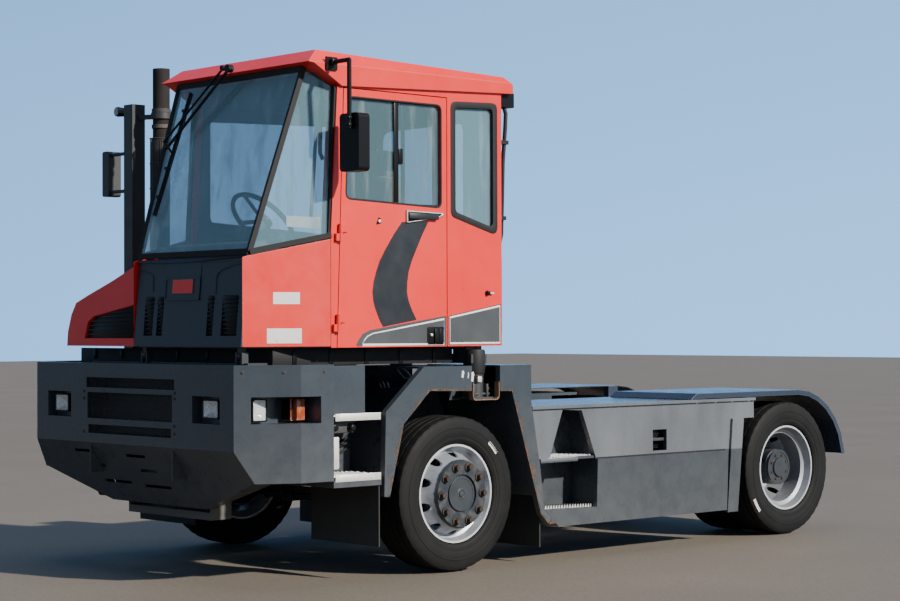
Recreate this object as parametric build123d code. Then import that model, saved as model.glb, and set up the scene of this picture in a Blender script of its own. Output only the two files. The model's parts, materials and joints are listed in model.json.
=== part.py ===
from build123d import *
import math
import os

os.makedirs("parts", exist_ok=True)

# Terminal tractor: a short yard truck that carries semi-trailers on a lifting fifth wheel.
# Millimetres. It faces -Y, its left side is +X, +Z is up and the wheels stand on Z = 0.

# Driving dimensions of the whole vehicle
wheelbase = 3200
front_overhang = 1554
rear_overhang = 640
half_width = 1245
overall_length = front_overhang + wheelbase + rear_overhang
front_axle_y = front_overhang - overall_length / 2
rear_axle_y = front_axle_y + wheelbase

# Clearances
seat_gap = 0.3
running_gap = 0.05
moving_gap = 6

# Wheels: 315/60 tyres on 22.5 inch steel rims
tyre_radius = 470
tyre_width = 300
bead_radius = 286
rim_width = 250
rim_lip_radius = 298
rim_wall = 12
front_wheel_x = 1060
rear_outer_x = 1069
dual_spacing = 340
stud_circle = 335
stud_count = 10
hand_hole_count = 10
front_hand_holes = (28, 488)
rear_hand_holes = (22, 452)
axle_z = tyre_radius

# Front axle and steering
kingpin_x = 905
kingpin_radius = 22
stub_radius = 40
beam_half_depth = 45
beam_low = 360
beam_high = 440
knuckle_eye_half = 55
steering_arm_x = kingpin_x
steering_arm_y = 180
tie_rod_z = 335
tie_rod_radius = 20
tie_pin_radius = 14

# Rear axle
rear_spindle_radius = 60
axle_tube_radius = 85
axle_bowl_radius = 215

# Frame
rail_outer_x = 430
rail_flange = 80
rail_wall = 10
rail_low = 580
rail_high = 840
rail_rear_high = 730
rail_front_y = front_axle_y - 1420
rail_rear_y = rear_axle_y + 360
rail_step_y = rear_axle_y - 1500
rail_step_end_y = rear_axle_y - 1250

# Lift boom, fifth wheel and lift cylinders
boom_pivot_y = rear_axle_y - 2250
boom_pivot_z = 740
boom_arm_inner = 250
boom_arm_outer = 330
boom_pin_radius = 30
pitch_y = rear_axle_y - 250
pitch_z = 800
pitch_pin_radius = 25
plate_top_z = 930
plate_skin = 15
plate_skirt_low = 880
plate_half_width = 450
plate_front_reach = 450
plate_rear_reach = 450
throat_radius = 26
cylinder_base_y = rear_axle_y - 1600
cylinder_base_z = 330
cylinder_x = 170
rod_eye_y = rear_axle_y - 650
rod_eye_z = 660
barrel_radius = 48
rod_radius = 28
cylinder_pin_radius = 20
rod_eye_slack = 6

# Bumper
bumper_front_y = front_axle_y - front_overhang
bumper_rear_y = front_axle_y - 994
bumper_corner_x = 1036
bumper_side_x = half_width - 10
bumper_top = 1265
bumper_fold_z = 780
bumper_side_low = 600
bumper_chin_y = front_axle_y - 1345
bumper_chin_z = 415
bumper_chin_x = 490
bumper_wall = 10

# Cab shell
cab_left_x = 1200
cab_right_x = -220
cab_wall = 44
cab_centre_x = (cab_left_x + cab_right_x) / 2
cab_floor_low = 1360
cab_floor_high = 1400
cab_rear_y = front_axle_y + 377
screen_foot_y = front_axle_y - 1440
screen_head_y = front_axle_y - 1100
screen_foot_z = 1905
screen_head_z = 2965
screen_foot_half = 540
screen_head_half = 606
pillar_y = front_axle_y - 977
pillar_foot_z = 2005
roof_edge_front_y = front_axle_y - 915
roof_edge_front_z = 2862
roof_edge_rear_y = front_axle_y + 463
roof_edge_rear_z = 2920
glass_thickness = 6
cab_hinge_y = front_axle_y - 1440
cab_hinge_z = 1315
cab_hinge_pin = 16

# Door
door_front_low_y = front_axle_y - 938
door_front_high_y = front_axle_y - 885
door_rear_y = front_axle_y - 85
door_top_z = 2855
door_hinge_radius = 14

nodes = {}


def block(x, y, z):
    """Box between a low and a high value along each axis."""
    spans = (x, y, z)
    size = [high - low for low, high in spans]
    centre = [(high + low) / 2 for low, high in spans]
    return Pos(*centre) * Box(*size)


def outline(points, radius=0):
    """Closed flat outline, with all its corners rounded to one radius."""
    face = make_face(Polyline(*points, close=True))
    if radius:
        face = fillet(face.vertices(), radius)
    return face


def side_profile(face, x_low, x_high):
    """A face drawn in side view, (y, z), given its width across the vehicle."""
    return extrude(Plane.YZ.offset(x_low) * face, amount=x_high - x_low)


def front_profile(face, y_low, y_high):
    """A face drawn in front view, (x, z), given its length along the vehicle."""
    return extrude(Plane.XZ.offset(-y_high) * face, amount=y_high - y_low)


def plan_profile(face, z_low, z_high):
    """A face drawn in plan, (x, y), given its height."""
    return extrude(Plane.XY.offset(z_low) * face, amount=z_high - z_low)


def tube(start, end, radius, bore=0):
    """Round bar between two points, or a tube where a bore is given."""
    run = Vector(*end) - Vector(*start)
    section = Circle(radius)
    if bore:
        section -= Circle(bore)
    return extrude(Plane(origin=start, z_dir=run) * section, amount=run.length)


def cross_bar(x_low, x_high, y, z, radius, bore=0):
    """Round bar across the vehicle."""
    return tube((x_low, y, z), (x_high, y, z), radius, bore)


def square_bar(start, end, width, depth):
    """Straight bar of rectangular section; its width lies level."""
    run = Vector(*end) - Vector(*start)
    level = Vector(0, 0, 1).cross(run)
    if level.length < 1:
        level = Vector(1, 0, 0)
    plane = Plane(origin=start, x_dir=level, z_dir=run)
    return extrude(plane * Rectangle(width, depth), amount=run.length)


def both_sides(shape):
    """The shape and its mirror image on the other side of the vehicle."""
    return shape + mirror(shape, about=Plane.YZ)


def other_side(shape):
    return mirror(shape, about=Plane.YZ)


def turned(points, centre_x, axle_y):
    """Solid turned about an axle from a section of (distance out, radius) edges."""
    plane = Plane(origin=(centre_x, axle_y, axle_z), x_dir=(1, 0, 0), z_dir=(0, -1, 0))
    axis = Axis((centre_x, axle_y, axle_z), (1, 0, 0))
    return revolve(plane * points, axis, 360)


def roof_edge_z(y):
    """Height of the roof's lower edge along the cab's side."""
    slope = (roof_edge_rear_z - roof_edge_front_z) / (roof_edge_rear_y - roof_edge_front_y)
    return roof_edge_front_z + slope * (y - roof_edge_front_y)


def door_front_y(z):
    """The door's front edge leans back with the windscreen pillar."""
    slope = (door_front_high_y - door_front_low_y) / (door_top_z - cab_floor_low)
    return door_front_low_y + slope * (z - cab_floor_low)


# Tyres and wheels

tread_half = 0.40 * tyre_width
shoulder_radius = tyre_radius - 20
tread_edge_radius = tyre_radius - 4
casing = 25


def tyre(centre_x, axle_y):
    """Hollow tyre; the section is given from the bead over the tread to the other bead."""
    half = tyre_width / 2
    foot = rim_width / 2 - 8
    right = [
        (foot - casing, bead_radius),
        (foot, bead_radius),
        (foot, rim_lip_radius + 1),
        (half, rim_lip_radius + 0.35 * (shoulder_radius - rim_lip_radius)),
        (half - 3, rim_lip_radius + 0.65 * (shoulder_radius - rim_lip_radius)),
        (tread_half + 18, shoulder_radius),
        (tread_half, tread_edge_radius),
        (0, tyre_radius),
    ]
    hollow = [(tread_half - casing, tyre_radius - 2 * casing), (half - casing, bead_radius + 2 * casing)]
    left = [(-x, radius) for x, radius in reversed(right[:-1])]
    hollow_left = [(-x, radius) for x, radius in reversed(hollow)]
    section = outline(right + left + hollow_left + hollow)
    return turned(section, centre_x, axle_y)


def rim_barrel(centre_x, axle_y):
    half = rim_width / 2
    seat = bead_radius - seat_gap
    flange = 8 - seat_gap
    section = outline(
        [
            (half, rim_lip_radius),
            (half - flange, rim_lip_radius),
            (half - flange, seat),
            (half - 45, seat - 4),
            (half - 60, seat - 30),
            (60 - half, seat - 30),
            (45 - half, seat - 4),
            (flange - half, seat),
            (flange - half, rim_lip_radius),
            (-half, rim_lip_radius),
            (60 - half, seat - 30 - rim_wall),
            (half - 60, seat - 30 - rim_wall),
            (half - 50, seat - 4 - rim_wall),
            (half, rim_lip_radius - rim_wall),
        ]
    )
    return turned(section, centre_x, axle_y)


barrel_inside = bead_radius - seat_gap - 30 - rim_wall / 2
hub_bore_radius = 95
disc_shoulder = 24


def wheel_disc(centre_x, axle_y, foot_x, face_x, bore, holes):
    """Dished disc from the rim's barrel to the flat face that the wheel nuts hold."""
    shoulder = stud_circle / 2 + disc_shoulder
    section = outline(
        [
            (foot_x, barrel_inside),
            (foot_x - rim_wall, barrel_inside),
            (face_x - rim_wall, shoulder),
            (face_x - rim_wall, bore),
            (face_x, bore),
            (face_x, shoulder + 6),
        ]
    )
    disc = turned(section, centre_x, axle_y)
    hole_radius, circle = holes
    for index in range(hand_hole_count):
        turn = math.radians(360 / hand_hole_count * (index + 0.5))
        y = axle_y + circle / 2 * math.cos(turn)
        z = axle_z + circle / 2 * math.sin(turn)
        low = centre_x + min(foot_x, face_x) - 40
        high = centre_x + max(foot_x, face_x) + 40
        disc -= cross_bar(low, high, y, z, hole_radius)
    return disc


def wheel_nuts(face_x, length, axle_y):
    nuts = []
    for index in range(stud_count):
        turn = math.radians(360 / stud_count * index)
        y = axle_y + stud_circle / 2 * math.cos(turn)
        z = axle_z + stud_circle / 2 * math.sin(turn)
        hexagon = Plane(origin=(face_x, y, z), z_dir=(1, 0, 0)) * RegularPolygon(16, 6)
        nuts.append(extrude(hexagon, amount=length))
    return nuts


def hub_ring(x_low, x_high, radius, bore, axle_y):
    return cross_bar(x_low, x_high, axle_y, axle_z, radius, bore)


front_disc_foot = 70
front_disc_face = rim_width / 2 + 53
front_hub_x = front_wheel_x + front_disc_face
front_recess_radius = 118
front_cap_radius = 104
front_flange_radius = 185
drum_face_x = front_wheel_x + 116
stub_end_x = front_hub_x - rim_wall - 10
drum_radius = 205
drum_wall = 12


def front_wheel():
    """Rim, convex disc, nuts, recessed hub cap and brake drum of the left front wheel."""
    wheel = rim_barrel(front_wheel_x, front_axle_y)
    disc_ends = (front_disc_foot, front_disc_face)
    wheel += wheel_disc(front_wheel_x, front_axle_y, *disc_ends, front_recess_radius, front_hand_holes)
    disc_back_x = front_hub_x - rim_wall
    hub_back = disc_back_x - 150
    bore = stub_radius + running_gap
    wheel += hub_ring(hub_back, disc_back_x, hub_bore_radius + 1, bore, front_axle_y)
    wheel += hub_ring(disc_back_x - 14, disc_back_x, front_flange_radius, bore, front_axle_y)
    drum_back = kingpin_x + 62
    wheel += hub_ring(drum_back, drum_face_x, drum_radius, drum_radius - drum_wall, front_axle_y)
    wheel += hub_ring(drum_face_x, drum_face_x + 14, drum_radius, bore, front_axle_y)
    wheel += hub_ring(disc_back_x - 6, disc_back_x + 4, front_cap_radius, 0, front_axle_y)
    wheel += hub_ring(disc_back_x, front_hub_x, 18, 0, front_axle_y)
    for nut in wheel_nuts(front_hub_x, 28, front_axle_y):
        wheel += nut
    return wheel


rear_inner_x = rear_outer_x - dual_spacing
rear_disc_x = (rear_outer_x + rear_inner_x) / 2
rear_disc_face = -dual_spacing / 2
rear_disc_foot = -45
rear_hub_reach = 228
rear_drum_back = 650


def rear_wheel():
    """Twin rims bolted back to back on one hub, with the brake drum inside them."""
    outer = rim_barrel(rear_outer_x, rear_axle_y)
    disc_ends = (rear_disc_foot, rear_disc_face + rim_wall)
    outer += wheel_disc(rear_outer_x, rear_axle_y, *disc_ends, hub_bore_radius, rear_hand_holes)
    inner = mirror(outer, about=Plane.YZ.offset(rear_disc_x))
    wheel = outer + inner
    bore = rear_spindle_radius + running_gap
    wheel += hub_ring(rear_disc_x - 200, rear_disc_x + rim_wall, hub_bore_radius + 1, bore, rear_axle_y)
    wheel += hub_ring(rear_disc_x - rim_wall - 14, rear_disc_x - rim_wall, drum_radius, bore, rear_axle_y)
    wheel += hub_ring(
        rear_drum_back, rear_disc_x - rim_wall - 14, drum_radius, drum_radius - drum_wall, rear_axle_y
    )
    reach_x = rear_disc_x + rear_hub_reach
    hub = hub_ring(rear_disc_x, reach_x, hub_bore_radius + 30, 0, rear_axle_y)
    hub = chamfer(hub.faces().sort_by(Axis.X)[-1].edges(), 25)
    hub -= hub_ring(rear_disc_x, rear_disc_x + 23, rear_spindle_radius + 3, 0, rear_axle_y)
    wheel += hub
    for nut in wheel_nuts(rear_disc_x + rim_wall, 28, rear_axle_y):
        wheel += nut
    return wheel


nodes["tyre_front_left"] = tyre(front_wheel_x, front_axle_y)
nodes["wheel_front_left"] = front_wheel()
nodes["tyres_rear_left"] = tyre(rear_outer_x, rear_axle_y) + tyre(rear_inner_x, rear_axle_y)
nodes["wheels_rear_left"] = rear_wheel()
for left_name in ("tyre_front_left", "wheel_front_left", "tyres_rear_left", "wheels_rear_left"):
    nodes[left_name.replace("left", "right")] = other_side(nodes[left_name])


# Front axle, knuckles, steering and springs

eye_low = axle_z - knuckle_eye_half
eye_high = axle_z + knuckle_eye_half
eye_radius = 46
ear_thickness = 26
yoke_half = 48
yoke_x = kingpin_x + 85
ear_gap = 1
beam_bend_x = 700
web_half = 14
beam_flange = 20
spring_x = 390
spring_half_width = 38
spring_reach = 740
spring_depth = 42
spring_seat_high = 470


def front_axle():
    """Forged beam, its ends raised to the kingpin eyes."""
    half = outline(
        [
            (0, beam_low),
            (beam_bend_x, beam_low),
            (kingpin_x - eye_radius - 30, eye_low),
            (kingpin_x - 10, eye_low),
            (kingpin_x - 10, eye_high),
            (kingpin_x - eye_radius, eye_high),
            (beam_bend_x - 40, beam_high),
            (0, beam_high),
        ]
    )
    beam = front_profile(half, front_axle_y - beam_half_depth, front_axle_y + beam_half_depth)
    groove_depth = beam_half_depth - web_half
    for side in (-1, 1):
        middle = front_axle_y + side * (web_half + groove_depth / 2)
        spread = groove_depth / 2
        beam -= block(
            (-1, beam_bend_x - 60),
            (middle - spread, middle + spread),
            (beam_low + beam_flange, beam_high - beam_flange),
        )
    eye = tube((kingpin_x, front_axle_y, eye_low), (kingpin_x, front_axle_y, eye_high), eye_radius)
    bore = tube(
        (kingpin_x, front_axle_y, eye_low - 1),
        (kingpin_x, front_axle_y, eye_high + 1),
        kingpin_radius + running_gap,
    )
    return both_sides(beam + eye - bore)


def knuckle():
    """Left knuckle: yoke ears, kingpin, stub axle and steering arm."""
    ear = outline(
        [(kingpin_x, -yoke_half), (yoke_x, -yoke_half), (yoke_x, yoke_half), (kingpin_x, yoke_half)]
    )
    ear += Pos(kingpin_x, 0) * Circle(eye_radius - 4)
    ear = Pos(0, front_axle_y, 0) * ear
    top_low = eye_high + ear_gap
    bottom_high = eye_low - ear_gap
    body = plan_profile(ear, top_low, top_low + ear_thickness)
    body += plan_profile(ear, bottom_high - ear_thickness, bottom_high)
    body += tube(
        (kingpin_x, front_axle_y, bottom_high - ear_thickness),
        (kingpin_x, front_axle_y, top_low + ear_thickness),
        kingpin_radius,
    )
    stem_x = kingpin_x + eye_radius + moving_gap
    body += block(
        (stem_x, yoke_x),
        (front_axle_y - yoke_half, front_axle_y + yoke_half),
        (bottom_high - ear_thickness, top_low + ear_thickness),
    )
    body += cross_bar(yoke_x - 5, stub_end_x, front_axle_y, axle_z, stub_radius)
    arm = square_bar(
        (kingpin_x, front_axle_y + 20, bottom_high - ear_thickness / 2),
        (steering_arm_x, front_axle_y + steering_arm_y, bottom_high - ear_thickness / 2),
        50,
        ear_thickness,
    )
    arm_y = front_axle_y + steering_arm_y
    boss = tube(
        (steering_arm_x, arm_y, bottom_high - ear_thickness),
        (steering_arm_x, arm_y, bottom_high),
        30,
    )
    pin = tube(
        (steering_arm_x, arm_y, tie_rod_z - tie_rod_radius - 4),
        (steering_arm_x, arm_y, bottom_high),
        tie_pin_radius,
    )
    return body + arm + boss + pin


def tie_rod():
    """Cross rod with an eye on each steering arm's pin."""
    y = front_axle_y + steering_arm_y
    low = tie_rod_z - tie_rod_radius
    high = tie_rod_z + tie_rod_radius
    rod = cross_bar(-steering_arm_x, steering_arm_x, y, tie_rod_z, tie_rod_radius - 5)
    for side in (-1, 1):
        x = side * steering_arm_x
        rod += tube((x, y, low), (x, y, high), tie_pin_radius + 12)
        rod -= tube((x, y, low - 1), (x, y, high + 1), tie_pin_radius + running_gap)
    return rod


def leaf_springs():
    """Leaf pack under each rail, held to the axle by a seat and a U-bolt plate."""
    end_z = rail_low - spring_depth / 2 - 12
    lower = ThreePointArc(
        (front_axle_y - spring_reach, end_z - spring_depth / 2),
        (front_axle_y, spring_seat_high),
        (front_axle_y + spring_reach, end_z - spring_depth / 2),
    )
    upper = ThreePointArc(
        (front_axle_y + spring_reach, end_z + spring_depth / 2),
        (front_axle_y, spring_seat_high + spring_depth),
        (front_axle_y - spring_reach, end_z + spring_depth / 2),
    )
    ends = (Line(lower @ 1, upper @ 0), Line(upper @ 1, lower @ 0))
    pack = side_profile(
        make_face([lower, ends[0], upper, ends[1]]),
        spring_x - spring_half_width,
        spring_x + spring_half_width,
    )
    for side in (-1, 1):
        y = front_axle_y + side * spring_reach
        pack += cross_bar(
            spring_x - spring_half_width, spring_x + spring_half_width, y, end_z, spring_depth / 2 + 4
        )
    seat_x = (spring_x - spring_half_width - 12, spring_x + spring_half_width + 12)
    seat_y = (front_axle_y - 65, front_axle_y + 65)
    pack += block(seat_x, seat_y, (beam_high + seat_gap, spring_seat_high + 8))
    clamp = block(seat_x, seat_y, (beam_low - 24, beam_low - seat_gap))
    for side in (-1, 1):
        for x in seat_x:
            leg = (x - 4, x + 4)
            y = front_axle_y + side * (beam_half_depth + 10)
            clamp += block(leg, (y - 8, y + 8), (beam_low - 24, spring_seat_high + 4))
    return both_sides(pack + clamp)


nodes["front_axle_beam"] = front_axle()
nodes["knuckle_left"] = knuckle()
nodes["knuckle_right"] = other_side(nodes["knuckle_left"])
nodes["tie_rod"] = tie_rod()
nodes["leaf_springs"] = leaf_springs()


# Rear axle and propeller shaft

spindle_root_x = rear_drum_back - 26
axle_pad_top = rail_low - seat_gap


def rear_axle():
    """Axle tubes, differential bowl, brake plates, spindles and rail pads."""
    axle = cross_bar(-spindle_root_x, spindle_root_x, rear_axle_y, axle_z, axle_tube_radius)
    reach_x = rear_disc_x + rim_wall + 6
    axle += cross_bar(-reach_x, reach_x, rear_axle_y, axle_z, rear_spindle_radius)
    for side in (-1, 1):
        low, high = sorted((side * (spindle_root_x - 20), side * spindle_root_x))
        axle += cross_bar(low, high, rear_axle_y, axle_z, drum_radius - 20)
        pad_low, pad_high = sorted((side * (rail_outer_x - rail_flange), side * rail_outer_x))
        axle += block((pad_low, pad_high), (rear_axle_y - 90, rear_axle_y + 90), (axle_z, axle_pad_top))
    bowl = cross_bar(-110, 110, rear_axle_y, axle_z, axle_bowl_radius)
    bowl = chamfer(bowl.edges().filter_by(GeomType.CIRCLE), 60)
    nose_y = rear_axle_y - axle_bowl_radius - 90
    nose = tube((0, rear_axle_y, axle_z), (0, nose_y, axle_z), 85)
    return axle + bowl + nose


shaft_front_y = front_axle_y + 860
shaft_front_z = 540
shaft_rear_y = rear_axle_y - axle_bowl_radius - 90 - seat_gap
nodes["rear_axle"] = rear_axle()


def propeller_shaft():
    """Shaft from the gearbox flange down to the rear axle's nose."""
    front_flange = tube(
        (0, shaft_front_y - 60 + seat_gap, shaft_front_z), (0, shaft_front_y - 30, shaft_front_z), 70
    )
    rear_flange = tube((0, shaft_rear_y, axle_z), (0, shaft_rear_y - 30, axle_z), 70)
    front_yoke = block(
        (-38, 38), (shaft_front_y - 30, shaft_front_y + 45), (shaft_front_z - 30, shaft_front_z + 30)
    )
    rear_yoke = block((-38, 38), (shaft_rear_y - 105, shaft_rear_y - 30), (axle_z - 30, axle_z + 30))
    middle = tube((0, shaft_front_y, shaft_front_z), (0, shaft_rear_y - 60, axle_z), 38)
    return front_flange + front_yoke + middle + rear_yoke + rear_flange


nodes["propeller_shaft"] = propeller_shaft()


# Frame

cross_members = [
    # middle y, low z, high z, depth along the vehicle
    (front_axle_y - 1400, 600, 820, 60),
    (boom_pivot_y + 70, 590, 640, 60),
    (cylinder_base_y, 585, 620, 90),
    (rear_axle_y + 300, 590, 720, 60),
]
hanger_reach = 40
tow_pin_y = front_axle_y - 1210
tow_pin_radius = 20
tow_low = 340
tow_high = 385


def rail():
    """Left rail: a channel that opens inwards and steps down at the rear."""
    side = outline(
        [
            (rail_front_y, rail_low),
            (rail_rear_y, rail_low),
            (rail_rear_y, rail_rear_high),
            (rail_step_end_y, rail_rear_high),
            (rail_step_y, rail_high),
            (rail_front_y, rail_high),
        ]
    )
    inside = offset(side, -rail_wall)
    channel = side_profile(side, rail_outer_x - rail_flange, rail_outer_x)
    channel -= side_profile(inside, rail_outer_x - rail_flange - 1, rail_outer_x - rail_wall)
    return channel


def frame_rails():
    frame = both_sides(rail())
    for middle, low, high, depth in cross_members:
        frame += block(
            (-rail_outer_x + 2, rail_outer_x - 2), (middle - depth / 2, middle + depth / 2), (low, high)
        )
    # Spring hangers
    for side in (-1, 1):
        y = front_axle_y + side * (spring_reach + spring_depth / 2 + 4 + seat_gap + 20)
        hanger = block(
            (spring_x - spring_half_width, spring_x + spring_half_width),
            (y - 20, y + 20),
            (rail_low - 55, rail_low + 2),
        )
        frame += both_sides(hanger)
    # Boom pivot pins, and bosses on the webs
    pin = cross_bar(boom_arm_inner - 6, rail_outer_x - 2, boom_pivot_y, boom_pivot_z, boom_pin_radius)
    boss = cross_bar(boom_arm_outer + moving_gap, rail_outer_x - 2, boom_pivot_y, boom_pivot_z, 60)
    frame += both_sides(pin + boss)
    # Hangers for the lift cylinders below their cross-member
    for side in (-1, 1):
        for x in (cylinder_x - barrel_radius - 22, cylinder_x + barrel_radius + 6):
            low, high = sorted((side * x, side * (x + 16)))
            plate = outline(
                [
                    (cylinder_base_y - hanger_reach, cylinder_base_z - hanger_reach),
                    (cylinder_base_y + hanger_reach, cylinder_base_z - hanger_reach),
                    (cylinder_base_y + 45, 600),
                    (cylinder_base_y - 45, 600),
                ]
            )
            frame += side_profile(plate, low, high)
        low, high = sorted(
            (side * (cylinder_x - barrel_radius - 22), side * (cylinder_x + barrel_radius + 22))
        )
        frame += cross_bar(low, high, cylinder_base_y, cylinder_base_z, cylinder_pin_radius)
    # Front posts that carry the cab's hinge beam
    post_x = (rail_outer_x + 40, rail_outer_x + 120)
    post_y = (cab_hinge_y + 60, cab_hinge_y + 124)
    frame += both_sides(block((rail_outer_x - 2, post_x[1]), post_y, (600, 800)))
    frame += both_sides(block(post_x, post_y, (600, hinge_beam_low - seat_gap)))
    # Towing bracket under the nose
    tow_y = (tow_pin_y - 60, tow_pin_y + 90)
    frame += block((-rail_outer_x, rail_outer_x), tow_y, (tow_low, tow_high))
    for side in (-1, 1):
        low, high = sorted((side * (rail_outer_x - rail_wall), side * rail_outer_x))
        frame += block((low, high), tow_y, (tow_high - 5, rail_low + 2))
    frame -= tube((0, tow_pin_y, tow_low - 1), (0, tow_pin_y, tow_high + 1), tow_pin_radius)
    return frame


hinge_beam_low = 1225
hinge_beam_high = 1275
nodes["frame_rails"] = frame_rails()


# Lift boom, fifth wheel and cylinders


def lift_boom():
    """Two plate arms on the frame pins, tied by cross tubes, with ears for the fifth wheel."""
    arm = outline(
        [
            (boom_pivot_y - 60, boom_pivot_z - 60),
            (boom_pivot_y + 60, boom_pivot_z - 80),
            (rod_eye_y - 150, rod_eye_z - 60),
            (rod_eye_y + 150, rod_eye_z - 50),
            (pitch_y + 150, rod_eye_z - 40),
            (pitch_y + 150, 700),
            (pitch_y + 60, pitch_z + 30),
            (pitch_y - 60, pitch_z + 30),
            (pitch_y - 130, 730),
            (pitch_y - 500, 730),
            (pitch_y - 640, 810),
            (boom_pivot_y + 100, 820),
            (boom_pivot_y - 60, boom_pivot_z + 60),
        ],
        12,
    )
    arm_solid = side_profile(arm, boom_arm_inner, boom_arm_outer)
    arm_solid -= cross_bar(
        boom_arm_inner - 1, boom_arm_outer + 1, boom_pivot_y, boom_pivot_z, boom_pin_radius + running_gap
    )
    arm_solid -= cross_bar(
        boom_arm_inner - 1, boom_arm_outer + 1, pitch_y, pitch_z, pitch_pin_radius + running_gap
    )
    boom = both_sides(arm_solid)
    for y, z, radius in (
        (boom_pivot_y + 300, 750, 45),
        (rod_eye_y - 330, 745, 45),
        (rod_eye_y, rod_eye_z, cylinder_pin_radius),
    ):
        boom += cross_bar(-boom_arm_inner - 2, boom_arm_inner + 2, y, z, radius)
    return boom


def fifth_wheel():
    """Coupling plate with a throat that opens rearwards, ribs below and two pivot lugs."""
    front_y = pitch_y - plate_front_reach
    rear_y = pitch_y + plate_rear_reach
    plan = outline(
        [
            (-plate_half_width, front_y + 180),
            (-plate_half_width + 150, front_y),
            (plate_half_width - 150, front_y),
            (plate_half_width, front_y + 180),
            (plate_half_width, rear_y - 160),
            (260, rear_y),
            (throat_radius, pitch_y + 110),
            (throat_radius, pitch_y),
            (-throat_radius, pitch_y),
            (-throat_radius, pitch_y + 110),
            (-260, rear_y),
            (-plate_half_width, rear_y - 160),
        ]
    )
    plan -= Pos(0, pitch_y) * Circle(throat_radius)
    plate = plan_profile(plan, plate_top_z - plate_skin, plate_top_z)
    rim = plan - offset(plan, -14)
    plate += plan_profile(rim, plate_skirt_low, plate_top_z - plate_skin + 1)
    for x in (-200, 200):
        plate += block((x - 8, x + 8), (front_y + 10, pitch_y + 200), (plate_skirt_low, plate_top_z - 1))
    plate += block(
        (-plate_half_width + 5, plate_half_width - 5),
        (pitch_y - 170, pitch_y - 154),
        (plate_skirt_low, plate_top_z - 1),
    )
    lug = outline(
        [
            (pitch_y - 90, plate_top_z - 5),
            (pitch_y - 40, pitch_z - 42),
            (pitch_y + 40, pitch_z - 42),
            (pitch_y + 90, plate_top_z - 5),
        ]
    )
    lug_high = boom_arm_inner - moving_gap
    lugs = side_profile(lug, lug_high - 60, lug_high)
    lugs += cross_bar(lug_high - 30, boom_arm_outer, pitch_y, pitch_z, pitch_pin_radius)
    return plate + both_sides(lugs)


cylinder_run = Vector(0, rod_eye_y - cylinder_base_y, rod_eye_z - cylinder_base_z)
cylinder_way = cylinder_run.normalized()
gland_at = 0.86
barrel_back = 60


def cylinder_point(x, distance):
    return (
        x,
        cylinder_base_y + cylinder_way.Y * distance,
        cylinder_base_z + cylinder_way.Z * distance,
    )


def lift_barrels():
    """Cylinder barrels, each with its base eye on the frame's pin."""
    gland = cylinder_run.length * gland_at
    barrels = None
    for x in (-cylinder_x, cylinder_x):
        barrel = tube(
            cylinder_point(x, barrel_back),
            cylinder_point(x, gland),
            barrel_radius,
            rod_radius + running_gap,
        )
        barrel += tube(cylinder_point(x, 20), cylinder_point(x, barrel_back + 10), barrel_radius)
        barrel += cross_bar(x - barrel_radius, x + barrel_radius, cylinder_base_y, cylinder_base_z, 38)
        pin_bore = cylinder_pin_radius + running_gap
        low, high = x - barrel_radius - 1, x + barrel_radius + 1
        barrel -= cross_bar(low, high, cylinder_base_y, cylinder_base_z, pin_bore)
        barrels = barrel if barrels is None else barrels + barrel
    return barrels


def lift_rods():
    """Piston rods; each eye is slack on the boom's cross shaft."""
    rods = None
    eye_bore = cylinder_pin_radius + rod_eye_slack
    for x in (-cylinder_x, cylinder_x):
        rod = tube(
            cylinder_point(x, 200), cylinder_point(x, cylinder_run.length - eye_bore - 4), rod_radius
        )
        rod += cross_bar(x - 34, x + 34, rod_eye_y, rod_eye_z, eye_bore + 16)
        rod -= cross_bar(x - 35, x + 35, rod_eye_y, rod_eye_z, eye_bore)
        rods = rod if rods is None else rods + rod
    return rods


nodes["lift_boom"] = lift_boom()
nodes["fifth_wheel"] = fifth_wheel()
nodes["lift_barrels"] = lift_barrels()
nodes["lift_rods"] = lift_rods()


# Engine, radiator

engine_half = 300
engine_front_y = front_axle_y - 760
engine_rear_y = front_axle_y + 420
engine_low = 480
engine_high = 1120


def engine():
    """Engine block and gearbox in their real place, with lugs on the rail webs."""
    body = block(
        (-engine_half, engine_half), (engine_front_y, engine_rear_y), (engine_low + 40, engine_high)
    )
    body = chamfer(body.edges().filter_by(Axis.Y), 60)
    gearbox_end = shaft_front_y - 60
    body += tube((0, engine_rear_y - 5, 600), (0, gearbox_end, 600), 150)
    for y in (engine_front_y + 160, engine_rear_y - 100):
        body += block(
            (-rail_outer_x + rail_wall + seat_gap, rail_outer_x - rail_wall - seat_gap),
            (y - 50, y + 50),
            (680, 740),
        )
    return body


radiator_half = 455
radiator_high = 1215
nodes["engine_block"] = engine()
radiator = block(
    (-radiator_half, radiator_half),
    (cab_hinge_y - 5, cab_hinge_y + 70),
    (rail_high + seat_gap, radiator_high),
)
for index in range(9):
    z = rail_high + 35 + index * 38
    radiator -= block(
        (-radiator_half + 30, radiator_half - 30), (cab_hinge_y - 6, cab_hinge_y + 8), (z, z + 22)
    )
nodes["radiator"] = radiator


# Bumper with its grille and lamps

mesh_length = 90
mesh_height = 52
mesh_strand = 7
grille_openings = [
    # low x, high x, low z, high z
    (-466, 462, 1116, 1177),
    (-455, 440, 928, 1086),
    (-445, 430, 837, 890),
]
front_lamp_x = (640, 905)
front_lamp_z = (930, 1086)
corner_lamp_y = (front_axle_y - 1469, front_axle_y - 1083)
corner_lamp_z = (934, 1086)
chin_slots = [
    # low x, high x, middle z
    (-650, -450, 724),
    (-560, -380, 636),
    (-470, -180, 540),
    (-96, 106, 712),
    (-15, 157, 624),
    (-45, 227, 528),
]
pocket_depth = 70


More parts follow.
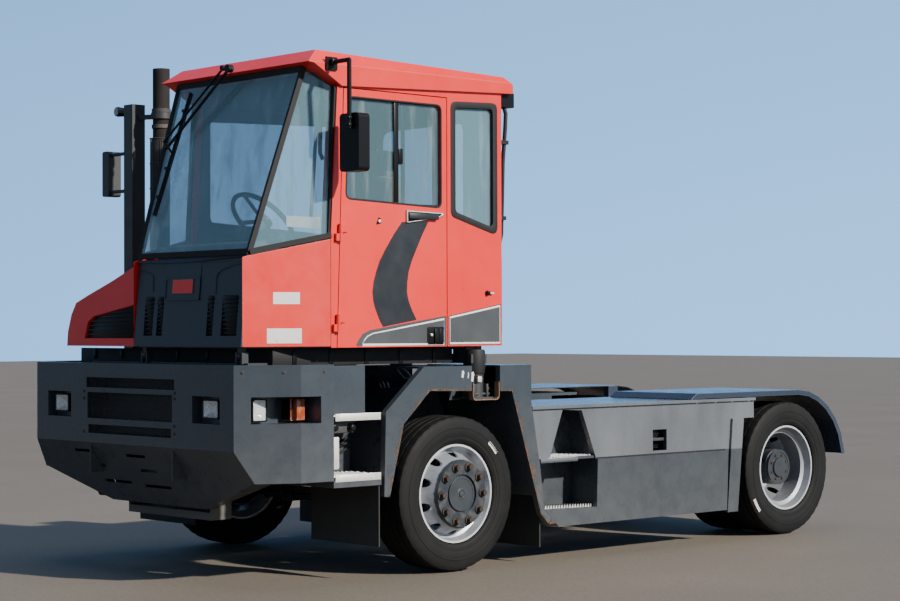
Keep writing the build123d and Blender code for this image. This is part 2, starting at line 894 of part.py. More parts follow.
def bumper_form(inset):
    """Solid nose form; drawn smaller by the wall's thickness it gives the inside."""
    rear_y = bumper_rear_y + inset * 4
    top = bumper_top + inset * 4
    plan = outline(
        [
            (-bumper_side_x, rear_y),
            (-bumper_side_x + 12, bumper_front_y + 335),
            (-bumper_corner_x, bumper_front_y),
            (bumper_corner_x, bumper_front_y),
            (bumper_side_x - 12, bumper_front_y + 335),
            (bumper_side_x, rear_y),
        ]
    )
    side = outline(
        [
            (bumper_front_y, bumper_fold_z),
            (bumper_chin_y, bumper_chin_z),
            (rear_y, bumper_chin_z),
            (rear_y, top),
            (bumper_front_y, top),
        ]
    )
    front = outline(
        [
            (-bumper_chin_x, bumper_chin_z),
            (bumper_chin_x, bumper_chin_z),
            (bumper_corner_x + 40, bumper_side_low),
            (bumper_side_x + 5, bumper_side_low),
            (bumper_side_x + 5, top),
            (-bumper_side_x - 5, top),
            (-bumper_side_x - 5, bumper_side_low),
            (-bumper_corner_x - 40, bumper_side_low),
        ]
    )
    if inset:
        plan = offset(plan, -inset, kind=Kind.INTERSECTION)
        side = offset(side, -inset, kind=Kind.INTERSECTION)
        front = offset(front, -inset, kind=Kind.INTERSECTION)
    form = plan_profile(plan, bumper_chin_z - 10, top + 10)
    form &= side_profile(side, -bumper_side_x - 10, bumper_side_x + 10)
    form &= front_profile(front, bumper_front_y - 10, rear_y + 10)
    return form


def front_bumper():
    shell = bumper_form(0)
    rear_room = block((-1400, 1400), (bumper_rear_y - 0.01, bumper_rear_y + 400), (0, 1500))
    top_room = block((-1400, 1400), (bumper_front_y - 50, bumper_rear_y + 400), (bumper_top, 1600))
    inside = bumper_form(bumper_wall)
    shell = shell - inside - rear_room - top_room
    behind_chin = block((-1400, 1400), (bumper_chin_y + 60, bumper_rear_y + 1), (0, bumper_side_low - 12))
    shell -= behind_chin
    # Folded rim along the top
    rim_face = outline(
        [
            (-bumper_side_x + 40, bumper_rear_y),
            (-bumper_side_x + 60, bumper_front_y + 335),
            (-bumper_corner_x + 25, bumper_front_y + 38),
            (bumper_corner_x - 25, bumper_front_y + 38),
            (bumper_side_x - 60, bumper_front_y + 335),
            (bumper_side_x - 40, bumper_rear_y),
        ]
    )
    lip = bumper_form(0) & block(
        (-1400, 1400), (bumper_front_y, bumper_rear_y), (bumper_top - bumper_wall, bumper_top)
    )
    shell += lip - plan_profile(rim_face, bumper_top - 50, bumper_top + 50)
    for low_x, high_x, low_z, high_z in grille_openings:
        shell -= block((low_x, high_x), (bumper_front_y - 5, bumper_front_y + 30), (low_z, high_z))
    for low_x, high_x, middle_z in chin_slots:
        shell -= block((low_x, high_x), (bumper_front_y - 5, bumper_chin_y), (middle_z - 9, middle_z + 9))
    # Lamp pockets
    for side in (-1, 1):
        low, high = sorted((side * front_lamp_x[0], side * front_lamp_x[1]))
        room_y = (bumper_front_y - 5, bumper_front_y + pocket_depth)
        pocket = block(
            (low - 6, high + 6),
            (bumper_front_y + 4, bumper_front_y + pocket_depth + 6),
            (front_lamp_z[0] - 6, front_lamp_z[1] + 6),
        )
        shell += pocket
        shell -= block((low, high), room_y, front_lamp_z)
        low, high = sorted((side * 1010, side * 1300))
        corner = block(
            sorted((side * 985, side * 1300)),
            (corner_lamp_y[0] - 6, corner_lamp_y[1] + 6),
            (corner_lamp_z[0] - 6, corner_lamp_z[1] + 6),
        )
        shell += corner & bumper_form(0)
        shell -= block((low, high), corner_lamp_y, corner_lamp_z)
    # Brackets to the rails
    for side in (-1, 1):
        low, high = sorted((side * (rail_outer_x + seat_gap), side * (rail_outer_x + 8)))
        shell += block(
            (low, high),
            (bumper_front_y + 5, rail_front_y + 35),
            (rail_low + 15, rail_low + 195),
        )
    return shell


nodes["front_bumper"] = front_bumper()

grille_back_y = bumper_front_y + bumper_wall + seat_gap


def bumper_grille():
    """Plate behind the three openings, pierced as a diamond mesh."""
    low_x = grille_openings[0][0] - 20
    high_x = grille_openings[0][1] + 20
    low_z = grille_openings[2][2] - 20
    high_z = grille_openings[0][3] + 20
    panel = outline([(low_x, low_z), (high_x, low_z), (high_x, high_z), (low_x, high_z)])
    hole_half = mesh_length / 2 - mesh_strand
    hole_high = hole_half * mesh_height / mesh_length
    diamond = outline([(-hole_half, 0), (0, -hole_high), (hole_half, 0), (0, hole_high)])
    for left, right, bottom, top in grille_openings:
        room = outline([(left, bottom), (right, bottom), (right, top), (left, top)])
        columns = math.ceil((right - left) / mesh_length) + 1
        rows = math.ceil((top - bottom) / mesh_height) + 1
        middle = Pos((left + right) / 2, (bottom + top) / 2)
        holes = middle * GridLocations(mesh_length, mesh_height, columns, rows) * diamond
        half_step = middle * Pos(mesh_length / 2, mesh_height / 2)
        holes += half_step * GridLocations(mesh_length, mesh_height, columns, rows) * diamond
        panel -= Sketch() + holes & room
    return front_profile(panel, grille_back_y, grille_back_y + 4)


nodes["bumper_grille"] = bumper_grille()


lamp_back_y = bumper_front_y + pocket_depth - seat_gap
front_lamps = both_sides(block((705, 862), (lamp_back_y - 45, lamp_back_y), (958, 1068)))
corner_back_x = 1010 + seat_gap
front_lamps += both_sides(
    block((corner_back_x, corner_back_x + 50), (corner_lamp_y[0] + 25, corner_lamp_y[0] + 130), (945, 1075))
)
nodes["headlamps"] = front_lamps
nodes["indicator_lamps"] = both_sides(
    block((corner_back_x, corner_back_x + 120), (corner_lamp_y[1] - 95, corner_lamp_y[1] - 35), (945, 1075))
)


# Front arches, step box and battery box

arch_wall = 40
arch_inner_x = 560
arch_liner = 8
arch_front_outline = [
    # y from the front axle, z
    (-624, 490),
    (-610, 983),
    (-312, 1241),
    (79, 1241),
    (79, 1089),
    (-264, 1097),
    (-471, 908),
    (-581, 487),
]
arch_rear_outline = [
    (316, 1241),
    (585, 1241),
    (588, 1000),
    (662, 610),
    (697, 335),
    (800, 240),
    (739, 238),
    (668, 307),
    (418, 1081),
    (316, 1083),
]
splash_outline = [
    # y from the front axle, z
    (-634, 1236),
    (60, 1236),
    (335, 1090),
    (418, 1083),
    (560, 680),
    (560, 600),
    (-470, 600),
    (-470, 850),
    (-634, 1000),
]
arch_liner_line = [(-581, 600), (-471, 908), (-264, 1097), (418, 1081), (640, 420)]


def from_front_axle(points):
    return [(front_axle_y + y, z) for y, z in points]


def arch(side_x):
    """Arch panel on the outside, with the wheel well's liner and the top plate behind it."""
    skin = side_profile(outline(from_front_axle(arch_front_outline)), side_x - arch_wall, side_x)
    skin += side_profile(outline(from_front_axle(arch_rear_outline)), side_x - arch_wall, side_x)
    line = from_front_axle(arch_liner_line)
    over = [(y, z + arch_liner) for y, z in reversed(line)]
    over[0] = (over[0][0] + arch_liner, line[-1][1])
    over[-1] = (line[0][0] - arch_liner, line[0][1])
    liner = side_profile(outline(line + over), arch_inner_x, side_x - arch_wall + 2)
    top = block((arch_inner_x, side_x - 2), (front_axle_y - 312, front_axle_y + 60), (1229, 1241))
    top += block((arch_inner_x, side_x - 2), (front_axle_y + 335, front_axle_y + 585), (1229, 1241))
    rear = block(
        (rail_outer_x + seat_gap, side_x - 10), (front_axle_y + 573, front_axle_y + 583), (990, 1241)
    )
    stay = block(
        (rail_outer_x + seat_gap, arch_inner_x + 10), (front_axle_y + 330, front_axle_y + 400), (700, 790)
    )
    stay += block(
        (arch_inner_x - 20, arch_inner_x + 10), (front_axle_y + 330, front_axle_y + 400), (700, 1235)
    )
    front_stay = block(
        (rail_outer_x + seat_gap, arch_inner_x + 10), (front_axle_y - 620, front_axle_y - 585), (600, 660)
    )
    # Room in the liner for the cab's air spring, with a back wall
    liner -= block((side_x - 185, side_x), (front_axle_y + 85, front_axle_y + 315), (1000, 1200))
    recess = block((side_x - 193, side_x - 185), (front_axle_y + 60, front_axle_y + 330), (1030, 1241))
    splash = side_profile(outline(from_front_axle(splash_outline)), arch_inner_x - 1, arch_inner_x + 6)
    return skin + liner + top + rear + stay + front_stay + recess + splash


arch_left = arch(half_width)
nodes["arch_panels"] = arch_left + other_side(arch_left)

step_front_y = bumper_rear_y + seat_gap
step_rear_y = front_axle_y - 636
step_inner_x = 940
tread_zs = (953, 604)
tread_thickness = 14
flap_inner_x = 600
flap_outer_x = half_width - 21
step_wall = 8


def step_box():
    """Well with two treads on the left, between the bumper and the arch."""
    box = block((step_inner_x, step_inner_x + step_wall), (step_front_y, step_rear_y), (560, 1240))
    box += block(
        (rail_outer_x + 130, step_inner_x + 2), (step_front_y, step_front_y + step_wall), (560, 1240)
    )
    box += block(
        (rail_outer_x + seat_gap, step_inner_x + 2), (step_rear_y - step_wall, step_rear_y), (560, 1000)
    )
    box += block((step_inner_x, half_width - 12), (step_front_y, step_rear_y), (560, 600 - seat_gap))
    upper = outline(
        [(step_front_y, 970), (front_axle_y - 720, 970), (front_axle_y - 720, 1255), (step_front_y, 1255)]
    )
    upper_plate = side_profile(upper, half_width - 70, half_width - 60)
    upper_plate += block((step_inner_x, half_width - 60), (step_front_y, front_axle_y - 720), (1245, 1255))
    box += upper_plate + block(
        (step_inner_x, half_width - 62), (step_front_y, step_front_y + 8), (970, 1255)
    )
    return box


nodes["step_box"] = step_box()


def step_treads():
    """Bright ribbed treads that rest on the box's floor and on brackets."""
    treads = block(
        (step_inner_x + step_wall + seat_gap, half_width - 10),
        (step_front_y + 10, step_rear_y - 2),
        (604, 620),
    )
    upper = block(
        (step_inner_x + step_wall + seat_gap, half_width - 10),
        (step_front_y + 10, step_rear_y - 2),
        (952, 968),
    )
    return treads + upper


nodes["step_treads"] = step_treads()

battery_box = block((-half_width + 10, -rail_outer_x - 130), (step_front_y, step_rear_y), (600, 1240))
battery_box = fillet(battery_box.edges().filter_by(Axis.Z), 12)
battery_box += block(
    (-rail_outer_x - 132, -rail_outer_x - seat_gap), (step_rear_y - 60, step_rear_y - 10), (620, 700)
)
# Hanger for the mudflap
battery_box += block((-flap_outer_x, -flap_inner_x), (step_rear_y - 20, step_rear_y - 2), (560, 602))
nodes["step_box"] += battery_box


# Side boxes and decks behind the cab

deck_high = 980
deck_low = 960
skirt_low = 217
skirt_split = 626
skirt_wall = 34
box_front_y = front_axle_y + 588
box_rear_y = rear_axle_y - 720
deck_rear_y = rear_axle_y - 400
deck_gap = 12
deck_rear_x = plate_half_width + 25
box_inner_x = 660
filler_window_y = (rear_axle_y - 1458, rear_axle_y - 1319)
filler_window_z = (653, 792)
well_front = 700
access_opening = [
    # y from the front axle, z
    (887, 950), (1062, 942), (1190, 639), (1179, 321), (696, 333), (662, 602), (662, 626), (768, 652)
]
well_toe = [(well_front + 4, 331), (801, 240), (830, skirt_low)]


def side_box(steps):
    """Deck, outer skirt in two planes, inner walls and floor; open inside."""
    inner = rail_outer_x + seat_gap
    outer = half_width
    box = block((inner, outer - 2), (box_front_y + deck_gap, box_rear_y), (deck_low, deck_high))
    box += block((deck_rear_x, outer - 2), (box_rear_y - 1, deck_rear_y), (deck_low, deck_high))
    upper = outline(
        [
            (box_front_y + deck_gap, deck_high),
            (front_axle_y + 667, 600),
            (box_rear_y + 100, 600),
            (box_rear_y + 180, deck_low - 120),
            (deck_rear_y, deck_low - 120),
            (deck_rear_y, deck_high),
        ]
    )
    box += side_profile(upper, outer - skirt_wall - 20, outer - 20)
    lower = outline(
        [
            (front_axle_y + 664, skirt_split),
            (front_axle_y + 698.5, 336),
            (front_axle_y + 801, 240),
            (front_axle_y + 830, skirt_low),
            (box_rear_y, skirt_low),
            (box_rear_y + 20, skirt_split),
        ]
    )
    box += side_profile(lower, outer - skirt_wall, outer)
    box += block((box_inner_x, outer - 2), (front_axle_y + 830, box_rear_y), (skirt_low, skirt_low + 12))
    toe = from_front_axle(well_toe)
    front_y = front_axle_y + well_front
    inner_wall = outline([(toe[0][0], 612), *toe, (box_rear_y, skirt_low), (box_rear_y, 612)])
    box += side_profile(inner_wall, box_inner_x, box_inner_x + 10)
    box += block((inner, box_inner_x + 10), (front_y, box_rear_y), (600, 612))
    box += block((inner, inner + 10), (front_y, box_rear_y), (600, deck_high - 1))
    toe_inside = [(y + 10, z + 5) for y, z in toe[1::-1]]
    folded = outline(
        [(toe[0][0], 612), *toe, (toe[2][0], skirt_low + 12), *toe_inside, (toe[0][0] + 10, 612)]
    )
    box += side_profile(folded, box_inner_x, outer - 2)
    box += block((box_inner_x, outer - 2), (box_rear_y - 10, box_rear_y), (skirt_low, 612))
    for y in (front_y, box_rear_y - 10):
        box += block((inner, outer - 22), (y, y + 10), (600, deck_high - 1))
    strip = outline(
        [(box_rear_y + 10, 200), (box_rear_y + 120, 200), (box_rear_y + 190, 840), (box_rear_y + 70, 840)]
    )
    box += side_profile(strip, outer - 30, outer - 2)
    if steps:
        box -= side_profile(outline(from_front_axle(access_opening)), outer - 60, outer + 5)
        box -= block((outer - 60, outer + 5), filler_window_y, filler_window_z)
        for front, z in ((well_front, 632), (740, 305)):
            box += block(
                (outer - 260, outer - 30), (front_axle_y + front, front_axle_y + 1190), (z, z + 16)
            )
        box += block((outer - 60, outer - 2), (front_axle_y + 672, front_axle_y + 1006), (622, 648))
        back_y = front_axle_y + 1192
        back_wall = outline([(toe[0][0], deck_low + 2), *toe, (back_y, skirt_low), (back_y, deck_low + 2)])
        box += side_profile(back_wall, outer - 262, outer - 252)
        box += block(
            (outer - 262, outer - 30),
            (front_axle_y + 1190, front_axle_y + 1198),
            (skirt_low + 2, deck_low + 2),
        )
    return box


nodes["side_boxes"] = side_box(True) + other_side(side_box(False))


# Rear mudguards and flaps

guard_inner_x = 500
guard_sheet = 8
guard_flat_z = 1022
guard_lip = 36
guard_arc_centre = (80, axle_z)
guard_arc_radius = guard_flat_z - axle_z
guard_arc_turns = (90, 77, 64, 51, 38, 25, 8)
guard_arc = [
    (
        guard_arc_centre[0] + guard_arc_radius * math.cos(math.radians(turn)),
        guard_arc_centre[1] + guard_arc_radius * math.sin(math.radians(turn)),
    )
    for turn in guard_arc_turns
]
# y from the rear axle, z
guard_line = [(-1086, 985), (-1030, guard_flat_z), *guard_arc]


def guard_edge(depth):
    """The guard's line, with its arc drawn in towards the axle by a depth."""
    shrink = 1 - depth / guard_arc_radius
    middle_y, middle_z = guard_arc_centre
    arc = [(middle_y + (y - middle_y) * shrink, middle_z + (z - middle_z) * shrink) for y, z in guard_arc]
    return [(rear_axle_y + y, z) for y, z in guard_line[:2] + arc]


def guard_solid():
    """Bent sheet along the guard's line."""
    line = guard_edge(0)
    front = [(line[0][0] + 6, line[0][1] - 5), (line[1][0] + 3, line[1][1] - guard_sheet)]
    return outline(line + guard_edge(guard_sheet)[:1:-1] + front[::-1])


def mudguard():
    """Sheet with a turned-down lip, and its post on the rail."""
    sheet = side_profile(guard_solid(), guard_inner_x, half_width)
    post = block(
        (guard_inner_x - 30, guard_inner_x + 20),
        (rear_axle_y - 50, rear_axle_y + 50),
        (600, guard_flat_z - 4),
    )
    post += block(
        (rail_outer_x + seat_gap, guard_inner_x), (rear_axle_y - 50, rear_axle_y + 50), (600, 700)
    )
    edge = guard_edge(0)
    lip = outline(edge + guard_edge(guard_lip)[:1:-1] + [(edge[1][0] + 20, edge[1][1] - guard_lip)])
    return sheet + post + side_profile(lip, half_width - 6, half_width)


nodes["rear_mudguards"] = both_sides(mudguard())

flap_thickness = 8
front_flap = block(
    (flap_inner_x, flap_outer_x), (step_rear_y - flap_thickness - 6, step_rear_y - 6), (200, 560 - seat_gap)
)
rear_flap_y = front_axle_y + well_toe[0][0] - seat_gap
rear_flap = block(
    (box_inner_x + 10, half_width - arch_wall - 2), (rear_flap_y - flap_thickness, rear_flap_y), (95, 600)
)
nodes["mudflaps"] = both_sides(front_flap + rear_flap)


# Exhaust and the right-hand mirror post

exhaust_x = -900
exhaust_y = front_axle_y - 700
exhaust_radius = 56
exhaust_top = 3180
muffler_radius = 105
stand_z = 1240


def exhaust():
    """Muffler on the battery box, and the stack above it."""
    muffler = tube((exhaust_x, exhaust_y, stand_z + 30), (exhaust_x, exhaust_y, 1800), muffler_radius)
    muffler = chamfer(muffler.edges(), 20)
    foot = tube((exhaust_x, exhaust_y, stand_z + seat_gap), (exhaust_x, exhaust_y, stand_z + 40), 60)
    pipe = tube((exhaust_x, exhaust_y, 1790), (exhaust_x, exhaust_y, exhaust_top), exhaust_radius)
    pipe -= tube((exhaust_x, exhaust_y, 2500), (exhaust_x, exhaust_y, exhaust_top + 1), exhaust_radius - 4)
    return muffler + foot + pipe


nodes["exhaust_stack"] = exhaust()

post_x = -1110
post_y = front_axle_y - 770
post_half = 50
post_top = 2955
mirror_face_x = 1375
mirror_outer_x = 1450


def mirror_post():
    """Square post with a base plate, a stay to the exhaust, and the mirror's arms."""
    post = block(
        (post_x - post_half, post_x + post_half),
        (post_y - post_half, post_y + post_half),
        (stand_z, post_top),
    )
    post += block(
        (post_x - 90, post_x + 90), (post_y - 90, post_y + 90), (stand_z + seat_gap, stand_z + 14)
    )
    post -= block(
        (post_x - 100, post_x + 100), (post_y - 100, post_y + 100), (stand_z - 10, stand_z + seat_gap)
    )
    clamp = tube(
        (exhaust_x, exhaust_y, 2850),
        (exhaust_x, exhaust_y, 2890),
        exhaust_radius + 12,
        exhaust_radius + seat_gap,
    )
    stay = square_bar(
        (post_x, post_y, 2870), (exhaust_x - exhaust_radius - 6, exhaust_y - 10, 2870), 30, 30
    )
    for z in (2640, 2390):
        post += tube((post_x - post_half + 2, post_y, z), (-mirror_face_x - 20, post_y, z), 12)
    post += tube((post_x - post_half, post_y, 2925), (post_x - 150, post_y - 20, 2925), 14)
    return post + clamp + stay


nodes["mirror_post"] = mirror_post()
mirror_head = block((-mirror_outer_x, -mirror_face_x), (post_y - 30, post_y + 70), (2360, 2665))
mirror_head = fillet(mirror_head.edges().filter_by(Axis.Y), 18)
nodes["mirror_post"] += mirror_head


# Cab mounts on the frame

ear_pairs = (20, 960)


def cab_mounts():
    """Hinge beam in front, and the rear cross-beam with its air springs and pads."""
    beam = block((-560, 1030), (cab_hinge_y - 10, cab_hinge_y + 128), (hinge_beam_low, hinge_beam_high))
    for x in ear_pairs:
        for shift in (-32, 18):
            beam += block(
                (x + shift, x + shift + 14),
                (cab_hinge_y - 22, cab_hinge_y + 22),
                (hinge_beam_high - 5, cab_hinge_z + 22),
            )
        beam += cross_bar(x - 32, x + 32, cab_hinge_y, cab_hinge_z, cab_hinge_pin)
    rear_y = (front_axle_y + 130, front_axle_y + 260)
    rear = block((-340, half_width - 60), rear_y, (1255, 1310))
    for x in (-150, 1080):
        rear += block((x - 60, x + 60), rear_y, (1305, cab_floor_low - seat_gap))
    posts = block((rail_outer_x + seat_gap, rail_outer_x + 70), rear_y, (700, 1260))
    rear += posts + other_side(block((270, 340), rear_y, (1130, 1260)))
    rear += other_side(block((270, rail_outer_x + 70), rear_y, (1130, 1160)))
    rear += other_side(block((rail_outer_x + seat_gap, rail_outer_x + 70), rear_y, (700, 1160)))
    spring_x = half_width - 105
    rear += tube((spring_x, front_axle_y + 197, 1046), (spring_x, front_axle_y + 197, 1256), 55)
    rear += block((spring_x - 70, half_width - 42), (front_axle_y + 100, front_axle_y + 300), (1034, 1048))
    return beam, rear


mount_front, mount_rear = cab_mounts()
nodes["cab_mounts"] = mount_front + mount_rear


# Tail lamp bar

bar_y = rear_axle_y + 500
bar_z = (500, 570)
tail_bar = block((-960, 960), (bar_y, bar_y + 40), bar_z)
for side in (-1, 1):
    low, high = sorted((side * 340, side * 400))
    tail_bar += block((low, high), (rail_rear_y - 2, bar_y + 2), (540, 700))
nodes["frame_rails"] += tail_bar
nodes["tail_lamps"] = both_sides(block((640, 940), (bar_y + 40 + seat_gap, bar_y + 80), (506, 564)))


# Cab floor and lower panels


def cab_floor():
    """Floor plate with the hinge ears under its front edge."""
    floor_left = cab_left_x - 50
    plan = outline(
        [
            (cab_right_x, cab_rear_y),
            (cab_right_x, pillar_y),
            (-30, screen_foot_y - 20),
            (1010, screen_foot_y - 20),
            (floor_left, pillar_y - 40),
            (floor_left, cab_rear_y),
        ]
    )
    floor = plan_profile(plan, cab_floor_low, cab_floor_high)
    for x in ear_pairs:
        lug = block(
            (x - 16.5, x + 16.5), (cab_hinge_y - 18, cab_hinge_y + 18), (cab_hinge_z, cab_floor_low + 2)
        )
        lug += cross_bar(x - 16.5, x + 16.5, cab_hinge_y, cab_hinge_z, 26)
        lug -= cross_bar(x - 20, x + 20, cab_hinge_y, cab_hinge_z, cab_hinge_pin + running_gap)
        floor += lug
    return floor


nodes["cab_floor"] = cab_floor()

panel_low = 1366
panel_left_x = 1030
panel_right_x = -30
front_panel_foot_y = front_axle_y - 1500
front_panel_head_y = front_axle_y - 1455
panel_high = 1880


def front_panel():
    """Dark moulded panel under the windscreen, with a ledge on top."""
    section = outline(
        [
            (front_panel_foot_y, panel_low),
            (front_panel_foot_y + 38, panel_low),
            (screen_foot_y - 20 - seat_gap, cab_floor_high + 20),
            (screen_foot_y - 20 - seat_gap, panel_high - 30),
            (screen_foot_y + 30, panel_high - 12),
            (screen_foot_y + 30, panel_high),
            (front_panel_head_y, panel_high),
        ]
    )
    panel = side_profile(section, panel_right_x, panel_left_x)
    arch_cut = outline([(400, 1700), (600, 1700), (600, 1830), (560, 1850), (440, 1850), (400, 1830)])
    panel -= front_profile(arch_cut, front_panel_foot_y - 5, front_panel_foot_y + 34)
    for low, high in ((60, 150), (190, 250), (690, 750), (830, 980)):
        panel -= block((low, high), (front_panel_foot_y - 5, front_panel_foot_y + 28), (1430, 1660))
    return panel


nodes["front_panel"] = front_panel()

quarter_wall = 30


def quarter_panel():
    """Red corner panel between the front panel and the door post."""
    front = (panel_left_x + seat_gap, front_axle_y - 1490)
    rear = (cab_left_x, pillar_y - 10)
    plan = outline(
        [
            front,
            rear,
            (cab_left_x - 44, pillar_y - 10),
            (front[0], front[1] + 75),
        ]
    )
    solid = plan_profile(plan, panel_low, pillar_foot_z)
    slope = (pillar_foot_z - screen_foot_z) / (pillar_y - screen_foot_y)
    cut = outline(
        [
            (front[1] - 100, screen_foot_z - slope * 150 - 20),
            (rear[1] + 50, pillar_foot_z - 12),
            (rear[1] + 50, 2300),
            (front[1] - 100, 2300),
        ]
    )
    solid -= side_profile(cut, 900, 1300)
    return solid


def about_cab_centre(shape):
    return mirror(shape, about=Plane.YZ.offset(cab_centre_x))


quarter_left = quarter_panel()
quarter_right = about_cab_centre(quarter_left)
nodes["quarter_panels"] = quarter_left + quarter_right
nodes["cab_floor"] -= nodes["quarter_panels"]

hood_front_y = front_axle_y - 1470
hood_rear_y = front_axle_y - 960
hood_outline = [
    (-60, 1366),
    (-60, 1850),
    (-300, 1766),
    (-590, 1676),
    (-715, 1634),
    (-770, 1560),
    (-810, 1455),
    (-820, 1366),
]
hood_vent_outline = [(-70, 1413), (-70, 1617), (-515, 1550), (-580, 1515), (-620, 1413)]
hood_wall = 14


def side_hood():
    """Sloping hood beside the front panel, hollow, with a recessed vent in its face."""
    outer = outline(hood_outline)
    hood = front_profile(outer, hood_front_y, hood_rear_y)
    inner = offset(outer, -hood_wall, kind=Kind.INTERSECTION)
    hood -= front_profile(inner, hood_front_y + 50, hood_rear_y + 1)
    hood -= front_profile(outline(hood_vent_outline), hood_front_y - 1, hood_front_y + 22)
    return hood


hood = side_hood()
hood -= block((cab_right_x - seat_gap, 0), (pillar_y - 40, 0), (1300, 2000))
hood -= quarter_right
hood -= nodes["cab_floor"]
hood -= nodes["front_panel"]
nodes["side_hood"] = hood


# Cab walls

door_gap = 6
wall_inner_x = cab_left_x - 50
ring_depth = 40
b_post_y = door_rear_y + door_gap


def window_shape(points, radius=40):
    return outline(points, radius)


def wall_top(y):
    return roof_edge_z(y) - seat_gap


def door_outline(grow):
    """The door leaf's outline, grown for the opening around it."""
    return outline(
        [
            (door_front_low_y - grow, cab_floor_low - grow),
            (door_front_high_y - grow, door_top_z + grow),
            (door_rear_y + grow, door_top_z + grow),
            (door_rear_y + grow, cab_floor_low - grow),
        ]
    )


rear_side_window = [
    (front_axle_y - 40, 2152),
    (front_axle_y - 40, 2830),
    (front_axle_y + 330, 2845),
    (front_axle_y + 330, 2050),
]


def left_wall():
    """Door post, door frame and rear side panel."""
    whole = outline(
        [
            (pillar_y - 8, cab_floor_low),
            (pillar_y - 8, pillar_foot_z),
            (roof_edge_front_y - 20, wall_top(roof_edge_front_y - 20)),
            (cab_rear_y, wall_top(cab_rear_y)),
            (cab_rear_y, cab_floor_low),
        ]
    )
    skin = side_profile(whole, wall_inner_x, cab_left_x)
    skin -= side_profile(door_outline(door_gap), wall_inner_x - 1, cab_left_x + 1)
    ring = side_profile(whole, wall_inner_x - ring_depth, wall_inner_x)
    ring -= side_profile(door_outline(-35), wall_inner_x - ring_depth - 1, wall_inner_x + 1)
    ring -= block((0, 1300), (-3000, 0), (0, cab_floor_high + seat_gap))
    wall = skin + ring
    wall -= side_profile(window_shape(rear_side_window), wall_inner_x - ring_depth - 1, cab_left_x + 1)
    return wall


door_hinge_x = cab_left_x + door_hinge_radius + 1
hinge_zs = (1500, 2020)


def hinge_point(z):
    return (door_hinge_x, door_front_y(z) - 9, z)


def door_leaf():
    """Door panel with its window opening and the hinge eyes."""
    leaf = side_profile(door_outline(0), cab_left_x - cab_wall, cab_left_x)
    leaf -= side_profile(window_shape(door_window_outline), cab_left_x - cab_wall - 1, cab_left_x + 1)
    return leaf


door_window_outline = [
    (front_axle_y - 872, 2218),
    (front_axle_y - 850, 2808),
    (front_axle_y - 127, 2808),
    (front_axle_y - 127, 2192),
]
wall = left_wall()
leaf = door_leaf()
for z in hinge_zs:
    eye_start = hinge_point(z)
    eye_end = hinge_point(z + 50)
    low_start = hinge_point(z - 51)
    low_end = hinge_point(z - 1)
    # The upper half turns with the door on a pin that stands on the post's half
    eye = tube(eye_start, eye_end, door_hinge_radius)
    eye += block(
        (cab_left_x - 8, cab_left_x + 8), (door_front_y(z) + 10, door_front_y(z) + 50), (z + 4, z + 46)
    )
    eye += block(
        (cab_left_x + 1, cab_left_x + 20), (door_front_y(z) - 9, door_front_y(z) + 30), (z + 4, z + 46)
    )
    eye -= tube(hinge_point(z - 5), hinge_point(z + 40), 7 + running_gap)
    leaf += eye
    post_eye = tube(low_start, low_end, door_hinge_radius)
    post_eye += tube(low_end, hinge_point(z + 38), 7)
    post_eye += block(
        (cab_left_x - 4, cab_left_x + 20), (door_front_y(z) - 45, door_front_y(z) - 14), (z - 48, z - 6)
    )
    wall += post_eye
nodes["cab_left_wall"] = wall
handle = block((cab_left_x - 2, cab_left_x + 22), (front_axle_y - 400, front_axle_y - 170), (2120, 2150))
leaf += handle - block(
    (cab_left_x, cab_left_x + 10), (front_axle_y - 370, front_axle_y - 200), (2100, 2170)
)
nodes["door_left"] = leaf


def pane(points, x_middle, radius=40, shrink=seat_gap):
    face = offset(window_shape(points, radius), -shrink)
    return side_profile(face, x_middle - glass_thickness / 2, x_middle + glass_thickness / 2)


nodes["door_window"] = pane(door_window_outline, cab_left_x - cab_wall / 2)

right_window = [
    (front_axle_y - 850, 2120),
    (front_axle_y - 850, 2790),
    (front_axle_y + 290, 2830),
    (front_axle_y + 290, 2060),
]


def right_wall():
    whole = outline(
        [
            (pillar_y - 8, cab_floor_high + seat_gap),
            (pillar_y - 8, pillar_foot_z),
            (roof_edge_front_y - 20, wall_top(roof_edge_front_y - 20)),
            (cab_rear_y, wall_top(cab_rear_y)),
            (cab_rear_y, cab_floor_high + seat_gap),
        ]
    )
    solid = side_profile(whole, cab_right_x, cab_right_x + cab_wall)
    return solid - side_profile(window_shape(right_window), cab_right_x - 1, cab_right_x + cab_wall + 1)


nodes["cab_right_wall"] = right_wall()

rear_window = [(60, 2060), (60, 2780), (920, 2780), (920, 2060)]


def rear_wall():
    low_x = cab_right_x + cab_wall + seat_gap
    high_x = wall_inner_x - ring_depth - seat_gap
    wall_face = outline(
        [
            (low_x, cab_floor_high + seat_gap),
            (low_x, wall_top(cab_rear_y - cab_wall)),
            (high_x, wall_top(cab_rear_y - cab_wall)),
            (high_x, cab_floor_high + seat_gap),
        ]
    )
    solid = front_profile(wall_face, cab_rear_y - cab_wall, cab_rear_y)
    return solid - front_profile(window_shape(rear_window, 90), cab_rear_y - cab_wall - 1, cab_rear_y + 1)


nodes["cab_rear_wall"] = rear_wall()
rear_face = offset(window_shape(rear_window, 90), -seat_gap)
rear_pane_y = cab_rear_y - cab_wall / 2
rear_pane = front_profile(rear_face, rear_pane_y - glass_thickness / 2, rear_pane_y + glass_thickness / 2)


# Roof

roof_left_x = 1220
roof_right_x = 2 * cab_centre_x - roof_left_x
roof_front_y = front_axle_y - 1160


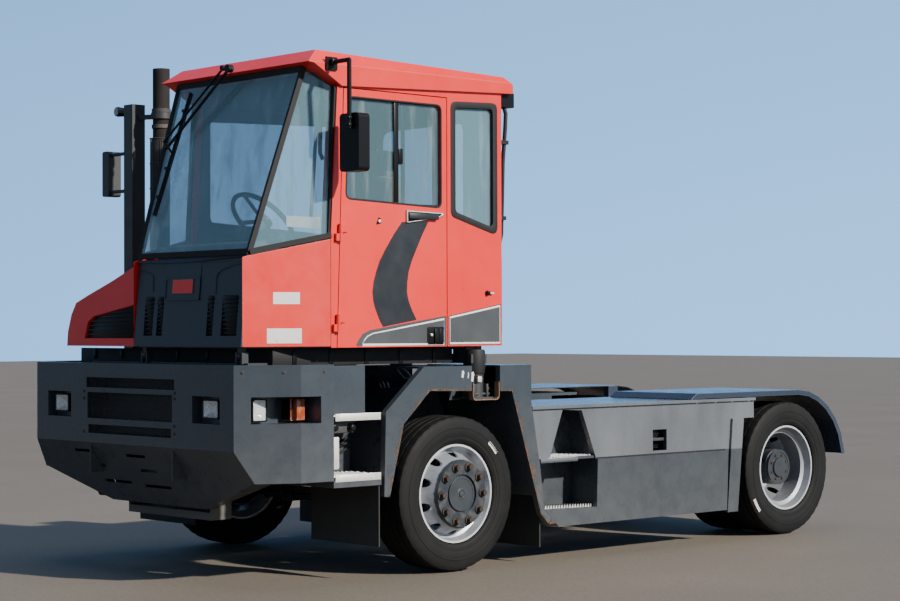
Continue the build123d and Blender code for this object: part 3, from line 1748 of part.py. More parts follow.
def cab_roof():
    """Wedge cap, thick at the front lip, with bevelled side edges."""
    side = outline(
        [
            (roof_front_y, 2985),
            (roof_front_y + 110, 3068),
            (front_axle_y + 410, 3024),
            (roof_edge_rear_y, 2975),
            (roof_edge_rear_y, roof_edge_rear_z),
            (roof_edge_front_y, roof_edge_front_z),
            (screen_head_y - 20, 2978),
        ]
    )
    cap = side_profile(side, roof_right_x, roof_left_x)
    section = outline(
        [
            (roof_right_x, 2800),
            (roof_right_x, 2985),
            (roof_right_x + 80, 3075),
            (roof_left_x - 80, 3075),
            (roof_left_x, 2985),
            (roof_left_x, 2800),
        ]
    )
    cap &= front_profile(section, roof_front_y - 10, roof_edge_rear_y + 10)
    return cap


nodes["cab_roof"] = cab_roof()


# Windscreen, corner glass and their frame

screen_plane = Plane(
    origin=(cab_centre_x, screen_foot_y, screen_foot_z),
    x_dir=(1, 0, 0),
    z_dir=Vector(0, -(screen_head_z - screen_foot_z), screen_head_y - screen_foot_y),
)
screen_slant = math.hypot(screen_head_y - screen_foot_y, screen_head_z - screen_foot_z)
post_inset = 14


def windscreen():
    face = outline(
        [
            (-screen_foot_half + post_inset, 8),
            (screen_foot_half - post_inset, 8),
            (screen_head_half - post_inset, screen_slant - 12),
            (-screen_head_half + post_inset, screen_slant - 12),
        ]
    )
    return extrude(screen_plane * face, amount=glass_thickness)


corner_foot_front = Vector(cab_centre_x + screen_foot_half, screen_foot_y, screen_foot_z)
corner_foot_rear = Vector(cab_left_x - 12, pillar_y, pillar_foot_z)
corner_head_front = Vector(cab_centre_x + screen_head_half, screen_head_y, screen_head_z)
corner_head_rear = Vector(cab_left_x - 12, roof_edge_front_y - 12, roof_edge_front_z)


def corner_glass():
    """Flat pane between the windscreen's edge and the door post."""
    x_dir = corner_foot_rear - corner_foot_front
    up = corner_head_front - corner_foot_front
    plane = Plane(origin=corner_foot_front, x_dir=x_dir, z_dir=x_dir.cross(up))
    corners = (corner_foot_front, corner_foot_rear, corner_head_rear, corner_head_front)
    flat = [plane.to_local_coords(point) for point in corners]
    face = outline([(point.X, point.Y) for point in flat])
    face = offset(face, -12, kind=Kind.INTERSECTION)
    return extrude(plane * face, amount=-glass_thickness)


corner_left = corner_glass()
corner_right = about_cab_centre(corner_left)
screen = windscreen()


def screen_frame():
    """Slim bars around the windscreen and the corner panes."""
    width = 34
    depth = 30
    post_width = 26
    bars = square_bar(corner_foot_front, corner_head_front, post_width, depth)
    bars += square_bar(corner_foot_front, corner_foot_rear, width, depth)
    bars += square_bar(
        corner_foot_rear + Vector(-14, -6, 0), corner_head_rear + Vector(-14, -6, 0), width, depth
    )
    frame = bars + about_cab_centre(bars)
    foot_left = Vector(corner_foot_front)
    foot_right = Vector(2 * cab_centre_x - foot_left.X, foot_left.Y, foot_left.Z)
    frame += square_bar(foot_right, foot_left, depth, width)
    head_left = corner_head_front - Vector(0, 4, 8)
    head_right = Vector(2 * cab_centre_x - head_left.X, head_left.Y, head_left.Z)
    frame += square_bar(head_right, head_left, depth, width)
    return frame


frame = screen_frame()
for other in ("cab_roof", "cab_left_wall", "cab_right_wall", "quarter_panels", "front_panel", "side_hood"):
    frame -= nodes[other]
frame -= screen
frame -= corner_left
frame -= corner_right
nodes["screen_frame"] = frame
for name in ("cab_roof", "cab_left_wall", "cab_right_wall"):
    corner_left -= nodes[name]
    corner_right -= nodes[name]
nodes["cab_glass"] = (
    screen
    + corner_left
    + corner_right
    + pane(rear_side_window, cab_left_x - cab_wall / 2)
    + pane(right_window, cab_right_x + cab_wall / 2)
    + rear_pane
)


# Inside the cab


def dashboard():
    """Dash with its top shelf, and the steering column."""
    section = outline(
        [
            (screen_foot_y + 20, cab_floor_high + seat_gap),
            (screen_foot_y + 20, 1850),
            (screen_foot_y + 60, 1890),
            (screen_foot_y + 75, 1960),
            (screen_foot_y + 330, 1990),
            (screen_foot_y + 400, 1930),
            (screen_foot_y + 380, 1800),
            (screen_foot_y + 200, 1650),
            (screen_foot_y + 180, cab_floor_high + seat_gap),
        ]
    )
    dash = side_profile(section, 40, 940)
    column = tube((wheel_x, screen_foot_y + 250, 1850), tuple(wheel_centre - wheel_axis * seat_gap), 32)
    return dash + column


wheel_x = 480
wheel_centre = Vector(wheel_x, screen_foot_y + 520, 2110)
wheel_axis = Vector(0, 0.72, 0.69).normalized()
steering_rim = 220
nodes["dashboard"] = dashboard()


def steering_wheel():
    """Rim, hub and three spokes."""
    plane = Plane(origin=wheel_centre, z_dir=wheel_axis)
    across = Plane(origin=wheel_centre, x_dir=plane.x_dir, z_dir=plane.y_dir)
    ring_section = across * Pos(steering_rim, 0) * RegularPolygon(15, 6)
    rim = revolve(ring_section, Axis(wheel_centre, wheel_axis), 360)
    hub = extrude(plane * Circle(55), amount=20)
    spokes = extrude(plane * Rectangle(2 * steering_rim, 26), amount=10)
    spokes += extrude(plane * Pos(0, -steering_rim / 2) * Rectangle(26, steering_rim), amount=10)
    return rim + hub + spokes


nodes["steering_wheel"] = steering_wheel()

seat_x = 480
seat_y = front_axle_y - 330


def driver_seat():
    """Pedestal, cushion and high back."""
    seat = block(
        (seat_x - 180, seat_x + 180), (seat_y - 180, seat_y + 180), (cab_floor_high + seat_gap, 1720)
    )
    cushion = block((seat_x - 245, seat_x + 245), (seat_y - 260, seat_y + 230), (1715, 1860))
    cushion = fillet(cushion.edges(), 40)
    back = outline(
        [
            (seat_y + 170, 1830),
            (seat_y + 290, 1830),
            (seat_y + 380, 2560),
            (seat_y + 290, 2600),
            (seat_y + 260, 2560),
        ],
    )
    back_solid = side_profile(back, seat_x - 235, seat_x + 235)
    back_solid = fillet(
        back_solid.edges().filter_by(Axis.Z, reverse=True).filter_by(Axis.X, reverse=True), 20
    )
    return seat + cushion + back_solid


nodes["driver_seat"] = driver_seat()


# Things on the cab's outside


def left_mirror():
    """Arm from the roof's corner and the tall mirror head."""
    top = (roof_left_x - 2, front_axle_y - 1000, 2990)
    arm = tube(top, (1385, front_axle_y - 1000, 2990), 13)
    arm += tube((1385, front_axle_y - 1000, 2995), (1385, front_axle_y - 1000, 2600), 13)
    arm += block(
        (roof_left_x + seat_gap, roof_left_x + 12), (front_axle_y - 1040, front_axle_y - 960), (2945, 3020)
    )
    head = block(
        (mirror_outer_x - 170, mirror_outer_x), (front_axle_y - 985, front_axle_y - 905), (2360, 2690)
    )
    head = fillet(head.edges().filter_by(Axis.Y), 25)
    arm += block((1370, 1400), (front_axle_y - 1000, front_axle_y - 970), (2600, 2640))
    shape = arm + head
    shape -= nodes["cab_roof"]
    return shape


nodes["left_mirror"] = left_mirror()


def wiper():
    """Two parallel arms from the roof's edge and the blade along the glass."""
    pivot = Vector(490, roof_front_y - 16, 3010)
    elbow = Vector(0, front_axle_y - 1286, 2560)
    arms = tube(pivot, elbow, 9)
    arms += tube(pivot + Vector(-60, 0, 8), elbow + Vector(-20, 0, 45), 7)
    arms += tube(pivot + Vector(0, 15.7, 0), pivot + Vector(0, -18, 0), 24)
    arms += tube(pivot + Vector(-60, 15.7, 8), pivot + Vector(-60, -14, 8), 16)
    blade = tube((100, front_axle_y - 1176, 2900), (40, front_axle_y - 1404, 2150), 10)
    arms += tube(elbow + Vector(0, 0, 30), (72, front_axle_y - 1290, 2525), 8)
    arms += tube(elbow + Vector(-24, 0, 48), elbow + Vector(4, 0, 10), 9)
    return arms + blade


nodes["wiper"] = wiper()

rear_vent = block(
    (960, 1150), (cab_rear_y + seat_gap, cab_rear_y + 50), (1430, 1910)
)
work_lamp = block((1060, 1180), (roof_edge_rear_y - 60, roof_edge_rear_y + 45), (2840, 2930))
work_lamp -= nodes["cab_roof"]
nodes["rear_fittings"] = rear_vent + work_lamp

for name, shape in nodes.items():
    export_step(shape, f"parts/{name}.step")
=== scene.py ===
"""Dresses the terminal tractor's solids with paint, glass, rubber, lamps, mesh, treads and years of yard wear."""

import json
import logging
import math
from collections.abc import Sequence
from dataclasses import dataclass
from enum import Enum

import bmesh
import bpy
from mathutils import Matrix, Vector

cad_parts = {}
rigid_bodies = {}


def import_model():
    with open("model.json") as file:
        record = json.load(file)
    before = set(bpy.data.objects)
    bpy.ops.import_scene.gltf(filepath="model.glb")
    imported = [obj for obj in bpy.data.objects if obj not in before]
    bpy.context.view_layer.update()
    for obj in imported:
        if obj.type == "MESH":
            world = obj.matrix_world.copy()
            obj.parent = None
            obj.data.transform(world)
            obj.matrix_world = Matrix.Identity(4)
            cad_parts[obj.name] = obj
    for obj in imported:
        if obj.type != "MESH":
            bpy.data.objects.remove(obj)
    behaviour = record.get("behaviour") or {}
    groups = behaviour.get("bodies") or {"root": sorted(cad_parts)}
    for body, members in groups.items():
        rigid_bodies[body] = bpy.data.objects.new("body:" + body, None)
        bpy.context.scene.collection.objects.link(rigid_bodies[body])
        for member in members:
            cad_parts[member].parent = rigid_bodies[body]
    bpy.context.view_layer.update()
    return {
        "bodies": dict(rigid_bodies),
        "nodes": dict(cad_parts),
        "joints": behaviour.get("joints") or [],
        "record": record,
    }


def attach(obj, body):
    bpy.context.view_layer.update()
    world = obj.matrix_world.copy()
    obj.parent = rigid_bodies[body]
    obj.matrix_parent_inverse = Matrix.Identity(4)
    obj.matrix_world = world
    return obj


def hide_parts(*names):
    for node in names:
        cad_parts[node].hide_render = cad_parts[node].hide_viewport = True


logging.basicConfig(level=logging.INFO, format="%(message)s")
log = logging.getLogger("terminal_tractor")

Point = tuple[float, float, float]
Flat = tuple[float, float]
Colour = tuple[float, float, float]
Line = Sequence[Flat]

FRONT_AXLE_Y = -1.143
REAR_AXLE_Y = 2.057
AXLE_Z = 0.47
CAB_SIDE_X = 1.2
SMOOTH_ANGLE = math.radians(32)
SHARP_ANGLE = math.radians(28)
EDGE_SHARE = 0.45
CUBE_FACES = [(3, 2, 1, 0), (4, 5, 6, 7), (0, 1, 5, 4), (1, 2, 6, 5), (2, 3, 7, 6), (3, 0, 4, 7)]


class Side(Enum):
    """Sides of the vehicle, with the sign of X there."""

    LEFT = 1
    RIGHT = -1


class Axis(Enum):
    """Axes along which a flat outline is given its thickness."""

    X = 0
    Y = 1
    Z = 2


# Finishes


class NodeTree:
    """Adds and joins the nodes of one tree."""

    def __init__(self, tree: bpy.types.NodeTree) -> None:
        """Takes up a tree.

        Args:
            tree: The tree that gets the nodes.
        """
        self.tree = tree

    def feed(self, socket: bpy.types.NodeSocket, value: object) -> None:
        """Joins a source to an input, or sets the input's own value.

        Args:
            socket: The input.
            value: Another node's output, or a value.
        """
        if isinstance(value, bpy.types.NodeSocket):
            self.tree.links.new(value, socket)
        else:
            socket.default_value = value

    def node(self, kind: str, feeds: dict | None = None, **values: object) -> bpy.types.Node:
        """Adds a node.

        Args:
            kind: The node's type name.
            feeds: Sources or values of its inputs, by name or number.
            values: Values of its attributes.

        Returns:
            The new node.
        """
        made = self.tree.nodes.new(kind)
        for key, value in values.items():
            setattr(made, key, value)
        for key, value in (feeds or {}).items():
            self.feed(made.inputs[key], value)
        return made

    def span(
        self, source: object, low: float, high: float, to_low: float = 0,
        to_high: float = 1
    ) -> bpy.types.NodeSocket:
        """Maps a range of values onto another, and clamps it.

        Args:
            source: Value socket.
            low: Value that becomes to_low.
            high: Value that becomes to_high.
            to_low: First end of the result.
            to_high: Last end of the result.

        Returns:
            The mapped value's socket.
        """
        feeds = {"From Min": low, "From Max": high, "To Min": to_low, "To Max": to_high, "Value": source}
        return self.node("ShaderNodeMapRange", feeds).outputs["Result"]

    def reckon(self, operation: str, first: object, second: object = 0.0) -> bpy.types.NodeSocket:
        """Reckons with two values or sockets.

        Args:
            operation: The Math node's operation.
            first: Socket or number.
            second: Socket or number.

        Returns:
            The result's socket.
        """
        return self.node("ShaderNodeMath", {0: first, 1: second}, operation=operation).outputs["Value"]

    def blend(self, share: object, under: object, over: object, way: str = "MIX") -> bpy.types.NodeSocket:
        """Mixes two colours.

        Args:
            share: Socket or number, how much of the second colour shows.
            under: First colour or socket.
            over: Second colour or socket.
            way: How the second colour is laid on.

        Returns:
            The mixed colour's socket.
        """
        feeds = {0: share}
        for place, tone in ((6, under), (7, over)):
            feeds[place] = tone if isinstance(tone, bpy.types.NodeSocket) else (*tone, 1)
        return self.node("ShaderNodeMix", feeds, data_type="RGBA", blend_type=way).outputs[2]


class Paintbox(NodeTree):
    """The nodes of one material."""

    def __init__(self, name: str) -> None:
        """Starts an empty material with its shader and object coordinates.

        Args:
            name: The material's name.
        """
        self.material = bpy.data.materials.new(name)
        self.material.use_nodes = True
        super().__init__(self.material.node_tree)
        self.shader = self.tree.nodes["Principled BSDF"]
        self.place = self.node("ShaderNodeTexCoord").outputs["Object"]

    def stretched(self, scale: Point, centre: Point = (0, 0, 0)) -> bpy.types.NodeSocket:
        """Object coordinates, moved to a centre and scaled.

        Args:
            scale: Factor along each axis.
            centre: Point that becomes the origin.

        Returns:
            The vector socket.
        """
        feeds = {"Scale": scale, "Location": [-c * s for c, s in zip(centre, scale)], "Vector": self.place}
        return self.node("ShaderNodeMapping", feeds).outputs["Vector"]

    def noise(
        self, scale: float, detail: float = 4, rough: float = 0.55,
        stretch: Point = (1, 1, 1)
    ) -> bpy.types.NodeSocket:
        """Soft noise between 0 and 1.

        Args:
            scale: Noise cells per metre.
            detail: Octaves.
            rough: Weight of the finer octaves.
            stretch: Factor along each axis.

        Returns:
            The factor socket.
        """
        feeds = {"Scale": scale, "Detail": detail, "Roughness": rough, "Vector": self.stretched(stretch)}
        return self.node("ShaderNodeTexNoise", feeds).outputs["Fac"]

    def axis(self, which: Axis) -> bpy.types.NodeSocket:
        """One object coordinate."""
        return self.node("ShaderNodeSeparateXYZ", {0: self.place}).outputs[which.value]

    def shade(self, **feeds: object) -> None:
        """Feeds the shader's inputs; an underscore in a name stands for a space."""
        for key, value in feeds.items():
            self.feed(self.shader.inputs[key.replace("_", " ")], value)

    def relief(self, height: bpy.types.NodeSocket, strength: float, depth: float) -> None:
        """Joins a bump to the shader.

        Args:
            height: Height socket.
            strength: Share of the full effect.
            depth: Metres for a height of one.
        """
        bump = self.node("ShaderNodeBump", {"Strength": strength, "Distance": depth, "Height": height})
        self.shade(Normal=bump.outputs["Normal"])


@dataclass(frozen=True)
class WornPaint:
    """Paint that has faded, scuffed, chipped and gathered dust, and may carry a painted sheen: a lighter blue-grey tone
    above a height on the outer skin, standing in for reflected sky.
    """

    name: str
    colour: Colour
    faded: Colour
    roughness: float = 0.4
    dust: Colour = (0.2, 0.18, 0.155)
    dust_top: float = 1.1
    dust_share: float = 0.45
    chip: Colour = (0.16, 0.075, 0.035)
    chip_share: float = 0.0
    streak_share: float = 0.25
    grain: float = 0.0006
    # Lower height and tone of the painted sheen; the default height keeps it off.
    painted_sheen_above: float = 9.0
    painted_sheen_tone: Colour = (0.14, 0.15, 0.165)
    skin_x: float = 1.222

    def make(self) -> bpy.types.Material:
        """Builds the material."""
        box = Paintbox(self.name)
        patches = box.span(box.noise(1.1, 3), 0.3, 0.75)
        colour = box.blend(patches, self.colour, self.faded)
        # Painted sheen: above a height, on the outer skin only, the colour is lightened towards a pale blue-grey that
        # stands in for sky reflected off the upper face.
        sun = box.span(box.axis(Axis.Z), self.painted_sheen_above, self.painted_sheen_above + 0.01)
        aside = box.reckon("ABSOLUTE", box.axis(Axis.X))
        sun = box.reckon("MULTIPLY", sun, box.span(aside, self.skin_x - 0.002, self.skin_x))
        sun = box.reckon("MULTIPLY", sun, box.span(box.noise(2.2, 4, 0.5, (1, 1, 0.5)), 0.25, 0.75, 0.35, 1.0))
        colour = box.blend(sun, colour, self.painted_sheen_tone)
        streaks = box.span(box.noise(5.0, 6, 0.6, (1, 1, 0.12)), 0.5, 0.85, 0, self.streak_share)
        colour = box.blend(streaks, colour, tuple(c * 0.55 for c in self.colour))
        cloud = box.noise(9.0, 8, 0.65)
        height = box.span(box.axis(Axis.Z), 0.15, self.dust_top, 1, 0)
        dust = box.reckon("MULTIPLY", box.span(cloud, 0.1, 0.85), height)
        dust = box.reckon("MULTIPLY", dust, self.dust_share * 1.6)
        colour = box.blend(dust, colour, self.dust)
        spots = box.span(box.noise(38, 6, 0.7), 0.66 - 0.12 * self.chip_share, 0.7 - 0.12 * self.chip_share)
        zones = box.span(box.noise(2.6, 3), 0.42, 0.62)
        chips = box.reckon("MULTIPLY", box.reckon("MULTIPLY", spots, zones), min(1.0, self.chip_share * 2))
        colour = box.blend(chips, colour, self.chip)
        box.shade(Base_Color=colour)
        rough = box.span(cloud, 0.3, 0.7, self.roughness - 0.06, self.roughness + 0.1)
        box.shade(Roughness=box.reckon("ADD", rough, box.reckon("MULTIPLY", dust, 0.35)))
        skin = box.reckon("SUBTRACT", box.noise(260, 2), box.reckon("MULTIPLY", chips, 0.8))
        box.relief(skin, 0.35, self.grain)
        box.shade(Metallic=0.0)
        return box.material


@dataclass(frozen=True)
class RustedEdge:
    """Edge where paint has rubbed through to rust and bare steel."""

    name: str
    paint: Colour
    rust: Colour = (0.24, 0.1, 0.04)
    bare: Colour = (0.34, 0.33, 0.32)
    rust_share: float = 0.5

    def make(self) -> bpy.types.Material:
        """Builds the material."""
        box = Paintbox(self.name)
        rubbed = box.span(box.noise(14, 6, 0.7), 0.62 - 0.2 * self.rust_share, 0.72 - 0.2 * self.rust_share)
        colour = box.blend(rubbed, self.paint, self.rust)
        bright = box.span(box.noise(55, 4), 0.62, 0.7)
        colour = box.blend(box.reckon("MULTIPLY", bright, 0.6), colour, self.bare)
        box.shade(Base_Color=colour)
        box.shade(Roughness=box.span(rubbed, 0, 1, 0.42, 0.8))
        box.relief(box.noise(180, 4), 0.5, 0.0008)
        return box.material


@dataclass(frozen=True)
class Bloom:
    """Rust that has crept out over the paint in broken patches."""

    name: str
    cover: float

    def make(self) -> bpy.types.Material:
        """Builds the material."""
        box = Paintbox(self.name)
        tone = box.noise(30, 5)
        box.shade(Base_Color=box.blend(box.span(tone, 0.35, 0.65), (0.12, 0.062, 0.034), (0.055, 0.036, 0.027)))
        low = 0.62 - 0.36 * self.cover
        box.shade(Alpha=box.span(box.noise(22, 7, 0.7, (1, 1, 0.6)), low, low + 0.1, 0, 0.9))
        box.shade(Roughness=0.8)
        return box.material


@dataclass(frozen=True)
class Metal:
    """Cast, rolled or polished metal with stains."""

    name: str
    colour: Colour
    stain: Colour
    roughness: float
    metallic: float
    stain_share: float = 0.5
    scale: float = 7.0
    depth: float = 0.0008

    def make(self) -> bpy.types.Material:
        """Builds the material."""
        box = Paintbox(self.name)
        clouds = box.noise(self.scale, 7, 0.65)
        stains = box.span(clouds, 0.62 - 0.25 * self.stain_share, 0.78 - 0.15 * self.stain_share)
        box.shade(Base_Color=box.blend(stains, self.colour, self.stain))
        box.shade(Roughness=box.span(clouds, 0.3, 0.7, self.roughness, min(1, self.roughness + 0.25)))
        box.shade(Metallic=box.span(stains, 0, 1, self.metallic, self.metallic * 0.35))
        box.relief(box.noise(self.scale * 22, 4), 0.4, self.depth)
        return box.material


@dataclass(frozen=True)
class Rubber:
    """Tyre, seal or flap rubber with dust in its hollows."""

    name: str
    colour: Colour = (0.022, 0.022, 0.024)
    dust: Colour = (0.11, 0.1, 0.09)
    dust_share: float = 0.35
    roughness: float = 0.72
    shine: float = 0.5

    def make(self) -> bpy.types.Material:
        """Builds the material."""
        box = Paintbox(self.name)
        clouds = box.span(box.noise(4.5, 8, 0.7), 0.35, 0.75, 0, self.dust_share)
        fine = box.span(box.noise(70, 3), 0.45, 0.75, 0, self.dust_share * 0.6)
        colour = box.blend(box.reckon("MAXIMUM", clouds, fine), self.colour, self.dust)
        box.shade(Base_Color=colour)
        box.shade(Roughness=box.span(clouds, 0, 1, self.roughness, 0.95))
        box.relief(box.noise(320, 3), 0.4, 0.0005)
        box.shade(Specular_IOR_Level=self.shine)
        return box.material


@dataclass(frozen=True)
class Moulding:
    """Grained plastic."""

    name: str
    colour: Colour
    roughness: float = 0.5
    worn: float = 0.2
    shine: float = 0.5

    def make(self) -> bpy.types.Material:
        """Builds the material."""
        box = Paintbox(self.name)
        pale = box.span(box.noise(3.5, 6, 0.6), 0.4, 0.8, 0, self.worn)
        box.shade(Base_Color=box.blend(pale, self.colour, tuple(c * 1.9 + 0.03 for c in self.colour)))
        box.shade(Roughness=box.span(pale, 0, 1, self.roughness, 0.9))
        cells = box.node("ShaderNodeTexVoronoi", {"Scale": 420, "Vector": box.place})
        box.relief(cells.outputs["Distance"], 0.3, 0.0005)
        box.shade(Specular_IOR_Level=self.shine)
        return box.material


@dataclass(frozen=True)
class Glazing:
    """Window glass, see-through, with dried water marks; its cover colour is partly a real tint and partly painted sky
    reflection.
    """

    name: str
    tint_and_reflection: Colour = (0.2, 0.36, 0.43)
    cover: float = 0.24
    dirt: float = 0.25

    def make(self) -> bpy.types.Material:
        """Builds the material."""
        box = Paintbox(self.name)
        runs = box.span(box.noise(11, 7, 0.65, (1, 1, 0.16)), 0.52, 0.78, 0, self.dirt)
        # The cover colour is partly the glass's tint and partly painted sky reflection, bluer and brighter than the
        # tint alone.
        box.shade(Base_Color=box.blend(runs, self.tint_and_reflection, (0.42, 0.43, 0.4)))
        slant = box.node("ShaderNodeLayerWeight", {"Blend": 0.35})
        shine = box.reckon("MULTIPLY", slant.outputs["Facing"], 0.36)
        cover = box.reckon("ADD", box.reckon("ADD", runs, self.cover), shine)
        box.shade(Alpha=box.reckon("MINIMUM", cover, 0.92))
        box.shade(Roughness=box.span(runs, 0, 1, 0.04, 0.7))
        box.shade(Specular_IOR_Level=0.9, Coat_Weight=1.0, Coat_Roughness=0.03)
        return box.material


@dataclass(frozen=True)
class Lens:
    """Lamp lens, fluted and slightly milky."""

    name: str
    colour: Colour
    cover: float = 0.55
    flutes: float = 90.0

    def make(self) -> bpy.types.Material:
        """Builds the material."""
        box = Paintbox(self.name)
        dust = box.span(box.noise(24, 5), 0.4, 0.8, 0, 0.3)
        box.shade(Base_Color=box.blend(dust, self.colour, (0.5, 0.48, 0.44)))
        box.shade(Roughness=box.span(dust, 0, 1, 0.12, 0.6))
        wave = box.node("ShaderNodeTexWave", {"Scale": self.flutes, "Vector": box.place})
        box.relief(wave.outputs["Fac"], 0.35, 0.001)
        box.shade(Alpha=self.cover, Coat_Weight=1.0, Coat_Roughness=0.05)
        return box.material


@dataclass(frozen=True)
class Cloth:
    """Woven seat cover."""

    name: str
    colour: Colour
    second: Colour

    def make(self) -> bpy.types.Material:
        """Builds the material."""
        box = Paintbox(self.name)
        feeds = {"Scale": 160, "Vector": box.place}
        threads = [box.node("ShaderNodeTexWave", feeds, bands_direction=way).outputs["Fac"] for way in "XY"]
        weave = box.reckon("MULTIPLY", *threads)
        worn = box.span(box.noise(6, 5), 0.3, 0.75)
        box.shade(Base_Color=box.blend(worn, self.colour, self.second))
        box.shade(Roughness=box.span(weave, 0, 1, 0.95, 0.8))
        box.relief(weave, 0.5, 0.0008)
        box.shade(Sheen_Weight=0.35, Sheen_Roughness=0.5)
        return box.material


@dataclass(frozen=True)
class WheelPaint:
    """Silver wheel paint with a dark centre, a rusty edge round the hub, and a painted highlight on the rim's lip."""

    name: str
    axle_y: float
    dark_radius: float
    silver: Colour = (0.36, 0.375, 0.4)
    dark: Colour = (0.02, 0.026, 0.034)
    lip_highlight_radius: float = 0.284
    dirt: Colour = (0.1, 0.085, 0.07)

    def make(self) -> bpy.types.Material:
        """Builds the material."""
        box = Paintbox(self.name)
        spoke = box.stretched((0, 1, 1), (0, self.axle_y, AXLE_Z))
        out = box.node("ShaderNodeVectorMath", {0: spoke}, operation="LENGTH").outputs["Value"]
        clouds = box.noise(16, 7, 0.65)
        ragged = box.reckon("ADD", out, box.span(clouds, 0.3, 0.7, -0.003, 0.003))
        inner = box.span(ragged, self.dark_radius, self.dark_radius + 0.004, 1, 0)
        colour = box.blend(inner, self.silver, self.dark)
        # Painted highlight: a pale ring on the rim's lip stands in for the light that the rounded lip catches.
        colour = box.blend(box.span(out, self.lip_highlight_radius, self.lip_highlight_radius + 0.004, 0, 0.8), colour, (0.72, 0.73, 0.74))
        grime = box.span(clouds, 0.48, 0.75, 0, 0.75)
        colour = box.blend(box.reckon("MULTIPLY", grime, box.span(out, 0.2, 0.27, 0.9, 0.35)), colour, self.dirt)
        box.shade(Base_Color=colour)
        box.shade(Metallic=box.span(inner, 0, 1, 0.55, 0.1))
        box.shade(Roughness=box.span(clouds, 0.3, 0.7, 0.3, 0.55))
        box.relief(box.noise(150, 4), 0.3, 0.0006)
        return box.material


ANTHRACITE = (0.028, 0.035, 0.044)
CAB_RED = (0.66, 0.013, 0.009)


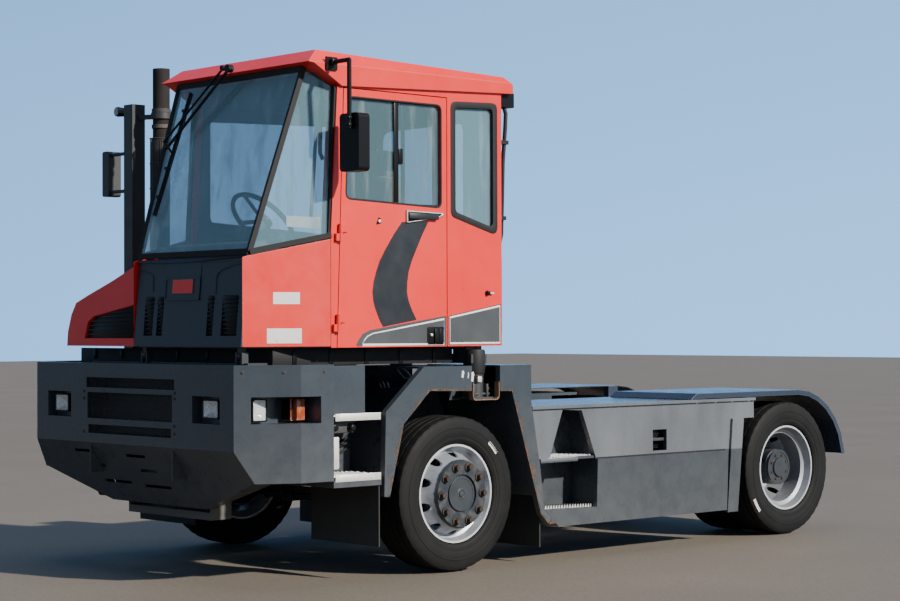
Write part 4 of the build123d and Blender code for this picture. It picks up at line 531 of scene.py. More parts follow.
class Finishes:
    """All the finishes of the vehicle, each made once."""

    def __init__(self) -> None:
        """Makes every material."""
        self.chassis = WornPaint(
            "chassis_paint", ANTHRACITE, (0.04, 0.049, 0.06),
            0.27, dust_share=0.22, chip_share=0.12
        ).make()
        # The skirt carries the painted sheen above 0.628 m on its outer face, standing in for reflected sky.
        self.skirt = WornPaint(
            "skirt_paint", ANTHRACITE, (0.044, 0.052, 0.061),
            0.24, dust_share=0.13, chip_share=0.08, painted_sheen_above=0.628
        ).make()
        self.chassis_edge = RustedEdge("chassis_edge", (0.075, 0.088, 0.1), rust_share=0.25).make()
        self.rusty_edge = RustedEdge(
            "rusty_edge", (0.07, 0.068, 0.064), rust=(0.16, 0.085, 0.045),
            rust_share=1.1
        ).make()
        self.guard = WornPaint(
            "guard_paint", (0.018, 0.027, 0.048), (0.028, 0.039, 0.062),
            0.26, dust_share=0.06, chip_share=0.05
        ).make()
        self.red = WornPaint(
            "cab_paint", CAB_RED, (0.72, 0.03, 0.022), 0.32, dust_top=1.75,
            dust_share=0.07, chip_share=0.1, streak_share=0.16,
            grain=0.0003
        ).make()
        self.red_edge = RustedEdge("cab_edge", (0.55, 0.05, 0.035), rust=(0.3, 0.06, 0.04), rust_share=0.15).make()
        self.black = WornPaint("black_paint", (0.018, 0.019, 0.021), (0.035, 0.036, 0.038), 0.5, chip_share=0.25).make()
        self.stripe = WornPaint(
            "stripe_foil", (0.008, 0.0095, 0.012), (0.014, 0.016, 0.019),
            0.34, dust_top=1.2, chip_share=0.1
        ).make()
        self.foil = WornPaint(
            "panel_foil", (0.042, 0.046, 0.05), (0.062, 0.066, 0.069),
            0.3, dust_top=1.8, dust_share=0.12, chip_share=0.15
        ).make()
        self.white = WornPaint(
            "white_foil", (0.72, 0.72, 0.69), (0.6, 0.59, 0.55),
            0.45, dust_top=2.0, dust_share=0.25, chip_share=0.3
        ).make()
        self.front = Moulding("front_moulding", (0.012, 0.016, 0.024), 0.36, 0.16).make()
        self.plastic = Moulding("black_moulding", (0.005, 0.005, 0.006), 0.34, 0.03, 0.18).make()
        self.trim = Moulding("cab_trim", (0.035, 0.045, 0.065), 0.7, 0.25).make()
        self.rubber = Rubber("seal_rubber", (0.01, 0.01, 0.011), (0.05, 0.048, 0.045), 0.12, 0.6, 0.25).make()
        self.tyre = Rubber("tyre_rubber_worn", (0.006, 0.006, 0.0064), (0.022, 0.021, 0.02), 0.5, 0.62, 0.16).make()
        self.flap = Rubber("flap_rubber", (0.014, 0.0135, 0.013), (0.06, 0.054, 0.046), 0.5).make()
        # The glasses' cover colours carry painted reflection as well as tint.
        self.glass = Glazing("window_glass").make()
        self.side_glass = Glazing("side_glass", (0.09, 0.16, 0.18), 0.3, 0.42).make()
        self.clear_lens = Lens("clear_lens", (0.75, 0.77, 0.78), 0.35).make()
        # The amber lens colour is darkened below a lit amber: painted shade, standing in for the shade the front
        # indicators sit in.
        self.amber_lens = Lens("amber_lens", (0.34, 0.055, 0.008), 0.85).make()
        self.red_lens = Lens("red_lens", (0.42, 0.012, 0.012), 0.9).make()
        self.reflector = Metal("lamp_reflector", (0.75, 0.76, 0.78), (0.4, 0.4, 0.4), 0.12, 1.0, 0.1).make()
        self.mirror = Metal("mirror_glass", (0.72, 0.76, 0.8), (0.5, 0.52, 0.54), 0.03, 1.0, 0.1, depth=0.0).make()
        self.aluminium = Metal("step_aluminium", (0.7, 0.69, 0.64), (0.4, 0.38, 0.32), 0.38, 0.55, 0.4, 12).make()
        self.iron = Metal("dusty_iron", (0.045, 0.045, 0.046), (0.1, 0.085, 0.07), 0.62, 0.35, 0.7).make()
        self.engine = Metal("engine_casting", (0.075, 0.08, 0.085), (0.1, 0.07, 0.05), 0.6, 0.4, 0.7).make()
        self.exhaust = Metal("burnt_steel", (0.009, 0.007, 0.007), (0.022, 0.012, 0.01), 0.72, 0.35, 0.9, 5).make()
        self.plate = Metal("greased_plate", (0.12, 0.115, 0.11), (0.03, 0.027, 0.024), 0.38, 0.8, 0.7).make()
        self.chrome = Metal("rod_chrome_bright", (0.75, 0.76, 0.78), (0.5, 0.5, 0.5), 0.1, 1.0, 0.1, depth=0.0).make()
        self.bolt = Metal("bolt_steel", (0.045, 0.047, 0.05), (0.075, 0.052, 0.036), 0.5, 0.5, 0.5, 25).make()
        self.nut = Metal("rusty_nut", (0.03, 0.024, 0.021), (0.085, 0.045, 0.027), 0.6, 0.4, 0.6, 40).make()
        self.hub = WornPaint(
            "hub_paint", (0.012, 0.017, 0.023), (0.022, 0.028, 0.034),
            0.38, chip_share=0.2, dust_share=0.06
        ).make()
        self.seat = Cloth("seat_cloth", (0.19, 0.19, 0.18), (0.27, 0.265, 0.25)).make()
        self.rust_line = Bloom("rust_line", 0.48).make()
        self.rust_haze = Bloom("rust_haze", 0.2).make()
        self.front_wheel = WheelPaint("front_wheel_paint", FRONT_AXLE_Y, 0.206).make()
        self.rear_wheel = WheelPaint("rear_wheel_paint", REAR_AXLE_Y, 0.15, (0.3, 0.315, 0.34)).make()


# Making pieces


def lifted(pair: Flat, axis: Axis, level: float) -> Point:
    """A flat point at a level along the axis that it lacks."""
    spot = list(pair)
    spot.insert(axis.value, level)
    return tuple(spot)


def rectangle(across: Flat, along: Flat) -> list[Flat]:
    """Corners of a rectangle between low and high values."""
    (left, right), (low, high) = across, along
    return [(left, low), (right, low), (right, high), (left, high)]


def placed(name: str, data: bpy.types.ID) -> bpy.types.Object:
    """A new object in the scene that shows some data."""
    thing = bpy.data.objects.new(name, data)
    bpy.context.scene.collection.objects.link(thing)
    return thing


class Shell:
    """Gathers the faces of one piece, each with the number of its finish."""

    def __init__(self) -> None:
        """Starts empty."""
        self.points: list[Vector] = []
        self.faces: list[tuple[int, ...]] = []
        self.marks: list[int] = []

    def add(self, points: list, faces: list, mark: int = 0) -> None:
        """Adds faces.

        Args:
            points: Corner points.
            faces: Tuples of indices into the points.
            mark: Number of the finish.
        """
        start = len(self.points)
        self.points += [Vector(p) for p in points]
        self.faces += [tuple(start + i for i in face) for face in faces]
        self.marks += [mark] * len(faces)

    def slab(self, outline: Line, axis: Axis, low: float, high: float, mark: int = 0) -> None:
        """A flat outline with a thickness along one axis.

        Args:
            outline: Points in the other two axes, in their order X, Y, Z.
            axis: Axis of the thickness.
            low: Lower end.
            high: Upper end.
            mark: Number of the finish.
        """
        count = len(outline)
        points = [lifted(pair, axis, level) for level in (low, high) for pair in outline]
        sides = [(i, (i + 1) % count, count + (i + 1) % count, count + i) for i in range(count)]
        self.add(points, [tuple(reversed(range(count))), tuple(range(count, 2 * count)), *sides], mark)

    def box(self, x: Flat, y: Flat, z: Flat, mark: int = 0) -> None:
        """A box between low and high values."""
        self.slab(rectangle(x, y), Axis.Z, *z, mark)

    def tube(
        self, path: list[Point], radius: float, sides: int = 12,
        closed: bool = False, mark: int = 0, flat: float = 1.0
    ) -> None:
        """A round bar or hose along a path.

        Args:
            path: Points of the middle line.
            radius: Half of the width.
            sides: Faces round the bar.
            closed: Whether the path is a ring.
            mark: Number of the finish.
            flat: Depth as a share of the width.
        """
        line = [Vector(p) for p in path]
        count = len(line)
        points = []
        side = None
        for i, here in enumerate(line):
            before = line[i - 1] if closed or i else here
            after = line[(i + 1) % count] if closed or i < count - 1 else here
            way = (after - before).normalized()
            if side is None:
                side = way.cross(Vector((0, 0, 1)))
                if side.length < 0.1:
                    side = way.cross(Vector((0, 1, 0)))
            side = (side - way * side.dot(way)).normalized()
            up = way.cross(side)
            widen = 1.0
            if 0 < i < count - 1 or closed:
                bend = (here - before).angle(after - here, 0)
                widen = 1 / max(0.5, math.cos(bend / 2))
            for k in range(sides):
                turn = 2 * math.pi * (k + 0.5) / sides
                points.append(here + (side * math.cos(turn) + up * math.sin(turn) * flat) * radius * widen)
        faces = []
        for i in range(count if closed else count - 1):
            for k in range(sides):
                a, b = i * sides + k, i * sides + (k + 1) % sides
                c, d = (i + 1) % count * sides + (k + 1) % sides, (i + 1) % count * sides + k
                faces.append((a, b, c, d))
        if not closed:
            faces.append(tuple(reversed(range(sides))))
            faces.append(tuple((count - 1) * sides + k for k in range(sides)))
        self.add(points, faces, mark)

    def lathe(
        self, profile: Line, centre: Point, segments: int = 64,
        closed: bool = False, mark: int = 0, axis: Axis = Axis.X,
        dip: object = None
    ) -> None:
        """A shape turned about an axis.

        Args:
            profile: Points of distance along the axis and radius.
            centre: Where the distance is zero.
            segments: Faces round the axis.
            closed: Whether the profile's last point joins its first.
            mark: Number of the finish.
            axis: Axis of the turning.
            dip: Function of segment and profile index that gives a change of radius.
        """
        count = len(profile)
        points = []
        for s in range(segments):
            turn = 2 * math.pi * s / segments
            for k, (along, radius) in enumerate(profile):
                out = radius + (dip(s, k) if dip else 0)
                spot = lifted((out * math.cos(turn), out * math.sin(turn)), axis, along)
                points.append([a + b for a, b in zip(spot, centre)])
        faces = []
        for s in range(segments):
            for k in range(count if closed else count - 1):
                n, m = (s + 1) % segments * count, (k + 1) % count
                faces.append((s * count + k, s * count + m, n + m, n + k))
        if not closed:
            for k, flip in ((0, True), (count - 1, False)):
                if profile[k][1] > 1e-5:
                    ring = [s * count + k for s in range(segments)]
                    faces.append(tuple(reversed(ring)) if flip else tuple(ring))
        self.add(points, faces, mark)

    def join(self, other: "Shell") -> None:
        """Takes in another shell's faces."""
        start = len(self.points)
        self.points += other.points
        self.faces += [tuple(start + i for i in face) for face in other.faces]
        self.marks += other.marks


def smooth(mesh: bpy.types.Mesh, angle: float = SMOOTH_ANGLE) -> None:
    """Smooth shading, with edges sharp above an angle."""
    mesh.polygons.foreach_set("use_smooth", [True] * len(mesh.polygons))
    mesh.set_sharp_from_angle(angle=angle)


def baked(thing: bpy.types.Object) -> bpy.types.Object:
    """Applies an object's modifiers to a plain mesh.

    Args:
        thing: Object with modifiers.

    Returns:
        The same object with its final mesh.
    """
    bpy.context.view_layer.update()
    mesh = bpy.data.meshes.new_from_object(thing.evaluated_get(bpy.context.evaluated_depsgraph_get()))
    thing.modifiers.clear()
    thing.data = mesh
    mesh.name = thing.name
    return thing


@dataclass
class Workshop:
    """Turns shells into finished pieces on the vehicle's bodies."""

    frame: dict
    merge_distance: float = 2e-5
    flat_angle: float = math.radians(0.6)
    fold_angle: float = 35
    shade_angle: float = math.radians(40)

    def piece(
        self,
        name: str,
        shell: Shell,
        finishes: list[bpy.types.Material],
        body: str,
        slot: str,
        bevel: float = 0.0,
        angle: float = SMOOTH_ANGLE,
        replaces: tuple[str, ...] = (),
    ) -> bpy.types.Object:
        """Makes one piece from a shell.

        Args:
            name: The piece's name.
            shell: Its faces.
            finishes: Materials in the order of the faces' numbers.
            body: Body that it moves with.
            slot: Material slot of the record; not used.
            bevel: Width of the rounded edges, in metres.
            angle: Sharpest angle that is shaded smooth.
            replaces: Nodes that it stands for.

        Returns:
            The piece.
        """
        mesh = bpy.data.meshes.new(name)
        mesh.from_pydata(shell.points, [], shell.faces)
        for finish in finishes:
            mesh.materials.append(finish)
        mesh.polygons.foreach_set("material_index", shell.marks)
        form = bmesh.new()
        form.from_mesh(mesh)
        bmesh.ops.recalc_face_normals(form, faces=form.faces)
        if bevel:
            sharp = [e for e in form.edges if len(e.link_faces) == 2 and e.calc_face_angle(0) > SHARP_ANGLE]
            bmesh.ops.bevel(form, geom=sharp, offset=bevel, segments=2, profile=0.5, affect="EDGES", clamp_overlap=True)
        form.to_mesh(mesh)
        form.free()
        smooth(mesh, angle)
        return self.fit(placed(name, mesh), body, replaces)

    def fit(self, thing: bpy.types.Object, body: str, replaces: tuple[str, ...] = ()) -> bpy.types.Object:
        """Rides a piece on its body and hides the nodes that it stands for.

        Args:
            thing: The piece.
            body: Body that it moves with.
            replaces: Nodes that it stands for.

        Returns:
            The piece.
        """
        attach(thing, body)
        if replaces:
            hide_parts(*replaces)
        log.info("piece %s on %s, %d faces", thing.name, body, len(thing.data.polygons) if thing.type == "MESH" else 0)
        return thing

    def dressed(
        self, node: str, finish: bpy.types.Material, edge: bpy.types.Material,
        bevel: float, body: str, turn: float = 24,
        bend: float = 0.0
    ) -> bpy.types.Object:
        """A copy of a node's solid with rounded, rubbed edges, which stands for the node.

        Args:
            node: The node's name.
            finish: Material of its faces.
            edge: Material of its rounded edges.
            bevel: Width of the rounding in metres.
            body: Body that it moves with.
            turn: Angle in degrees from which an edge is rounded.
            bend: Width of a plain rounding on edges under 35 degrees, or 0 to rub them as well.

        Returns:
            The piece.
        """
        mesh = self.frame["nodes"][node].data.copy()
        mesh.materials.clear()
        for material in (finish, edge):
            mesh.materials.append(material)
        form = bmesh.new()
        form.from_mesh(mesh)
        bmesh.ops.remove_doubles(form, verts=form.verts, dist=self.merge_distance)
        bmesh.ops.dissolve_degenerate(form, dist=self.merge_distance / 2, edges=form.edges)
        bmesh.ops.dissolve_limit(form, angle_limit=self.flat_angle, verts=form.verts, edges=form.edges)
        for face in form.faces:
            face.material_index = 0
        rounding = {"affect": "EDGES", "clamp_overlap": True}
        if bend:
            low, high = math.radians(turn), math.radians(self.fold_angle)
            folds = [e for e in form.edges if len(e.link_faces) == 2 and low < e.calc_face_angle(0) < high]
            bmesh.ops.bevel(form, geom=folds, offset=bend, segments=5, profile=0.5, material=0, **rounding)
            turn = self.fold_angle
        sharp = [e for e in form.edges if len(e.link_faces) == 2 and e.calc_face_angle(0) > math.radians(turn)]
        bmesh.ops.bevel(form, geom=sharp, offset=bevel, segments=2, profile=0.6, material=1, **rounding)
        form.to_mesh(mesh)
        form.free()
        smooth(mesh, self.shade_angle)
        thing = placed(f"{node}_dressed", mesh)
        weighted = thing.modifiers.new("weights", "WEIGHTED_NORMAL")
        weighted.keep_sharp = True
        baked(thing)
        return self.fit(thing, body, (node,))

    def paint(self, nodes: list[str], finish: bpy.types.Material) -> None:
        """Gives CAD nodes a finish of their own.

        Args:
            nodes: The nodes' names.
            finish: The material.
        """
        for node in nodes:
            thing = self.frame["nodes"][node]
            for slot in thing.material_slots:
                slot.material = finish


class Repeater(NodeTree):
    """Geometry Nodes trees that set one small form on many places."""

    def __init__(self, name: str, finish: bpy.types.Material) -> None:
        """Starts a tree with a geometry input and output.

        Args:
            name: The tree's name.
            finish: Material of the result.
        """
        super().__init__(bpy.data.node_groups.new(name, "GeometryNodeTree"))
        self.finish = finish
        for way in ("INPUT", "OUTPUT"):
            self.tree.interface.new_socket("Geometry", in_out=way, socket_type="NodeSocketGeometry")
        self.start = self.node("NodeGroupInput")
        self.end = self.node("NodeGroupOutput")
        self.inputs: dict[str, str] = {}

    def size(self, name: str, value: float) -> bpy.types.NodeSocket:
        """Adds a named size.

        Args:
            name: The size's name.
            value: Its value in metres.

        Returns:
            The socket that carries it.
        """
        made = self.tree.interface.new_socket(name, in_out="INPUT", socket_type="NodeSocketFloat")
        made.default_value = value
        self.inputs[name] = made.identifier
        return self.start.outputs[name]

    def close(self, geometry: bpy.types.NodeSocket) -> None:
        """Ends the tree with real geometry and its material."""
        real = self.node("GeometryNodeRealizeInstances", {"Geometry": geometry})
        feeds = {"Geometry": real.outputs["Geometry"], "Material": self.finish}
        self.feed(self.end.inputs["Geometry"], self.node("GeometryNodeSetMaterial", feeds).outputs["Geometry"])

    def run(self, name: str, carrier: bpy.types.Mesh, sizes: dict[str, float] | None = None) -> bpy.types.Object:
        """Runs the tree on a carrier mesh.

        Args:
            name: Name of the result.
            carrier: Mesh whose points carry the forms.
            sizes: Values of named sizes.

        Returns:
            An object with a plain mesh.
        """
        thing = placed(name, carrier)
        modifier = thing.modifiers.new("repeat", "NODES")
        modifier.node_group = self.tree
        for key, value in (sizes or {}).items():
            modifier[self.inputs[key]] = value
        return baked(thing)


class BoltMaker(Repeater):
    """Domed hexagon bolts on washers, one on each face of a carrier of small facing squares."""

    def __init__(self, finish: bpy.types.Material) -> None:
        """Builds the tree.

        Args:
            finish: The bolts' material.
        """
        super().__init__("bolt_heads", finish)
        radius, height = self.size("Radius", 0.012), self.size("Height", 0.008)
        slim, wide = (self.reckon("MULTIPLY", radius, share) for share in (0.84, 1.45))
        feeds = {"Vertices": 6, "Radius Bottom": radius, "Radius Top": slim, "Depth": height}
        head = self.node("GeometryNodeMeshCone", feeds, fill_type="NGON")
        feeds = {"Vertices": 16, "Radius": wide, "Depth": self.reckon("MULTIPLY", height, 0.45)}
        washer = self.node("GeometryNodeMeshCylinder", feeds, fill_type="NGON")
        both = self.node("GeometryNodeJoinGeometry")
        for form in (head, washer):
            self.feed(both.inputs["Geometry"], form.outputs["Mesh"])
        facing = self.node("GeometryNodeCaptureAttribute", domain="FACE")
        facing.capture_items.new("VECTOR", "Facing")
        self.feed(facing.inputs["Geometry"], self.start.outputs["Geometry"])
        self.feed(facing.inputs["Facing"], self.node("GeometryNodeInputNormal").outputs["Normal"])
        points = self.node("GeometryNodeMeshToPoints", {"Mesh": facing.outputs["Geometry"]}, mode="FACES")
        turn = self.node("FunctionNodeAlignRotationToVector", {"Vector": facing.outputs["Facing"]}, axis="Z")
        feeds = {
            "Points": points.outputs["Points"],
            "Instance": both.outputs["Geometry"],
            "Rotation": turn.outputs["Rotation"],
        }
        self.close(self.node("GeometryNodeInstanceOnPoints", feeds).outputs["Instances"])

    def fasten(
        self, shop: Workshop, name: str, spots: list[tuple[Point, Point]],
        body: str, slot: str, radius: float = 0.012, height: float = 0.009
    ) -> bpy.types.Object:
        """Sets bolts.

        Args:
            shop: The workshop.
            name: Name of the set.
            spots: Pairs of a place and the direction that the head faces.
            body: Body that they move with.
            slot: Material slot of the record; not used.
            radius: The head's radius.
            height: The head's height.

        Returns:
            One piece with all the bolts.
        """
        mesh = bpy.data.meshes.new(f"{name}_spots")
        points, faces = [], []
        for place, way in spots:
            out = Vector(way).normalized()
            side = out.orthogonal().normalized()
            up = out.cross(side)
            start = len(points)
            points += [Vector(place) + (side * a + up * b) * 0.001 for a, b in ((-1, -1), (1, -1), (1, 1), (-1, 1))]
            faces.append(tuple(range(start, start + 4)))
        mesh.from_pydata(points, [], faces)
        return shop.fit(self.run(name, mesh, {"Radius": radius, "Height": height}), body)


def rounded(outline: Line, radius: float, steps: int = 5) -> list[Flat]:
    """An outline with its corners rounded.

    Args:
        outline: Corner points.
        radius: Radius of the corners.
        steps: Points for each corner.

    Returns:
        The rounded outline's points.
    """
    made = []
    count = len(outline)
    for i, corner in enumerate(outline):
        here = Vector(corner)
        before, after = Vector(outline[i - 1]) - here, Vector(outline[(i + 1) % count]) - here
        back, on = before.normalized(), after.normalized()
        reach = min(radius / math.tan(back.angle(on) / 2), EDGE_SHARE * before.length, EDGE_SHARE * after.length)
        first, last = here + back * reach, here + on * reach
        for k in range(steps + 1):
            t = k / steps
            spot = first * (1 - t) ** 2 + here * 2 * t * (1 - t) + last * t**2
            made.append((spot.x, spot.y))
    return made


def shifted(outline: Line, inset: float) -> list[Flat]:
    """An outline moved inwards by a distance.

    Args:
        outline: Corner points of a convex outline.
        inset: Distance, positive inwards.

    Returns:
        The new corner points.
    """
    count = len(outline)
    middle = sum((Vector(p) for p in outline), Vector((0, 0))) / count
    made = []
    for i, corner in enumerate(outline):
        here = Vector(corner)
        lines = []
        for other in (Vector(outline[i - 1]), Vector(outline[(i + 1) % count])):
            way = (other - here).normalized()
            out = Vector((-way.y, way.x))
            if out.dot(middle - here) < 0:
                out = -out
            lines.append((here + out * inset, way))
        (p, a), (q, b) = lines
        cross = a.x * b.y - a.y * b.x
        t = ((q - p).x * b.y - (q - p).y * b.x) / cross if abs(cross) > 1e-6 else 0
        spot = p + a * t
        made.append((spot.x, spot.y))
    return made


def ribbon(line: Line, width: float) -> list[Flat]:
    """An outline between an open line and its copy, moved to the left of its run.

    Args:
        line: Points of the open line.
        width: Distance of the copy, negative to the right.

    Returns:
        The outline's points.
    """
    copy = []
    for i, corner in enumerate(line):
        before, after = Vector(line[max(i - 1, 0)]), Vector(line[min(i + 1, len(line) - 1)])
        way = (after - before).normalized()
        copy.append((corner[0] - way.y * width, corner[1] + way.x * width))
    return [*line, *reversed(copy)]


def band(outer: Line, inner: Line, axis: Axis, low: float, high: float) -> Shell:
    """A flat ring between two outlines with the same number of points.

    Args:
        outer: Outer outline.
        inner: Inner outline.
        axis: Axis of the thickness.
        low: Lower end.
        high: Upper end.

    Returns:
        The ring's faces.
    """
    made = Shell()
    count = len(outer)
    points = [lifted(pair, axis, level) for level in (low, high) for line in (outer, inner) for pair in line]
    faces = []
    for i in range(count):
        j = (i + 1) % count
        faces += [
            (i, j, count + j, count + i),
            (2 * count + i, 3 * count + i, 3 * count + j, 2 * count + j),
            (i, 2 * count + i, 2 * count + j, j),
            (count + i, count + j, 3 * count + j, 3 * count + i),
        ]
    made.add(points, faces)
    return made


def row_y(from_front_axle: float) -> float:
    """A place along the vehicle, given its distance behind the front axle."""
    return FRONT_AXLE_Y + from_front_axle


def mirrored(side: float, first: float, last: float) -> Flat:
    """Low and high x of a field on one side, given its distances from the middle."""
    low, high = sorted((side * first, side * last))
    return low, high


def stud_ring(
    side: float, x: float, axle_y: float, radius: float,
    count: int, shift: float = 0
) -> list[tuple[Point, Point]]:
    """Places on a circle about an axle, each with the way out to its side.

    Args:
        side: 1 on the left, -1 on the right.
        x: Distance from the vehicle's middle.
        axle_y: Place of the axle.
        radius: Radius of the circle.
        count: Number of places.
        shift: Turn of the first place, as a share of the step.

    Returns:
        Pairs of a place and a direction.
    """
    turns = [2 * math.pi * (k + shift) / count for k in range(count)]
    places = [(side * x, axle_y + radius * math.cos(t), AXLE_Z + radius * math.sin(t)) for t in turns]
    return [(place, (side, 0, 0)) for place in places]


# Tyres and wheels


@dataclass
class Tyres:
    """Road tyres: ribbed tread, shoulder slots and ringed sidewalls."""

    front_middles: tuple[float, ...] = (1.06,)
    rear_middles: tuple[float, ...] = (1.069, 0.729)
    radius: float = 0.47
    edge_radius: float = 0.466
    groove_places: tuple[float, ...] = (0.08, 0.028, -0.028, -0.08)
    groove_half: float = 0.0055
    groove_depth: float = 0.011
    segments: int = 126
    slot_every: int = 3
    slot_depth: float = 0.003
    sidewall: Line = (
        (0.117, 0.2865), (0.117, 0.2995), (0.1235, 0.3035), (0.131, 0.3065), (0.1375, 0.314), (0.1405, 0.324),
        (0.1427, 0.3255), (0.144, 0.334), (0.144, 0.345), (0.1462, 0.3465), (0.148, 0.357), (0.1495, 0.372),
        (0.1495, 0.385), (0.1488, 0.392), (0.1502, 0.394), (0.1502, 0.4), (0.1478, 0.402), (0.146, 0.415),
        (0.1435, 0.43), (0.14, 0.444), (0.135, 0.455), (0.13, 0.462), (0.12, 0.4655),
    )
    inside: Line = ((-0.098, 0.287), (-0.122, 0.368), (-0.1, 0.44), (0.1, 0.44), (0.122, 0.368), (0.098, 0.287))

    def crown(self, along: float) -> float:
        """Radius of the tread at a distance from the middle."""
        return self.edge_radius + (self.radius - self.edge_radius) * (1 - (along / 0.12) ** 2)

    def form(self, centre_x: float, axle_y: float) -> Shell:
        """Faces of one tyre.

        Args:
            centre_x: The tyre's middle.
            axle_y: Place of the axle.

        Returns:
            The faces.
        """
        profile = list(self.sidewall)
        shoulder_from = len(profile) - 3
        for place in self.groove_places:
            r, h = self.crown(place), self.groove_half
            foot = r - self.groove_depth
            profile += [(place + h, r), (place + h * 0.7, foot), (place - h * 0.7, foot), (place - h, r)]
        shoulder_to = len(profile)
        profile += [(-a, r) for a, r in reversed(self.sidewall)]
        last_shoulder = shoulder_to + 3
        profile += list(self.inside)

        def dip(segment: int, index: int) -> float:
            near = shoulder_from <= index <= len(self.sidewall) or shoulder_to - 1 <= index < last_shoulder
            return -self.slot_depth if near and segment % self.slot_every == 0 else 0.0

        shell = Shell()
        shell.lathe(profile, (centre_x, axle_y, AXLE_Z), self.segments, dip=dip, closed=True)
        return shell

    def mark(
        self, centre_x: float, axle_y: float, radius: float,
        half: float, turn_from: float, turn_to: float
    ) -> Shell:
        """A worn white bar on the outer sidewall.

        Args:
            centre_x: The tyre's middle.
            axle_y: Place of the axle.
            radius: Middle radius of the bar.
            half: Half of its width.
            turn_from: First angle in degrees from +Y towards +Z.
            turn_to: Last angle.

        Returns:
            The faces.
        """
        shell = Shell()
        steps = 8
        points = []
        for lift in (-0.004, 0.0012):
            for k in range(steps + 1):
                turn = math.radians(turn_from + (turn_to - turn_from) * k / steps)
                for r in (radius - half, radius + half):
                    along = self.side_at(r) + lift
                    points.append((centre_x + along, axle_y + r * math.cos(turn), AXLE_Z + r * math.sin(turn)))
        layer = 2 * (steps + 1)
        faces = []
        for k in range(steps):
            a = 2 * k
            faces += [(a, a + 1, a + 3, a + 2), (layer + a, layer + a + 2, layer + a + 3, layer + a + 1)]
            faces += [(a, a + 2, layer + a + 2, layer + a), (a + 1, layer + a + 1, layer + a + 3, a + 3)]
        for a in (0, 2 * steps):
            faces.append((a, layer + a, layer + a + 1, a + 1))
        shell.add(points, faces)
        return shell

    def side_at(self, radius: float) -> float:
        """Distance from the tyre's middle to its sidewall at a radius."""
        for (a, r), (b, q) in zip(self.sidewall[3:], self.sidewall[4:]):
            if r <= radius <= q:
                return a + (b - a) * (radius - r) / (q - r)
        return 0.15

    def build(self, shop: Workshop, paint: Finishes) -> None:
        """Makes all six tyres and their marks."""
        for side in Side:
            name = side.name.lower()
            for node, body, axle_y, middles in (
                (f"tyre_front_{name}", f"front_{name}_wheel", FRONT_AXLE_Y, self.front_middles),
                (f"tyres_rear_{name}", f"rear_{name}_wheels", REAR_AXLE_Y, self.rear_middles),
            ):
                tyres = Shell()
                for middle in middles:
                    tyres.join(self.form(side.value * middle, axle_y))
                shop.piece(f"road_{node}", tyres, [paint.tyre], body, "tyre_rubber", replaces=(node,))
        for name, body, axle_y, middle, bar in (
            ("tyre_mark_front", "front_left_wheel", FRONT_AXLE_Y, self.front_middles[0], (0.392, 0.011, 36, 50)),
            ("tyre_mark_rear", "rear_left_wheels", REAR_AXLE_Y, self.rear_middles[0], (0.432, 0.01, 208, 222)),
        ):
            shop.piece(name, self.mark(middle, axle_y, *bar), [paint.white], body, "tyre_rubber")


